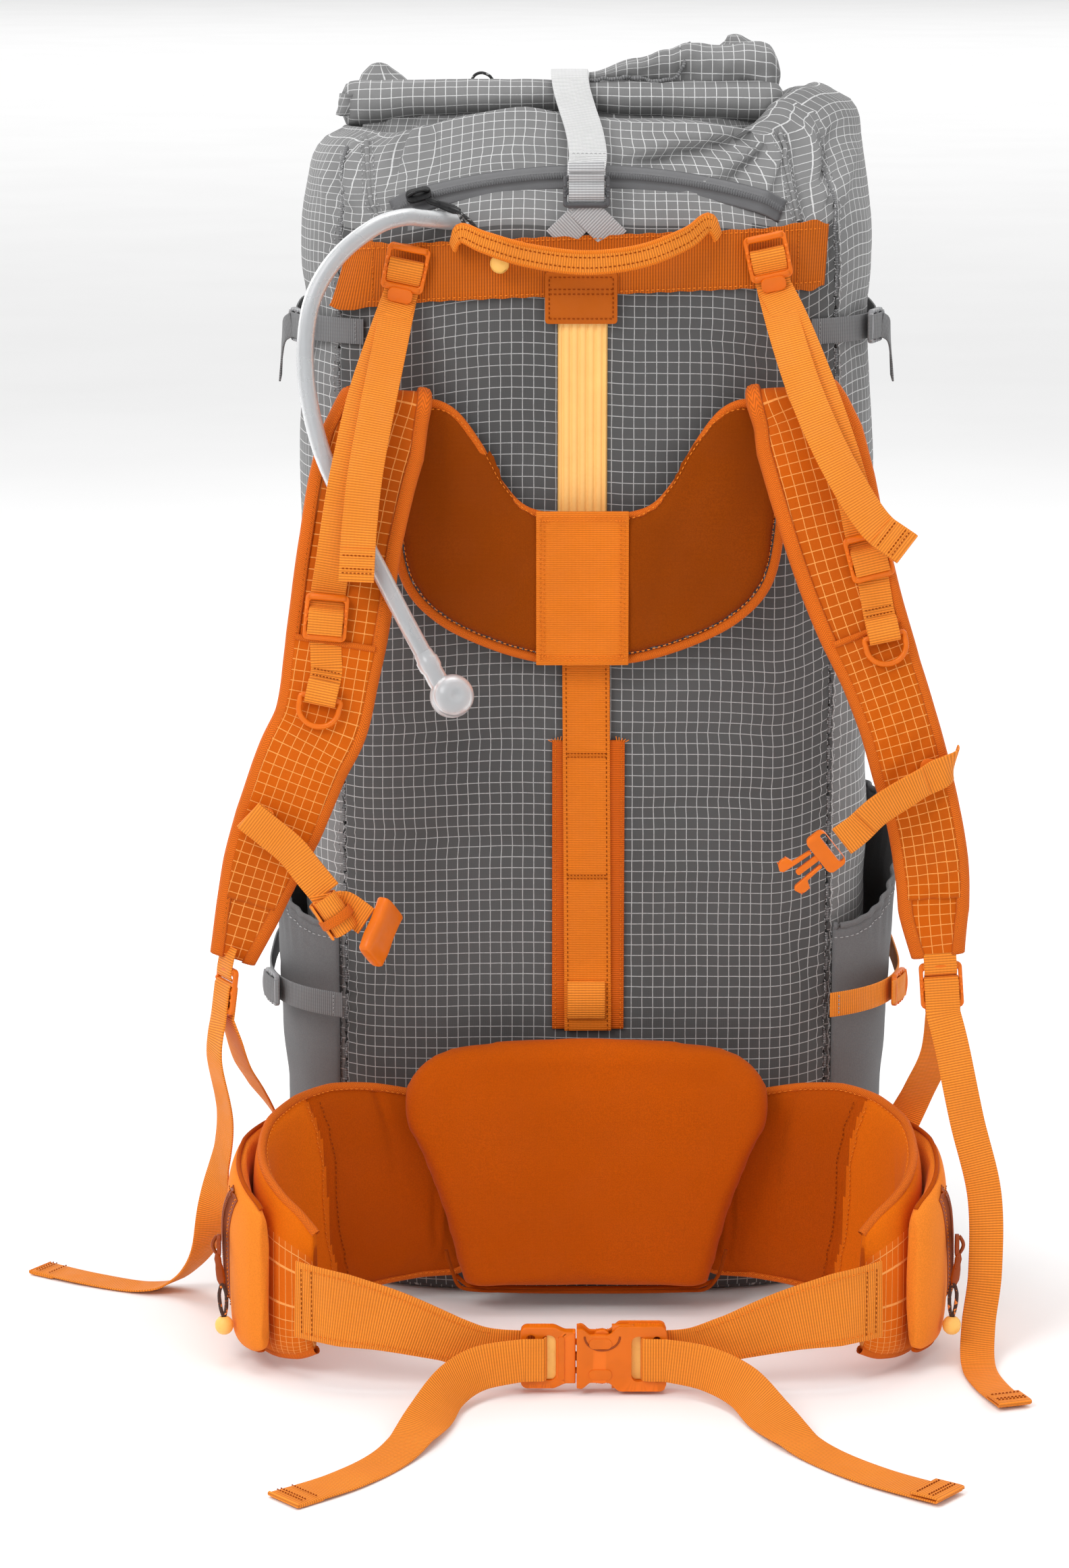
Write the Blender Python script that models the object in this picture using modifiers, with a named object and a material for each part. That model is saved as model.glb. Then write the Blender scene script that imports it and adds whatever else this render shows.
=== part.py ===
"""A roll-top hiking backpack with its harness, hip belt and drinking hose.

Metres, +Z up. The pack stands on its base at z = 0, the harness faces -Y and
the wearer's left strap as seen from the harness side lies at -X.
The origin is the centre of the underside of the base.
"""
import math

import bmesh
import bpy
from mathutils import Matrix, Vector

# Driving dimensions
BAG_HALF_WIDTH = 0.172
BAG_HALF_DEPTH = 0.115
BAG_SQUARENESS = 3.4
SEAM_ANGLE = math.radians(40.6)
SEAM_GAP = math.radians(0.3)
WALL_TOP = 0.645
SHOULDER_TOP = 0.700
CLOTH = 0.0025
GAP = 0.0005
PLATE = 0.004

WEBBING = 0.0012
LIFTER_WIDTH = 0.020
BELT_WIDTH = 0.0254
BAR = 0.003
BAR_GAP = 0.0004
WEAVE = BAR / 2 + BAR_GAP + WEBBING / 2
STRAP_THICKNESS = 0.011
WING_THICKNESS = 0.014

PAD_BACK_Y = -0.1205
PAD_THICKNESS = 0.010
LUMBAR_BACK_Y = -0.1370
LUMBAR_THICKNESS = 0.021
BELT_Y = -0.285
BUCKLE_Z = 0.0215
BUCKLE_HEIGHT = 0.039
BUCKLE_THICKNESS = 0.012
HOSE_DIAMETER = 0.0095
RING_BAR = 0.0080

SIDES = (("left", -1), ("right", 1))

COLOURS = {
    "ripstop": ((0.10, 0.10, 0.10, 1), 0.75, 0.0),
    "stretch": ((0.20, 0.20, 0.20, 1), 0.85, 0.0),
    "webbing_orange": ((0.90, 0.30, 0.05, 1), 0.70, 0.0),
    "webbing_grey": ((0.50, 0.50, 0.50, 1), 0.70, 0.0),
    "foam_brown": ((0.28, 0.05, 0.01, 1), 0.90, 0.0),
    "foam_rust": ((0.50, 0.10, 0.01, 1), 0.90, 0.0),
    "plastic_orange": ((0.75, 0.20, 0.02, 1), 0.35, 0.0),
    "plastic_grey": ((0.11, 0.11, 0.11, 1), 0.40, 0.0),
    "plastic_black": ((0.02, 0.02, 0.02, 1), 0.35, 0.0),
    "frame_plastic": ((0.60, 0.60, 0.58, 1), 0.50, 0.0),
    "aluminium": ((0.75, 0.75, 0.76, 1), 0.35, 1.0),
    "clear_tube": ((0.80, 0.82, 0.84, 1), 0.25, 0.0),
}

for item in list(bpy.data.objects):
    bpy.data.objects.remove(item, do_unlink=True)

PARTS = bpy.data.collections.new("hiking_backpack")
CUTTERS = bpy.data.collections.new("cutters")
for group in (PARTS, CUTTERS):
    bpy.context.scene.collection.children.link(group)


# ---------------------------------------------------------------- helpers
def finish(name):
    """The shared material of one colour slot."""
    found = bpy.data.materials.get(name)
    if found:
        return found
    colour, roughness, metallic = COLOURS[name]
    made = bpy.data.materials.new(name)
    made.use_nodes = True
    shader = made.node_tree.nodes["Principled BSDF"]
    shader.inputs["Base Color"].default_value = colour
    shader.inputs["Roughness"].default_value = roughness
    shader.inputs["Metallic"].default_value = metallic
    return made


def place(name, mesh, slot, matrix=None):
    """A named object for one piece."""
    made = bpy.data.objects.new(name, mesh)
    PARTS.objects.link(made)
    mesh.materials.clear()
    mesh.materials.append(finish(slot))
    if matrix is not None:
        made.matrix_world = matrix
    return made


def hang(piece, parent):
    """Parents a piece to the empty on its joint's axis, without moving it."""
    piece.parent = parent
    piece.matrix_parent_inverse = parent.matrix_world.inverted()


def pivot(name, location):
    """An empty at a joint."""
    made = bpy.data.objects.new(name, None)
    made.empty_display_size = 0.02
    PARTS.objects.link(made)
    made.location = location
    bpy.context.view_layer.update()
    return made


def mesh_from(build, name):
    """A mesh made by a function that fills a bmesh."""
    work = bmesh.new()
    build(work)
    bmesh.ops.recalc_face_normals(work, faces=work.faces)
    mesh = bpy.data.meshes.new(name)
    work.to_mesh(mesh)
    work.free()
    return mesh


def add_bevel(piece, width, segments=1, angle=40):
    """Rounds the sharp edges."""
    bevel = piece.modifiers.new("round", "BEVEL")
    bevel.width = width
    bevel.segments = segments
    bevel.limit_method = "ANGLE"
    bevel.angle_limit = math.radians(angle)
    return bevel


def solidify(piece, thickness, offset=0.0):
    """Gives an open sheet its thickness."""
    shell = piece.modifiers.new("thickness", "SOLIDIFY")
    shell.thickness = thickness
    shell.offset = offset
    shell.use_even_offset = True
    return shell


def cut(piece, size, location, matrix=None):
    """Cuts a box out of a piece. The location is in the matrix's own space."""
    mesh = bpy.data.meshes.new("cutter")
    work = bmesh.new()
    bmesh.ops.create_cube(work, size=1, matrix=Matrix.Diagonal((*size, 1)))
    work.to_mesh(mesh)
    work.free()
    cutter = bpy.data.objects.new(piece.name + "_cutter", mesh)
    CUTTERS.objects.link(cutter)
    cutter.matrix_world = (matrix or Matrix()) @ Matrix.Translation(location)
    cutter.display_type = "WIRE"
    cutter.hide_render = True
    boolean = piece.modifiers.new("cut", "BOOLEAN")
    boolean.operation = "DIFFERENCE"
    boolean.object = cutter
    return cutter


def join(piece, others):
    """Makes several overlapping solids one body and removes the extras."""
    for other in others:
        boolean = piece.modifiers.new("join", "BOOLEAN")
        boolean.operation = "UNION"
        boolean.object = other
    bpy.context.view_layer.update()
    graph = bpy.context.evaluated_depsgraph_get()
    mesh = bpy.data.meshes.new_from_object(piece.evaluated_get(graph))
    piece.modifiers.clear()
    piece.data = mesh
    for other in others:
        bpy.data.objects.remove(other, do_unlink=True)
    return piece


def block(name, slot, size, location, matrix=None, bevel=0.0, segments=1):
    """A box with rounded edges."""
    def build(work):
        bmesh.ops.create_cube(work, size=1, matrix=Matrix.Diagonal((*size, 1)))
    piece = place(name, mesh_from(build, name), slot)
    piece.matrix_world = (matrix or Matrix()) @ Matrix.Translation(location)
    if bevel:
        add_bevel(piece, bevel, segments)
    return piece


def smooth_path(points, count):
    """Evenly spaced points on a smooth curve through the given ones."""
    points = [Vector(p) for p in points]
    fine = []
    for k in range(len(points) - 1):
        before = points[max(k - 1, 0)]
        start, end = points[k], points[k + 1]
        after = points[min(k + 2, len(points) - 1)]
        for step in range(16):
            t = step / 16
            a = 2 * start
            b = end - before
            c = 2 * before - 5 * start + 4 * end - after
            d = 3 * start - before - 3 * end + after
            fine.append((a + b * t + c * t * t + d * t ** 3) / 2)
    fine.append(points[-1])
    lengths = [0.0]
    for p, q in zip(fine, fine[1:]):
        lengths.append(lengths[-1] + (q - p).length)
    path, k = [], 0
    for step in range(count):
        want = lengths[-1] * step / (count - 1)
        while k < len(lengths) - 2 and lengths[k + 1] < want:
            k += 1
        share = (want - lengths[k]) / max(lengths[k + 1] - lengths[k], 1e-9)
        path.append(fine[k].lerp(fine[k + 1], min(share, 1.0)))
    return path


def spread(values, share):
    """A value read between evenly spread ones. A single number stays itself."""
    if not isinstance(values, (list, tuple)):
        return values
    at = share * (len(values) - 1)
    k = min(int(at), len(values) - 2)
    return values[k] + (values[k + 1] - values[k]) * (at - k)


def fade(vectors, count):
    """Turns a few directions into count of them, evenly changing."""
    vectors = [Vector(v) for v in vectors]
    if len(vectors) == 1:
        return vectors * count
    made = []
    for k in range(count):
        at = (len(vectors) - 1) * k / (count - 1)
        low = min(int(at), len(vectors) - 2)
        made.append(vectors[low].lerp(vectors[low + 1], at - low))
    return made


def strip(name, slot, path, width, thickness, across=(1, 0, 0), columns=1, offset=0.0):
    """A flat band along a path. Its width lies along the across direction."""
    if isinstance(across[0], (int, float)):
        across = [across]
    across = fade(across, len(path)) if len(across) != len(path) else across

    def build(work):
        rows = []
        for k, point in enumerate(path):
            share = k / (len(path) - 1)
            ahead = path[min(k + 1, len(path) - 1)] - path[max(k - 1, 0)]
            side = across[k]
            side = (side - ahead * side.dot(ahead) / ahead.length_squared).normalized()
            half = spread(width, share) / 2
            rows.append([
                work.verts.new(point + side * half * (2 * c / columns - 1))
                for c in range(columns + 1)
            ])
        for a, b in zip(rows, rows[1:]):
            for c in range(columns):
                work.faces.new((a[c], a[c + 1], b[c + 1], b[c]))
    piece = place(name, mesh_from(build, name), slot)
    solidify(piece, thickness, offset)
    return piece


def flat_pad(name, slot, outline, back_y, thickness, bevel=0.0, segments=1):
    """A pad with an outline in X and Z, its back face at back_y, towards -Y."""
    def build(work):
        corners = [work.verts.new((x, back_y, z)) for x, z in outline]
        face = work.faces.new(corners)
        made = bmesh.ops.extrude_face_region(work, geom=[face])
        moved = [v for v in made["geom"] if isinstance(v, bmesh.types.BMVert)]
        bmesh.ops.translate(work, verts=moved, vec=(0, -thickness, 0))
    piece = place(name, mesh_from(build, name), slot)
    if bevel:
        add_bevel(piece, bevel, segments)
    return piece


def mirrored(half):
    """A full outline from its half at +X, listed from the bottom to the top."""
    return half + [(-x, z) for x, z in reversed(half) if x > 0]


def frame_at(location, turn=0.0, lean=0.0, swing=0.0):
    """Hardware's own space: X across the webbing, Z along it, -Y outward.

    turn is about Y, lean about X and swing about Z.
    """
    return (
        Matrix.Translation(location)
        @ Matrix.Rotation(swing, 4, "Z")
        @ Matrix.Rotation(lean, 4, "X")
        @ Matrix.Rotation(turn, 4, "Y")
    )


LOCK_BAR = 0.004
LOCK_WINDOW = 0.0075
LOCK_HEIGHT = 3 * LOCK_BAR + 2 * LOCK_WINDOW


def ladder_lock(name, slot, matrix, webbing):
    """A frame with three bars that webbing is laced round."""
    piece = block(name, slot, (webbing + 0.008, BAR, LOCK_HEIGHT), (0, 0, 0), matrix)
    centre = (LOCK_BAR + LOCK_WINDOW) / 2
    for side in (-1, 1):
        cut(piece, (webbing + 0.0016, 0.02, LOCK_WINDOW), (0, 0, side * centre), matrix)
    add_bevel(piece, 0.0006)
    return piece


def laced(matrix, shape):
    """World points of webbing in a lock, from (y, z) pairs in its own space."""
    return [matrix @ Vector((0, y, z)) for y, z in shape]


# Webbing that turns round the middle bar of a lock and leaves beside itself
TURNED = [
    (WEAVE, -LOCK_HEIGHT / 2 - 0.003), (WEAVE, -LOCK_HEIGHT / 2), (WEAVE, 0.0),
    (WEAVE, 0.0022), (WEAVE * 0.7, 0.0040), (0.0, 0.0048), (-WEAVE * 0.7, 0.0040),
    (-WEAVE, 0.0022), (-WEAVE, 0.0), (-WEAVE, -LOCK_HEIGHT / 2), (-WEAVE, -LOCK_HEIGHT / 2 - 0.003),
]


# -------------------------------------------------------------------- bag
def ease(low, high, value):
    """0 below low, 1 above high, and a smooth rise between them."""
    t = min(max((value - low) / (high - low), 0.0), 1.0)
    return t * t * (3 - 2 * t)


def bag_point(angle, z, proud=0.0):
    """A point on the filled bag. The harness side is at -90 degrees."""
    foot = 0.945 + 0.055 * ease(0.0, 0.05, z)
    width = (BAG_HALF_WIDTH * foot - 0.008 * ease(0.62, 0.71, z)) + proud
    front = BAG_HALF_DEPTH * (foot - 0.62 * ease(0.640, 0.725, z)) + proud
    rear = BAG_HALF_DEPTH * (foot - 0.45 * ease(0.600, 0.725, z)) + proud
    c, s = math.cos(angle), math.sin(angle)
    power = 2 / BAG_SQUARENESS
    depth = rear if s > 0 else front
    return Vector((
        width * math.copysign(abs(c) ** power, c),
        depth * math.copysign(abs(s) ** power, s),
        z,
    ))


def bag_front_y(x, z):
    """How far forward the harness side is at this x and z."""
    width = abs(bag_point(0.0, z).x)
    share = min(abs(x) / width, 0.999)
    depth = abs(bag_point(-math.pi / 2, z).y)
    return -depth * (1 - share ** BAG_SQUARENESS) ** (1 / BAG_SQUARENESS)


def bag_panel(name, start, end, low, high, across, up):
    """One sewn panel of the bag between two angles and two heights."""
    def build(work):
        rows = []
        for r in range(up + 1):
            z = low + (high - low) * r / up
            rows.append([
                work.verts.new(bag_point(start + (end - start) * c / across, z))
                for c in range(across + 1)
            ])
        for a, b in zip(rows, rows[1:]):
            for c in range(across):
                work.faces.new((a[c], a[c + 1], b[c + 1], b[c]))
    piece = place(name, mesh_from(build, name), "ripstop")
    piece.data.update()
    middle = piece.data.polygons[len(piece.data.polygons) // 2]
    outward = middle.center.copy()
    outward.z = 0
    if middle.normal.dot(outward) < 0:
        piece.data.flip_normals()
    solidify(piece, CLOTH, -1.0)
    return piece


# Height, half width, depth forward and depth rearward of each ring of the collar
COLLAR_RINGS = (
    (0.690, 0.158, 0.0640, 0.0680), (0.699, 0.150, 0.047, 0.053), (0.7060, 0.128, 0.022, 0.032),
)


def make_bag():
    """The sewn panels, the base and the soft collar under the roll."""
    quarter = math.pi / 2
    low = PLATE + GAP
    seams = {
        "back_panel": (-math.pi + SEAM_ANGLE, -SEAM_ANGLE, WALL_TOP, 10, 10),
        "side_panel_right": (-SEAM_ANGLE, SEAM_ANGLE, SHOULDER_TOP, 8, 11),
        "front_panel": (SEAM_ANGLE, math.pi - SEAM_ANGLE, 0.69, 10, 11),
        "side_panel_left": (math.pi - SEAM_ANGLE, math.pi + SEAM_ANGLE, SHOULDER_TOP, 8, 11),
    }
    for name, (start, end, top, across, up) in seams.items():
        bag_panel(name, start + SEAM_GAP, end - SEAM_GAP, low, top, across, up)
    bag_panel(
        "top_panel", -math.pi + SEAM_ANGLE + SEAM_GAP, -SEAM_ANGLE - SEAM_GAP,
        WALL_TOP + 0.0028, 0.690, 10, 4,
    )

    def base(work):
        ring = [work.verts.new(bag_point(k * quarter / 8, 0.0)) for k in range(32)]
        for vert in ring:
            vert.co.z = 0.0
        face = work.faces.new(ring)
        made = bmesh.ops.extrude_face_region(work, geom=[face])
        moved = [v for v in made["geom"] if isinstance(v, bmesh.types.BMVert)]
        bmesh.ops.translate(work, verts=moved, vec=(0, 0, PLATE))
    place("base_panel", mesh_from(base, "base_panel"), "ripstop")

    def collar(work):
        rows = []
        for z, width, front, rear in COLLAR_RINGS:
            rows.append([
                work.verts.new((
                    width * math.copysign(abs(math.cos(a)) ** 0.6, math.cos(a)),
                    (rear if math.sin(a) > 0 else front)
                    * math.copysign(abs(math.sin(a)) ** 0.6, math.sin(a)),
                    z,
                ))
                for a in (k * quarter / 6 for k in range(24))
            ])
        for a, b in zip(rows, rows[1:]):
            for c in range(24):
                d = (c + 1) % 24
                work.faces.new((a[c], a[d], b[d], b[c]))
    piece = place("collar", mesh_from(collar, "collar"), "ripstop")
    solidify(piece, 0.002, -1.0)


def make_roll_top():
    """The rolled closure with its two folded ears, one closed roll along X."""
    # x, y, z, half depth and half height
    stations = [
        (-0.146, -0.004, 0.7150, 0.006, 0.0080), (-0.136, -0.003, 0.7180, 0.016, 0.0120),
        (-0.115, -0.002, 0.7190, 0.024, 0.0125), (-0.085, -0.002, 0.7190, 0.026, 0.0125),
        (-0.040, -0.002, 0.7190, 0.028, 0.0125), (-0.004, -0.002, 0.7195, 0.028, 0.0125),
        (0.030, -0.001, 0.7240, 0.028, 0.0175), (0.060, 0.000, 0.7280, 0.027, 0.0220),
        (0.090, 0.001, 0.7290, 0.026, 0.0220), (0.106, 0.001, 0.7270, 0.018, 0.0180),
        (0.116, 0.000, 0.7240, 0.006, 0.0090),
    ]
    count = 16

    def build(work):
        rings = []
        for x, y, z, deep, tall in stations:
            rings.append([
                work.verts.new((
                    x,
                    y - 0.006 + deep * math.cos(2 * math.pi * k / count),
                    z + tall * math.sin(2 * math.pi * k / count),
                ))
                for k in range(count)
            ])
        for a, b in zip(rings, rings[1:]):
            for k in range(count):
                n = (k + 1) % count
                work.faces.new((a[k], a[n], b[n], b[k]))
        work.faces.new(rings[0])
        work.faces.new(rings[-1])
    piece = place("roll_top", mesh_from(build, "roll_top"), "ripstop")
    piece.data.shade_smooth()


def make_frame():
    """Inside the bag: the frame sheet, its stay and the water reservoir."""
    block("frame_sheet", "frame_plastic", (0.210, 0.002, 0.545), (0, -0.1000, 0.3175), bevel=0.0006)
    block("frame_stay", "aluminium", (0.014, 0.003, 0.54), (0, -0.0970, 0.31), bevel=0.0006)
    pouch = block("hydration_reservoir", "clear_tube", (0.15, 0.026, 0.32), (0, -0.080, 0.42))
    add_bevel(pouch, 0.010, 2)


# ------------------------------------------------------------ back fittings
HANDLE_FOLD = (0, -0.1225, 0.660)


def make_back_fittings():
    """Webbing and strips sewn to the back panel, and the grab handle."""
    xs = [-0.1425, -0.115, -0.08, -0.04, 0.0, 0.04, 0.08, 0.112, 0.137]
    zs = [0.6195, 0.621, 0.6235, 0.6255, 0.627, 0.6285, 0.630, 0.631, 0.6315]
    band = [Vector((x, bag_front_y(x, 0.60) - 0.0025, z)) for x, z in zip(xs, zs)]
    yoke = strip("yoke_band", "webbing_orange", smooth_path(band, 19), 0.036, 0.002, (0, 0, 1))
    tab = block("stay_tab", "webbing_orange", (0.042, 0.0018, 0.026), (-0.004, -0.1190, 0.607))
    join(yoke, [tab])
    block(
        "stay_strip", "webbing_orange", (0.029, 0.0020, 0.205), (-0.003, -0.1167, 0.5055),
        bevel=0.0004,
    )
    block(
        "torso_backing_strip", "webbing_orange", (0.043, 0.0018, 0.176), (0.001, -0.1163, 0.256),
        bevel=0.0004,
    )
    torso = [(-0.001, -0.1193, 0.440), (0.000, -0.1192, 0.30), (0.001, -0.1192, 0.168)]
    strip("torso_webbing", "webbing_orange", smooth_path(torso, 9), 0.028, WEBBING)

    handle = pivot("haul_handle_pivot", HANDLE_FOLD)
    route = [
        (-0.0780, -0.1225, 0.6450), (-0.0740, -0.1270, 0.6520), (-0.0600, -0.1370, 0.6470),
        (-0.0350, -0.1430, 0.6380), (-0.0020, -0.1450, 0.6340), (0.0300, -0.1430, 0.6390),
        (0.0560, -0.1370, 0.6500), (0.0700, -0.1270, 0.6580), (0.0745, -0.1225, 0.6500),
    ]
    piece = strip(
        "haul_handle", "webbing_orange", smooth_path(route, 25), [0.010, 0.013, 0.013, 0.013, 0.010],
        0.003, [(0, 0.3, 1), (0, -0.25, 1), (0, -0.25, 1), (0, -0.25, 1), (0, 0.3, 1)],
    )
    hang(piece, handle)


def top_strap_frame():
    """Where the adjuster of the top strap sits."""
    return frame_at((-0.001, -0.1175, 0.6690), lean=math.radians(-14))


def make_top_strap():
    """The strap over the roll, its adjuster and the anchor under it."""
    matrix = top_strap_frame()
    ladder_lock("top_strap_adjuster", "plastic_grey", matrix, 0.022)
    over = [
        (0.001, -0.1030, 0.6930), (-0.002, -0.0800, 0.7030), (-0.006, -0.0520, 0.7140),
        (-0.009, -0.0360, 0.7260), (-0.010, -0.0220, 0.7345), (-0.010, 0.0000, 0.7365),
        (-0.009, 0.0240, 0.7310), (-0.007, 0.0520, 0.7130), (-0.004, 0.0880, 0.6820),
        (0.000, 0.1150, 0.6350), (0.000, 0.1190, 0.5800),
    ]
    hook = laced(matrix, [
        (-WEAVE, -0.012), (-WEAVE, 0.0), (-WEAVE, 0.0022), (0.0, 0.0048), (WEAVE, 0.0062),
        (WEAVE, 0.0145),
    ])
    path = hook + smooth_path([hook[-1] + Vector((0, 0.002, 0.004))] + over, 30)
    strip("top_strap", "webbing_grey", path, 0.022, WEBBING)


ZIP_RADIUS = 0.3165
ZIP_TILT = math.radians(35)
ZIP_CREST = Vector((0, -0.0905, 0.6745))
ZIP_HALF_ANGLE = math.asin(0.111 / ZIP_RADIUS)
ZIP_OUT = Vector((0, -math.cos(ZIP_TILT), math.sin(ZIP_TILT)))
ZIP_UP = Vector((0, math.sin(ZIP_TILT), math.cos(ZIP_TILT)))


def zip_point(angle, proud):
    """A point along the arc of the main zip, which lies in a leaning plane."""
    radial = Vector((math.sin(angle), 0, 0)) + ZIP_UP * math.cos(angle)
    return ZIP_CREST + (radial - ZIP_UP) * ZIP_RADIUS + ZIP_OUT * proud


def capsule(name, slot, start, end, radius):
    """A round bar with rounded ends."""
    start, end = Vector(start), Vector(end)

    def build(work):
        bmesh.ops.create_cone(
            work, cap_ends=True, segments=10, radius1=radius, radius2=radius,
            depth=(end - start).length,
        )
    turn = (end - start).to_track_quat("Z", "Y").to_matrix().to_4x4()
    piece = place(name, mesh_from(build, name), slot, Matrix.Translation((start + end) / 2) @ turn)
    add_bevel(piece, radius * 0.35, 1)
    return piece


def ball(name, slot, centre, radius):
    """A round bead."""
    def build(work):
        bmesh.ops.create_uvsphere(work, u_segments=12, v_segments=8, radius=radius)
    piece = place(name, mesh_from(build, name), slot, Matrix.Translation(centre))
    piece.data.shade_smooth()
    return piece


def zip_slider(name, body, pull, cord, bead):
    """A slider with its pull, cord loop and bead, all one body."""
    location, size, matrix = body
    piece = block(name, "plastic_black", size, location, matrix, bevel=0.0008)
    extras = [
        capsule(name + "_pull", "plastic_black", *pull, 0.0022),
        capsule(name + "_cord", "plastic_black", *cord, 0.0016),
        ball(name + "_bead", "plastic_orange", bead, 0.0055),
    ]
    return join(piece, extras)


def make_main_zip():
    """The slider that runs along the arched zip of the top panel."""
    at = zip_point(-ZIP_HALF_ANGLE * 0.88, 0.0060)
    turned = Matrix.Translation(at) @ Matrix.Rotation(-ZIP_TILT, 4, "X")
    piece = zip_slider(
        "main_zip_slider", ((0, 0, 0), (0.016, 0.0050, 0.009), turned),
        (at + Vector((0.004, -0.0015, -0.002)), at + Vector((0.024, -0.0150, -0.008))),
        (at + Vector((0.023, -0.0148, -0.008)), at + Vector((0.045, -0.0220, -0.034))),
        at + Vector((0.0470, -0.0232, -0.0375)),
    )
    hang(piece, pivot("main_zip_pivot", ZIP_CREST - ZIP_UP * ZIP_RADIUS))


# ---------------------------------------------------------------- pockets
def make_side_pocket(name, side):
    """A stretch pocket on the side panel, open along its slanting top."""
    bottom = 0.035
    columns, rows = 10, 8
    edge = SEAM_ANGLE - math.radians(1.5)

    def build(work):
        grid = []
        for r in range(rows + 1):
            up = r / rows
            line = []
            for c in range(columns + 1):
                angle = -edge + 2 * edge * c / columns
                across = abs(math.cos(math.pi * (c / columns - 0.5)))
                slant = 0.225 + 0.055 * ease(0.0, 0.8, c / columns)
                z = bottom + (slant - bottom) * up
                proud = 0.0006 + 0.0175 * across ** 0.7 * (0.10 + 0.90 * up ** 0.6)
                if r == 0:
                    proud = 0.0006
                point = bag_point(angle, z, proud)
                line.append(work.verts.new((side * point.x, point.y, point.z)))
            grid.append(line)
        for a, b in zip(grid, grid[1:]):
            for c in range(columns):
                work.faces.new((a[c], a[c + 1], b[c + 1], b[c]))
    piece = place(name, mesh_from(build, name), "stretch")
    middle = piece.data.polygons[len(piece.data.polygons) // 2]
    if middle.normal.x * side < 0:
        piece.data.flip_normals()
    solidify(piece, 0.0014, 1.0)


# ------------------------------------------------------------------ harness
STRAP_ROUTES = {
    "left": {
        "centre": [
            (-0.128, 0.528), (-0.127, 0.546), (-0.128, 0.551), (-0.131, 0.537), (-0.136, 0.506),
            (-0.139, 0.470), (-0.142, 0.435), (-0.147, 0.404), (-0.153, 0.373), (-0.164, 0.350),
            (-0.176, 0.319), (-0.187, 0.291), (-0.197, 0.260), (-0.206, 0.2325),
        ],
        "width": [
            0.040, 0.043, 0.046, 0.052, 0.057, 0.058, 0.057, 0.054, 0.053, 0.052, 0.050, 0.044,
            0.036, 0.026,
        ],
    },
    "right": {
        "centre": [
            (0.126, 0.530), (0.124, 0.548), (0.123, 0.553), (0.124, 0.539), (0.133, 0.508),
            (0.143, 0.470), (0.154, 0.435), (0.166, 0.404), (0.177, 0.373), (0.185, 0.345),
            (0.193, 0.315), (0.198, 0.285), (0.200, 0.258), (0.203, 0.2345),
        ],
        "width": [
            0.040, 0.044, 0.047, 0.050, 0.052, 0.052, 0.050, 0.046, 0.044, 0.044, 0.042, 0.042,
            0.040, 0.030,
        ],
    },
}
STRAP_DEPTHS = [
    -0.1235, -0.1300, -0.1380, -0.1460, -0.1590, -0.1720, -0.1820, -0.1890, -0.1950,
    -0.1990, -0.2010, -0.2010, -0.1980, -0.1950,
]


def strap_front(z):
    """How far forward the outer face of a hanging strap is at a height."""
    heights = [0.551, 0.537, 0.506, 0.470, 0.435, 0.404, 0.373, 0.350, 0.319, 0.291, 0.260, 0.2325]
    depths = STRAP_DEPTHS[2:]
    for k in range(len(heights) - 1):
        if heights[k] >= z >= heights[k + 1]:
            share = (heights[k] - z) / (heights[k] - heights[k + 1])
            return depths[k] + (depths[k + 1] - depths[k]) * share - STRAP_THICKNESS / 2
    return depths[0 if z > heights[0] else -1] - STRAP_THICKNESS / 2


def make_harness_pads():
    """The yoke pad, its sleeve on the centre strip and both shoulder straps."""
    half = [
        (0.0, 0.395), (0.030, 0.397), (0.060, 0.406), (0.086, 0.420), (0.101, 0.440),
        (0.1035, 0.470), (0.1035, 0.510), (0.101, 0.538), (0.090, 0.546), (0.076, 0.539),
        (0.064, 0.522), (0.052, 0.500), (0.034, 0.483), (0.0, 0.479),
    ]
    flat_pad("yoke_pad", "foam_brown", mirrored(half), PAD_BACK_Y, PAD_THICKNESS, 0.003)
    sleeve_y = PAD_BACK_Y - PAD_THICKNESS - 0.0015
    block("torso_sleeve", "webbing_orange", (0.054, 0.002, 0.091), (-0.003, sleeve_y, 0.439), bevel=0.0005)
    for name, _ in SIDES:
        route = STRAP_ROUTES[name]
        points = [(x, y, z) for (x, z), y in zip(route["centre"], STRAP_DEPTHS)]
        piece = strip(
            "shoulder_strap_" + name, "ripstop", smooth_path(points, 26), route["width"],
            STRAP_THICKNESS, (1, 0, 0), 2,
        )
        piece.data.materials[0] = finish("webbing_orange")
        add_bevel(piece, 0.0025)
        join(piece, [ring_loop(name)])


def ring_loop(name):
    """The webbing sewn to a shoulder strap that holds its D ring."""
    matrix = ring_frame(name)
    sewn = []
    for height in (0.038, 0.024):
        point = matrix @ Vector((0, 0, height))
        point.y = strap_front(point.z) + 0.0004
        sewn.append(point)
    shape = [
        (0.0036, 0.003), (0.0029, -0.0022), (0.0, -0.0038), (-0.0029, -0.0022),
        (-0.0036, 0.003), (-0.0014, 0.010),
    ]
    loop = sewn + [matrix @ Vector((0, y, RING_BAR + z)) for y, z in shape]
    across = matrix.to_3x3() @ Vector((1, 0, 0))
    return strip("ring_loop_" + name, "webbing_orange", loop, 0.018, WEBBING, across)


def lifter_lock_frame(name):
    """Where a load lifter's ladder lock sits on the yoke band."""
    if name == "left":
        return frame_at((-0.1055, -0.1190, 0.6245), turn=math.radians(12))
    return frame_at((0.1040, -0.1190, 0.6310), turn=math.radians(-12))


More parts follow.
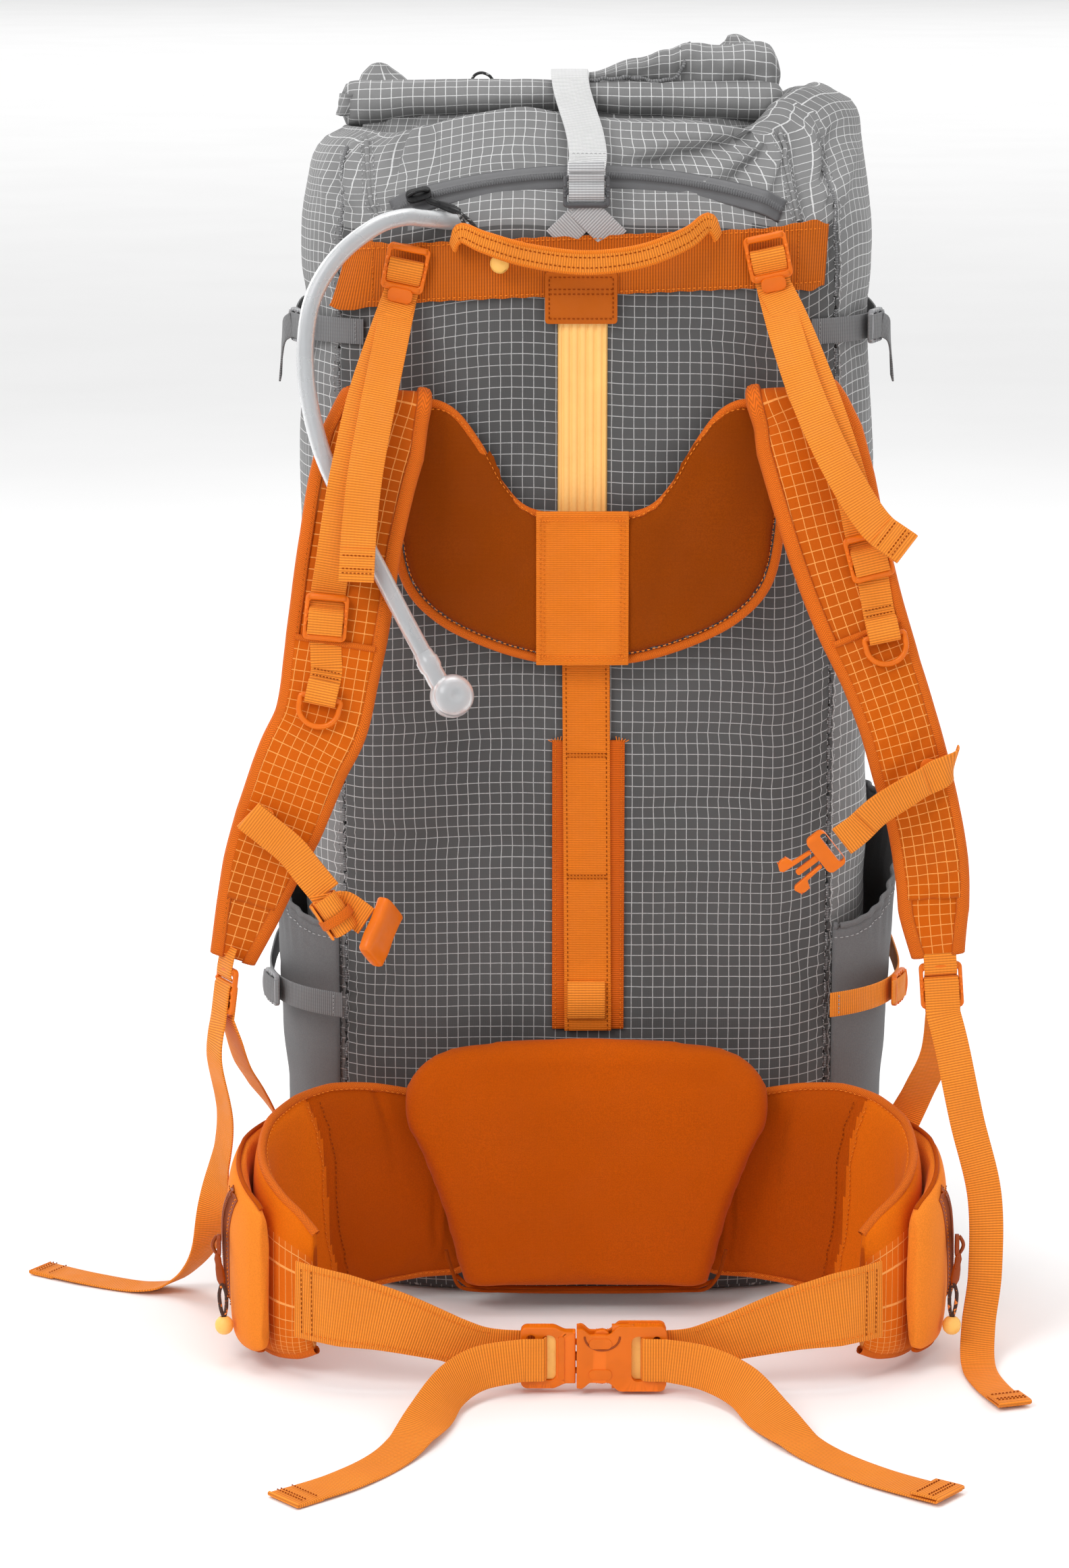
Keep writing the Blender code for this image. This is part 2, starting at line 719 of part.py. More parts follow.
def triglide_frame(name):
    """Where a load lifter's slide sits on the shoulder strap."""
    if name == "left":
        return frame_at((-0.1500, -0.1935, 0.4325), turn=math.radians(5), lean=math.radians(-14))
    return frame_at((0.1600, -0.1835, 0.4660), turn=math.radians(-14), lean=math.radians(-16))


def ring_frame(name):
    """The space of a D ring on a shoulder strap. Its straight bar is at RING_BAR."""
    x, z = (-0.1545, 0.380) if name == "left" else (0.1700, 0.415)
    turn = math.radians(12 if name == "left" else -12)
    return frame_at((x, strap_front(z) - 0.0065, z), turn=turn, lean=math.radians(-8))


def make_load_lifters():
    """Ladder locks on the band, slides on the straps and the webbing between."""
    tails = {
        "left": [
            (-0.1140, -0.1400, 0.5830), (-0.1210, -0.1690, 0.5480), (-0.1270, -0.1870, 0.5150),
            (-0.1305, -0.1970, 0.4830), (-0.1320, -0.2040, 0.4560),
        ],
        "right": [
            (0.1150, -0.1430, 0.5850), (0.1250, -0.1640, 0.5550), (0.1410, -0.1830, 0.5200),
            (0.1610, -0.1970, 0.4880), (0.1790, -0.2050, 0.4740),
        ],
    }
    runs = {
        "left": [
            (-0.1455, -0.1930, 0.4650), (-0.1405, -0.1850, 0.4980), (-0.1355, -0.1770, 0.5230),
            (-0.1280, -0.1590, 0.5550), (-0.1170, -0.1350, 0.5870),
        ],
        "right": [
            (0.1525, -0.1775, 0.4960), (0.1430, -0.1720, 0.5280), (0.1310, -0.1540, 0.5620),
            (0.1170, -0.1330, 0.5960),
        ],
    }
    for name, _ in SIDES:
        lock = lifter_lock_frame(name)
        slide = triglide_frame(name)
        ladder_lock("lifter_lock_" + name, "plastic_orange", lock, LIFTER_WIDTH)
        ladder_lock("strap_slide_" + name, "plastic_orange", slide, LIFTER_WIDTH)
        hooked = laced(slide, [
            (-WEAVE, -0.0105), (-WEAVE, 0.0), (-WEAVE, 0.0022), (0.0, 0.0048), (WEAVE, 0.0066),
            (WEAVE, 0.0120), (WEAVE, 0.0170),
        ])
        low = Vector(runs[name][0])
        turned = laced(lock, TURNED)
        path = hooked + smooth_path([hooked[-1].lerp(low, 0.3)] + runs[name] + [turned[0]], 14)
        path += turned[1:-1]
        path += smooth_path([turned[-1]] + tails[name], 14)
        slide_x, lock_x = (matrix.to_3x3() @ Vector((1, 0, 0)) for matrix in (slide, lock))
        across = [slide_x] * (len(hooked) + 3) + fade([slide_x, lock_x], 11)
        across += [lock_x] * (len(turned) - 2) + fade([lock_x, lock_x, slide_x], 14)
        strip("load_lifter_" + name, "webbing_orange", path, LIFTER_WIDTH, WEBBING, across)


def make_rings():
    """A D ring on each strap, hinged in its sewn webbing loop."""
    for name, _ in SIDES:
        matrix = ring_frame(name)
        hinge = pivot("d_ring_pivot_" + name, matrix @ Vector((0, 0, RING_BAR)))
        outline = []
        for k in range(9):
            a = math.pi + math.pi * k / 8
            outline.append((0.0115 * math.cos(a), 0.0, 0.0105 * math.sin(a) + 0.002))
        outline += [(0.0115, 0, RING_BAR), (-0.0115, 0, RING_BAR)]
        curve = bpy.data.curves.new("d_ring", "CURVE")
        curve.dimensions = "3D"
        spline = curve.splines.new("POLY")
        spline.points.add(len(outline) - 1)
        for point, (x, y, z) in zip(spline.points, outline):
            point.co = (x, y, z, 1)
        spline.use_cyclic_u = True
        curve.bevel_depth = 0.0016
        curve.bevel_resolution = 2
        curve.materials.append(finish("plastic_orange"))
        ring = bpy.data.objects.new("d_ring_" + name, curve)
        PARTS.objects.link(ring)
        ring.matrix_world = matrix
        bpy.context.view_layer.update()
        hang(ring, hinge)


def make_strap_ends():
    """Ladder locks at the strap ends, with the webbing that tightens them."""
    locks = {
        "left": frame_at((-0.2100, -0.1990, 0.2150), lean=math.radians(-8), swing=math.radians(-62)),
        "right": frame_at((0.2050, -0.1980, 0.2170), turn=math.radians(-4), lean=math.radians(-6)),
    }
    anchors = {
        "left": [
            (-0.2070, -0.1950, 0.1880), (-0.2030, -0.1740, 0.1640), (-0.1960, -0.1460, 0.1400),
            (-0.1830, -0.1240, 0.1080), (-0.1720, -0.1130, 0.0650),
        ],
        "right": [
            (0.2060, -0.1720, 0.1700), (0.1990, -0.1480, 0.1420), (0.1880, -0.1260, 0.1080),
            (0.1730, -0.1140, 0.0650),
        ],
    }
    tails = {
        "left": [
            (-0.2170, -0.2030, 0.1750), (-0.2130, -0.1800, 0.1300), (-0.2210, -0.1500, 0.0800),
            (-0.2300, -0.1250, 0.0350), (-0.2480, -0.1090, 0.0090), (-0.2700, -0.1040, 0.0018),
            (-0.3050, -0.0880, 0.0016), (-0.3370, -0.0680, 0.0022),
        ],
        "right": [
            (0.2110, -0.2080, 0.1820), (0.2200, -0.2120, 0.1400), (0.2310, -0.2140, 0.0950),
            (0.2320, -0.2180, 0.0500), (0.2280, -0.2260, 0.0200), (0.2260, -0.2480, 0.0030),
            (0.2300, -0.2800, 0.0016), (0.2400, -0.3130, 0.0022),
        ],
    }
    for name, side in SIDES:
        ladder_lock("strap_end_lock_" + name, "plastic_orange", locks[name], LIFTER_WIDTH)
        turned = laced(locks[name], TURNED)
        anchor = smooth_path(list(reversed(anchors[name])) + [turned[0]], 14)
        tail = smooth_path([turned[-1]] + tails[name], 26)
        lock_x = locks[name].to_3x3() @ Vector((1, 0, 0))
        flat = Vector((0.55, 0.83, 0)) if side < 0 else Vector((1, 0.15, 0))
        start = Vector((-0.4, -0.9, 0)) if side < 0 else Vector((0.4, -0.9, 0))
        across = fade([start, lock_x, lock_x], len(anchor)) + [lock_x] * (len(turned) - 2)
        across += fade([lock_x, lock_x, flat, flat], len(tail))
        strip(
            "lower_webbing_" + name, "webbing_orange", anchor + turned[1:-1] + tail,
            LIFTER_WIDTH, WEBBING, across,
        )


def prong(name, matrix, hinge, length, side, scale=1.0):
    """One sprung arm of a side release buckle with its thumb pad."""
    def build(work):
        arm = [
            (0.0, side * 0.0030), (length * 0.55, side * 0.0042), (length * 0.62, side * 0.0090),
            (length * 0.92, side * 0.0085), (length, side * 0.0040), (length * 0.92, side * 0.0020),
            (length * 0.5, side * 0.0012), (0.0, side * 0.0006),
        ]
        corners = [work.verts.new((x, 0.0025 * scale, z * scale)) for x, z in arm]
        face = work.faces.new(corners)
        made = bmesh.ops.extrude_face_region(work, geom=[face])
        moved = [v for v in made["geom"] if isinstance(v, bmesh.types.BMVert)]
        bmesh.ops.translate(work, verts=moved, vec=(0, -0.005 * scale, 0))
    hinge_space = matrix @ Matrix.Translation(hinge)
    piece = place(name, mesh_from(build, name), "plastic_orange", hinge_space)
    add_bevel(piece, 0.0005)
    return piece


STERNUM_WIDTH = 0.019
STERNUM_SLIDER = (0.020, 0.003, 0.026)


def make_sternum_strap():
    """The chest strap: a slider on each shoulder strap and an open buckle."""
    right = [
        (0.1935, -0.2120, 0.3530), (0.1945, -0.2150, 0.3440), (0.1830, -0.2190, 0.3370),
        (0.1650, -0.2220, 0.3260), (0.1530, -0.2230, 0.3150), (0.1440, -0.2230, 0.3080),
    ]
    webbing = strip(
        "sternum_webbing_right", "webbing_orange", smooth_path(right, 12), STERNUM_WIDTH, WEBBING,
        (0.25, -0.1, 1),
    )
    join(webbing, [block("slider", "plastic_orange", STERNUM_SLIDER, (0.1985, -0.2110, 0.3450))])
    left = [
        (-0.1850, -0.2120, 0.3160), (-0.1790, -0.2160, 0.3120), (-0.1700, -0.2200, 0.3020),
        (-0.1600, -0.2230, 0.2900), (-0.1500, -0.2250, 0.2780),
    ]
    webbing = strip(
        "sternum_webbing_left", "webbing_orange", smooth_path(left, 10), STERNUM_WIDTH, WEBBING,
        (0.75, -0.1, 0.8),
    )
    slider = block("slider", "plastic_orange", STERNUM_SLIDER, (-0.1820, -0.2120, 0.3140))
    rolled = capsule(
        "rolled", "webbing_orange", (-0.1520, -0.2260, 0.2760), (-0.1390, -0.2260, 0.2560), 0.0095,
    )
    join(webbing, [slider, rolled])

    matrix = frame_at((0.1320, -0.2230, 0.3000), turn=math.radians(-38))
    body = block("sternum_male", "plastic_orange", (0.012, 0.0045, 0.024), (0.004, 0, 0), matrix)
    cut(body, (0.0035, 0.02, 0.0195), (0.0045, 0, 0), matrix)
    add_bevel(body, 0.0006)
    turned = matrix @ Matrix.Rotation(math.pi, 4, "Y")
    for part, sign in (("upper", 1), ("lower", -1)):
        root = (0.0030, 0, sign * 0.0035)
        arm = prong("sternum_prong_" + part, turned, root, 0.021, sign, scale=0.85)
        hang(arm, pivot("sternum_prong_pivot_" + part, turned @ Vector(root)))
    matrix = frame_at((-0.1190, -0.2290, 0.2560), turn=math.radians(42), swing=math.radians(60))
    body = block("sternum_female", "plastic_orange", (0.024, 0.009, 0.034), (0, 0, 0), matrix)
    cut(body, (0.019, 0.0055, 0.024), (0, 0, 0.008), matrix)
    add_bevel(body, 0.0010)


# ----------------------------------------------------------------- hip belt
def wing_route(side):
    """Plan of a hip wing from the lumbar pad round to its tip."""
    return [
        (side * 0.0700, -0.1240, 0.080), (side * 0.1050, -0.1255, 0.080),
        (side * 0.1330, -0.1345, 0.079), (side * 0.1570, -0.1500, 0.076),
        (side * 0.1760, -0.1710, 0.072), (side * 0.1875, -0.1970, 0.068),
        (side * 0.1880, -0.2240, 0.062), (side * 0.1770, -0.2460, 0.057),
        (side * 0.1560, -0.2620, 0.052),
    ]


def make_hip_belt():
    """The lumbar pad, both wings, their pockets and the belt webbing."""
    half = [
        (0.0, 0.0130), (0.050, 0.0135), (0.074, 0.0155), (0.0800, 0.026), (0.089, 0.060),
        (0.101, 0.095), (0.1095, 0.122), (0.1105, 0.142), (0.104, 0.158), (0.090, 0.166),
        (0.060, 0.168), (0.030, 0.172), (0.0, 0.174),
    ]
    flat_pad("lumbar_pad", "foam_rust", mirrored(half), LUMBAR_BACK_Y, LUMBAR_THICKNESS, 0.007, 2)
    for name, side in SIDES:
        path = smooth_path(wing_route(side), 20)
        height = [0.096, 0.104, 0.118, 0.130, 0.134, 0.130, 0.116, 0.098, 0.078]
        wing = strip("hip_wing_" + name, "foam_rust", path, height, WING_THICKNESS, (0, 0, 1), 2)
        add_bevel(wing, 0.003)
        outer = WING_THICKNESS / 2 + 0.0068
        pocket = []
        for k in range(8, 18):
            ahead = (path[k + 1] - path[k - 1]).normalized()
            outward = Vector((-ahead.y, ahead.x, 0)) * side
            pocket.append(path[k] + outward * outer)
        pouch = strip(
            "pouch", "foam_rust", pocket, [0.086, 0.110, 0.112, 0.104, 0.088], 0.015, (0, 0, 1), 2,
        )
        add_bevel(pouch, 0.004)
        join(wing, [pouch])


def waist_buckle_frame():
    """The waist buckle's own space, its mouth towards -X."""
    return frame_at((0.0030, BELT_Y, BUCKLE_Z))


def make_waist_buckle():
    """The side release buckle on the belt's centre."""
    matrix = waist_buckle_frame()
    mouth = 0.0062
    webbing_slot = (0.0048, 0.02, 0.0275)
    female = block(
        "waist_buckle_female", "plastic_orange", (0.051, BUCKLE_THICKNESS, BUCKLE_HEIGHT),
        (0.0155, 0, 0), matrix,
    )
    cut(female, (0.034, mouth, 0.0300), (0.0050, 0, 0), matrix)
    for sign in (-1, 1):
        cut(female, (0.0170, mouth, 0.0100), (0.0010, 0, sign * 0.0180), matrix)
    for x in (0.0270, 0.0355):
        cut(female, webbing_slot, (x, 0, 0), matrix)
    add_bevel(female, 0.0012)
    male = block(
        "waist_buckle_male", "plastic_orange", (0.0270, 0.0080, 0.0370), (-0.0285, 0, 0), matrix,
    )
    for x in (-0.0360, -0.0275):
        cut(male, webbing_slot, (x, 0, 0), matrix)
    add_bevel(male, 0.0010)
    for part, sign in (("upper", 1), ("lower", -1)):
        root = (-0.0140, 0, sign * 0.0065)
        arm = prong("waist_prong_" + part, matrix, root, 0.024, sign)
        hang(arm, pivot("waist_prong_pivot_" + part, matrix @ Vector(root)))


def make_belt_webbing():
    """Webbing from each wing through the buckle, ending in a loose tail."""
    matrix = waist_buckle_frame()
    bars = {"left": -0.03175, "right": 0.03125}
    tails = {
        "left": [
            (-0.0620, -0.2990, 0.0190), (-0.0780, -0.3180, 0.0150), (-0.0900, -0.3480, 0.0080),
            (-0.1080, -0.3900, 0.0014), (-0.1330, -0.4270, 0.0014), (-0.1640, -0.4560, 0.0020),
        ],
        "right": [
            (0.0660, -0.2990, 0.0190), (0.0860, -0.3180, 0.0150), (0.1010, -0.3450, 0.0070),
            (0.1220, -0.3820, 0.0014), (0.1520, -0.4200, 0.0014), (0.1900, -0.4520, 0.0020),
        ],
    }
    for name, side in SIDES:
        sewn = [
            (side * 0.1680, -0.2680, 0.0500), (side * 0.1590, -0.2740, 0.0495),
            (side * 0.1430, -0.2810, 0.0480), (side * 0.1150, -0.2850, 0.0430),
            (side * 0.0850, -0.2830, 0.0330), (side * 0.0620, -0.2795, 0.0240),
        ]
        x = bars[name]
        out = 0.0073
        turn = [
            (x + side * 0.0090, out), (x - side * 0.0014, out), (x - side * 0.0036, out - 0.0015),
            (x - side * 0.0043, 0.0), (x - side * 0.0036, 0.0015 - out), (x - side * 0.0014, -out),
            (x + side * 0.0090, -out - 0.0005),
        ]
        loop = [matrix @ Vector((px, py, 0)) for px, py in turn]
        worn = smooth_path(sewn + [loop[0]], 16) + loop[1:-1]
        tail = smooth_path([loop[-1]] + tails[name], 22)
        width = [0.046, 0.038] + [BELT_WIDTH] * 5
        up = Vector((0, 0, 1))
        lying = Vector((side * 0.75, 0.66, 0))
        across = [up] * len(worn) + fade([up, up * 0.8 + lying * 0.5, lying, lying, lying], len(tail))
        strip("waist_webbing_" + name, "webbing_orange", worn + tail, width, WEBBING, across)


def make_hip_zips():
    """The slider and bead on each hip pocket."""
    for name, side in SIDES:
        at = Vector((side * 0.2130, -0.2310, 0.0700))
        piece = zip_slider(
            "hip_zip_slider_" + name, (at, (0.006, 0.009, 0.014), None),
            (at + Vector((0, -0.003, -0.004)), at + Vector((-side * 0.001, -0.006, -0.022))),
            (at + Vector((-side * 0.001, -0.006, -0.021)), at + Vector((-side * 0.002, -0.008, -0.042))),
            at + Vector((-side * 0.002, -0.008, -0.046)),
        )
        hang(piece, pivot("hip_zip_pivot_" + name, at))


# -------------------------------------------------------------- side straps
def make_side_straps():
    """Compression straps that cross each side panel to a lock at the seam."""
    heights = (("upper", 0.586), ("lower", 0.184))
    for level, z in heights:
        for name, side in SIDES:
            path = []
            for k in range(11):
                angle = math.radians(-52 + 96 * k / 10)
                proud = 0.0020 if level == "upper" else 0.0225
                point = bag_point(angle, z, proud)
                path.append(Vector((side * point.x, point.y, point.z)))
            slot = "webbing_orange" if (level, name) == ("lower", "right") else "webbing_grey"
            strip(f"side_strap_{level}_{name}", slot, path, 0.015, WEBBING, (0, 0, 1))


# --------------------------------------------------------------------- hose
HOSE_ROUTE = [
    (-0.0965, -0.1215, 0.6535), (-0.1060, -0.1280, 0.6545), (-0.1220, -0.1365, 0.6500),
    (-0.1430, -0.1450, 0.6340), (-0.1570, -0.1500, 0.6120), (-0.1620, -0.1550, 0.5850),
    (-0.1605, -0.1605, 0.5560), (-0.1540, -0.1660, 0.5280), (-0.1440, -0.1735, 0.5040),
    (-0.1325, -0.1810, 0.4820), (-0.1200, -0.1890, 0.4600), (-0.1060, -0.1965, 0.4340),
    (-0.0930, -0.2000, 0.4100),
]


def make_hose():
    """The drinking hose and its bite valve."""
    path = smooth_path(HOSE_ROUTE, 24)
    curve = bpy.data.curves.new("hydration_hose", "CURVE")
    curve.dimensions = "3D"
    spline = curve.splines.new("POLY")
    spline.points.add(len(path) - 1)
    for point, place_at in zip(spline.points, path):
        point.co = (*place_at, 1)
    curve.bevel_depth = HOSE_DIAMETER / 2
    curve.bevel_resolution = 2
    curve.use_fill_caps = True
    curve.materials.append(finish("clear_tube"))
    hose = bpy.data.objects.new("hydration_hose", curve)
    PARTS.objects.link(hose)

    end = Vector(HOSE_ROUTE[-1])
    along = (end - Vector(HOSE_ROUTE[-2])).normalized()
    elbow = capsule(
        "bite_valve", "clear_tube", end + along * 0.0005, end + along * 0.0200, 0.0065,
    )
    centre = end + along * 0.0230 + Vector((0.0040, -0.002, -0.001))
    face = ball("bite_valve_face", "clear_tube", centre, 0.0125)
    join(elbow, [face])


make_bag()
make_roll_top()
make_frame()
make_back_fittings()
make_top_strap()
make_main_zip()
for side_name, side_sign in SIDES:
    make_side_pocket("side_pocket_" + side_name, side_sign)
make_harness_pads()
make_load_lifters()
make_rings()
make_strap_ends()
make_sternum_strap()
make_hip_belt()
make_waist_buckle()
make_belt_webbing()
make_hip_zips()
make_side_straps()
make_hose()
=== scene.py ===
"""The looks of a roll-top hiking backpack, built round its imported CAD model.

Metres, +Z up. The harness faces -Y and the pack stands on its base at z = 0.
"""

import math

import bmesh
import bpy
from mathutils import Matrix, Vector, noise


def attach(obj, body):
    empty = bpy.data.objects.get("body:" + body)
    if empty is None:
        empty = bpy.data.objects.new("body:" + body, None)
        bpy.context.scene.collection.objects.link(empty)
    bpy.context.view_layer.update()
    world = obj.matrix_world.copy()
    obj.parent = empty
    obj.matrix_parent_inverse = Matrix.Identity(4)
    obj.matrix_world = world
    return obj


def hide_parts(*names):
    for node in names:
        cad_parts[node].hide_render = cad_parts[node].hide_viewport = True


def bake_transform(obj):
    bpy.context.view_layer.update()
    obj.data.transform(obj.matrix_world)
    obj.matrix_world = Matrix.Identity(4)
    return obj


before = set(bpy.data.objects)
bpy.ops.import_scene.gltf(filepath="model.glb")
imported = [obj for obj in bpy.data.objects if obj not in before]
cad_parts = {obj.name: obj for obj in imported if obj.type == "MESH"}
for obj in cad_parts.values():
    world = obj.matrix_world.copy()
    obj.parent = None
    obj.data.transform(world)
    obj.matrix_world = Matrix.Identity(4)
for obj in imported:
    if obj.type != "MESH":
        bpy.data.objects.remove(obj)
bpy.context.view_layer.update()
scene = bpy.context.scene
noise.seed_set(7)  # Vector noise would differ from run to run without a seed
SIDES = (("left", -1), ("right", 1))

# Driving dimensions, which are the CAD model's own
BAG_HALF_WIDTH = 0.172
BAG_HALF_DEPTH = 0.115
BAG_SQUARENESS = 3.4
SEAM_ANGLE = math.radians(40.6)
WALL_TOP = 0.645
WEBBING = 0.0012
LIFTER_WIDTH = 0.020
BELT_WIDTH = 0.0254
BAR = 0.003
WEAVE = BAR / 2 + 0.0004 + WEBBING / 2
LOCK_BAR = 0.004
LOCK_WINDOW = 0.0075
LOCK_HEIGHT = 3 * LOCK_BAR + 2 * LOCK_WINDOW
STRAP_THICKNESS = 0.011
WING_THICKNESS = 0.014
HOSE_DIAMETER = 0.0102
GRID_PITCH = 0.0065
STITCH = 0.0024


# --------------------------------------------------------------- materials
def srgb(red, green, blue):
    """A linear colour from the 0 to 255 values that a screen shows."""
    def linear(value):
        value /= 255
        return value / 12.92 if value <= 0.04045 else ((value + 0.055) / 1.055) ** 2.4
    return (linear(red), linear(green), linear(blue), 1.0)


class Shade:
    """A node material under construction."""

    def __init__(self, name, **sockets):
        self.material = bpy.data.materials.new(name)
        self.material.use_nodes = True
        self.tree = self.material.node_tree
        self.shader = self.tree.nodes["Principled BSDF"]
        for key, value in sockets.items():
            self.shader.inputs[key.replace("_", " ")].default_value = value

    def node(self, kind, settings=None, **inputs):
        made = self.tree.nodes.new("ShaderNode" + kind)
        for key, value in (settings or {}).items():
            setattr(made, key, value)
        for key, value in inputs.items():
            self.put(made.inputs[key.replace("_", " ")], value)
        return made

    def put(self, socket, value):
        if isinstance(value, bpy.types.NodeSocket):
            self.tree.links.new(value, socket)
        else:
            socket.default_value = value

    def math(self, operation, first, second=0.0):
        made = self.node("Math", {"operation": operation})
        self.put(made.inputs[0], first)
        self.put(made.inputs[1], second)
        return made.outputs[0]

    def flat(self):
        """Distances in metres along the piece: across it and along it."""
        parts = self.node("SeparateXYZ", Vector=self.node("UVMap").outputs[0])
        return parts.outputs[0], parts.outputs[1]

    def place(self):
        return self.node("TexCoord").outputs["Object"]

    def noise(self, scale, detail=2.0, where=None):
        vector = where or self.place()
        return self.node("TexNoise", Vector=vector, Scale=scale, Detail=detail).outputs[0]

    def rising(self, value, low, high, start=0.0, end=1.0):
        made = self.node("MapRange", {"interpolation_type": "SMOOTHSTEP"})
        for socket, number in zip(made.inputs, (value, low, high, start, end)):
            self.put(socket, number)
        return made.outputs[0]

    def ridge(self, value, pitch):
        """0 to 1 and back over every pitch."""
        turned = self.math("MULTIPLY", value, 2 * math.pi / pitch)
        return self.math("MULTIPLY_ADD", self.math("SINE", turned), 0.5)

    def line(self, value, pitch, width):
        """1 on thin lines at every pitch, else 0."""
        share = self.math("FRACT", self.math("DIVIDE", value, pitch))
        away = self.math("ABSOLUTE", self.math("SUBTRACT", share, 0.5))
        half = width / pitch / 2
        return self.rising(away, half * 1.35, half * 0.65)

    def mix(self, share, first, second):
        made = self.node("Mix", {"data_type": "RGBA"})
        self.put(made.inputs[0], share)
        self.put(made.inputs[6], first)
        self.put(made.inputs[7], second)
        return made.outputs[2]

    def colour(self, value):
        self.put(self.shader.inputs["Base Color"], value)

    def rough(self, value):
        self.put(self.shader.inputs["Roughness"], value)

    def bump(self, height, distance, strength=1.0):
        made = self.node("Bump", Height=height, Distance=distance, Strength=strength)
        previous = self.shader.inputs["Normal"]
        if previous.is_linked:
            self.put(made.inputs["Normal"], previous.links[0].from_socket)
        self.put(previous, made.outputs[0])

    def varied(self, base, amount=0.10, scale=9.0):
        """The base colour, a little lighter and darker in soft patches."""
        light = tuple(min(c * (1 + amount), 1.0) for c in base[:3]) + (1.0,)
        dark = tuple(c * (1 - amount) for c in base[:3]) + (1.0,)
        return self.mix(self.rising(self.noise(scale, 4.0), 0.3, 0.7), dark, light)


def grid_cloth(name, base, line, width=0.0011):
    """Ripstop: fine plain weave with raised reinforcing lines in a grid."""
    made = Shade(name, Sheen_Weight=0.04, Sheen_Roughness=0.5, Specular_IOR_Level=0.12)
    u, v = made.flat()
    wobble = made.math("MULTIPLY", made.math("SUBTRACT", made.noise(60.0), 0.5), 0.0006)
    u, v = made.math("ADD", u, wobble), made.math("ADD", v, wobble)
    lines = made.math("MAXIMUM", made.line(u, GRID_PITCH, width), made.line(v, GRID_PITCH, width))
    thread = made.math("MULTIPLY", lines, made.rising(made.noise(900.0), 0.25, 0.6, 0.72, 1.0))
    made.colour(made.mix(thread, made.varied(base), line))
    made.rough(made.rising(made.noise(25.0), 0.3, 0.7, 0.62, 0.80))
    weave = made.math("ADD", made.ridge(u, 0.0006), made.ridge(v, 0.0006))
    made.bump(weave, 0.00006, 0.5)
    made.bump(lines, 0.00022, 0.9)
    made.bump(made.noise(38.0, 5.0), 0.0012, 0.35)
    return made.material


def plain_cloth(name, base, pitch=0.0007, depth=0.0001, sheen=0.04, amount=0.10):
    """A fine plain weave that needs no unwrapping, for simulated pads."""
    made = Shade(name, Sheen_Weight=sheen, Sheen_Roughness=0.45, Specular_IOR_Level=0.08)
    parts = made.node("SeparateXYZ", Vector=made.place())
    across = made.math("ADD", parts.outputs[0], made.math("MULTIPLY", parts.outputs[1], 0.7))
    weave = made.math("MULTIPLY", made.ridge(across, pitch), made.ridge(parts.outputs[2], pitch))
    fleck = made.rising(made.noise(1400.0), 0.35, 0.65)
    dark = tuple(c * 0.86 for c in base[:3]) + (1.0,)
    made.colour(made.mix(made.math("MULTIPLY", fleck, 0.8), made.varied(base, amount), dark))
    made.rough(made.rising(made.noise(40.0), 0.3, 0.7, 0.78, 0.92))
    made.bump(weave, depth, 0.6)
    made.bump(made.noise(700.0, 2.0), depth, 0.4)
    made.bump(made.noise(24.0, 4.0), 0.0016, 0.30)
    return made.material


def ribbed(name, base, rib=0.0017, groove_shade_share=0.62, upright=False, depth=0.00028):
    """Webbing: a fine rib across its length."""
    made = Shade(name, Sheen_Weight=0.03, Sheen_Roughness=0.4, Specular_IOR_Level=0.18)
    u, v = made.flat()
    if upright:
        u, v = v, u
    ribs = made.ridge(v, rib)
    columns = made.ridge(u, 0.0021)
    woven = made.math("MULTIPLY", ribs, made.rising(columns, 0.0, 1.0, 0.75, 1.0))
    # Painted shade: the grooves between the ribs are coloured darker than the ribs' tops, by the same mask
    # that lowers them in the bump
    dark = tuple(c * groove_shade_share for c in base[:3]) + (1.0,)
    made.colour(made.mix(made.rising(woven, 0.08, 0.75), dark, made.varied(base, 0.07, 22.0)))
    made.rough(made.rising(made.noise(90.0), 0.3, 0.7, 0.55, 0.72))
    made.bump(woven, depth, 0.9)
    made.bump(made.noise(1500.0), 0.00005, 0.5)
    return made.material


def herringbone(name, base):
    """Binding tape: short slanting ribs that turn back in columns."""
    made = Shade(name, Sheen_Weight=0.03, Specular_IOR_Level=0.15)
    u, v = made.flat()
    fold = made.math(
        "ABSOLUTE", made.math("SUBTRACT", made.math("FRACT", made.math("DIVIDE", u, 0.0036)), 0.5)
    )
    slant = made.math("ADD", v, made.math("MULTIPLY", fold, 0.0036))
    ribs = made.ridge(slant, 0.0012)
    # Painted shade: the grooves between the slanting ribs are coloured darker than the ribs' tops
    dark = tuple(c * 0.66 for c in base[:3]) + (1.0,)
    made.colour(made.mix(made.rising(ribs, 0.1, 0.8), dark, made.varied(base, 0.06, 20.0)))
    made.rough(0.72)
    made.bump(ribs, 0.00018, 0.9)
    return made.material


def moulded(name, base, roughness=0.34):
    """Injection moulded acetal: satin, faintly mottled and scuffed on edges."""
    made = Shade(name, Specular_IOR_Level=0.28, Subsurface_Weight=0.04, Subsurface_Scale=0.002)
    worn = made.rising(made.node("NewGeometry").outputs["Pointiness"], 0.52, 0.60)
    light = tuple(min(c * 1.35 + 0.01, 1.0) for c in base[:3]) + (1.0,)
    made.colour(made.mix(made.math("MULTIPLY", worn, 0.55), made.varied(base, 0.05, 60.0), light))
    made.rough(made.rising(made.noise(260.0, 3.0), 0.3, 0.7, roughness - 0.06, roughness + 0.12))
    made.bump(made.noise(2200.0), 0.00004, 0.5)
    made.bump(made.noise(130.0), 0.00010, 0.25)
    return made.material


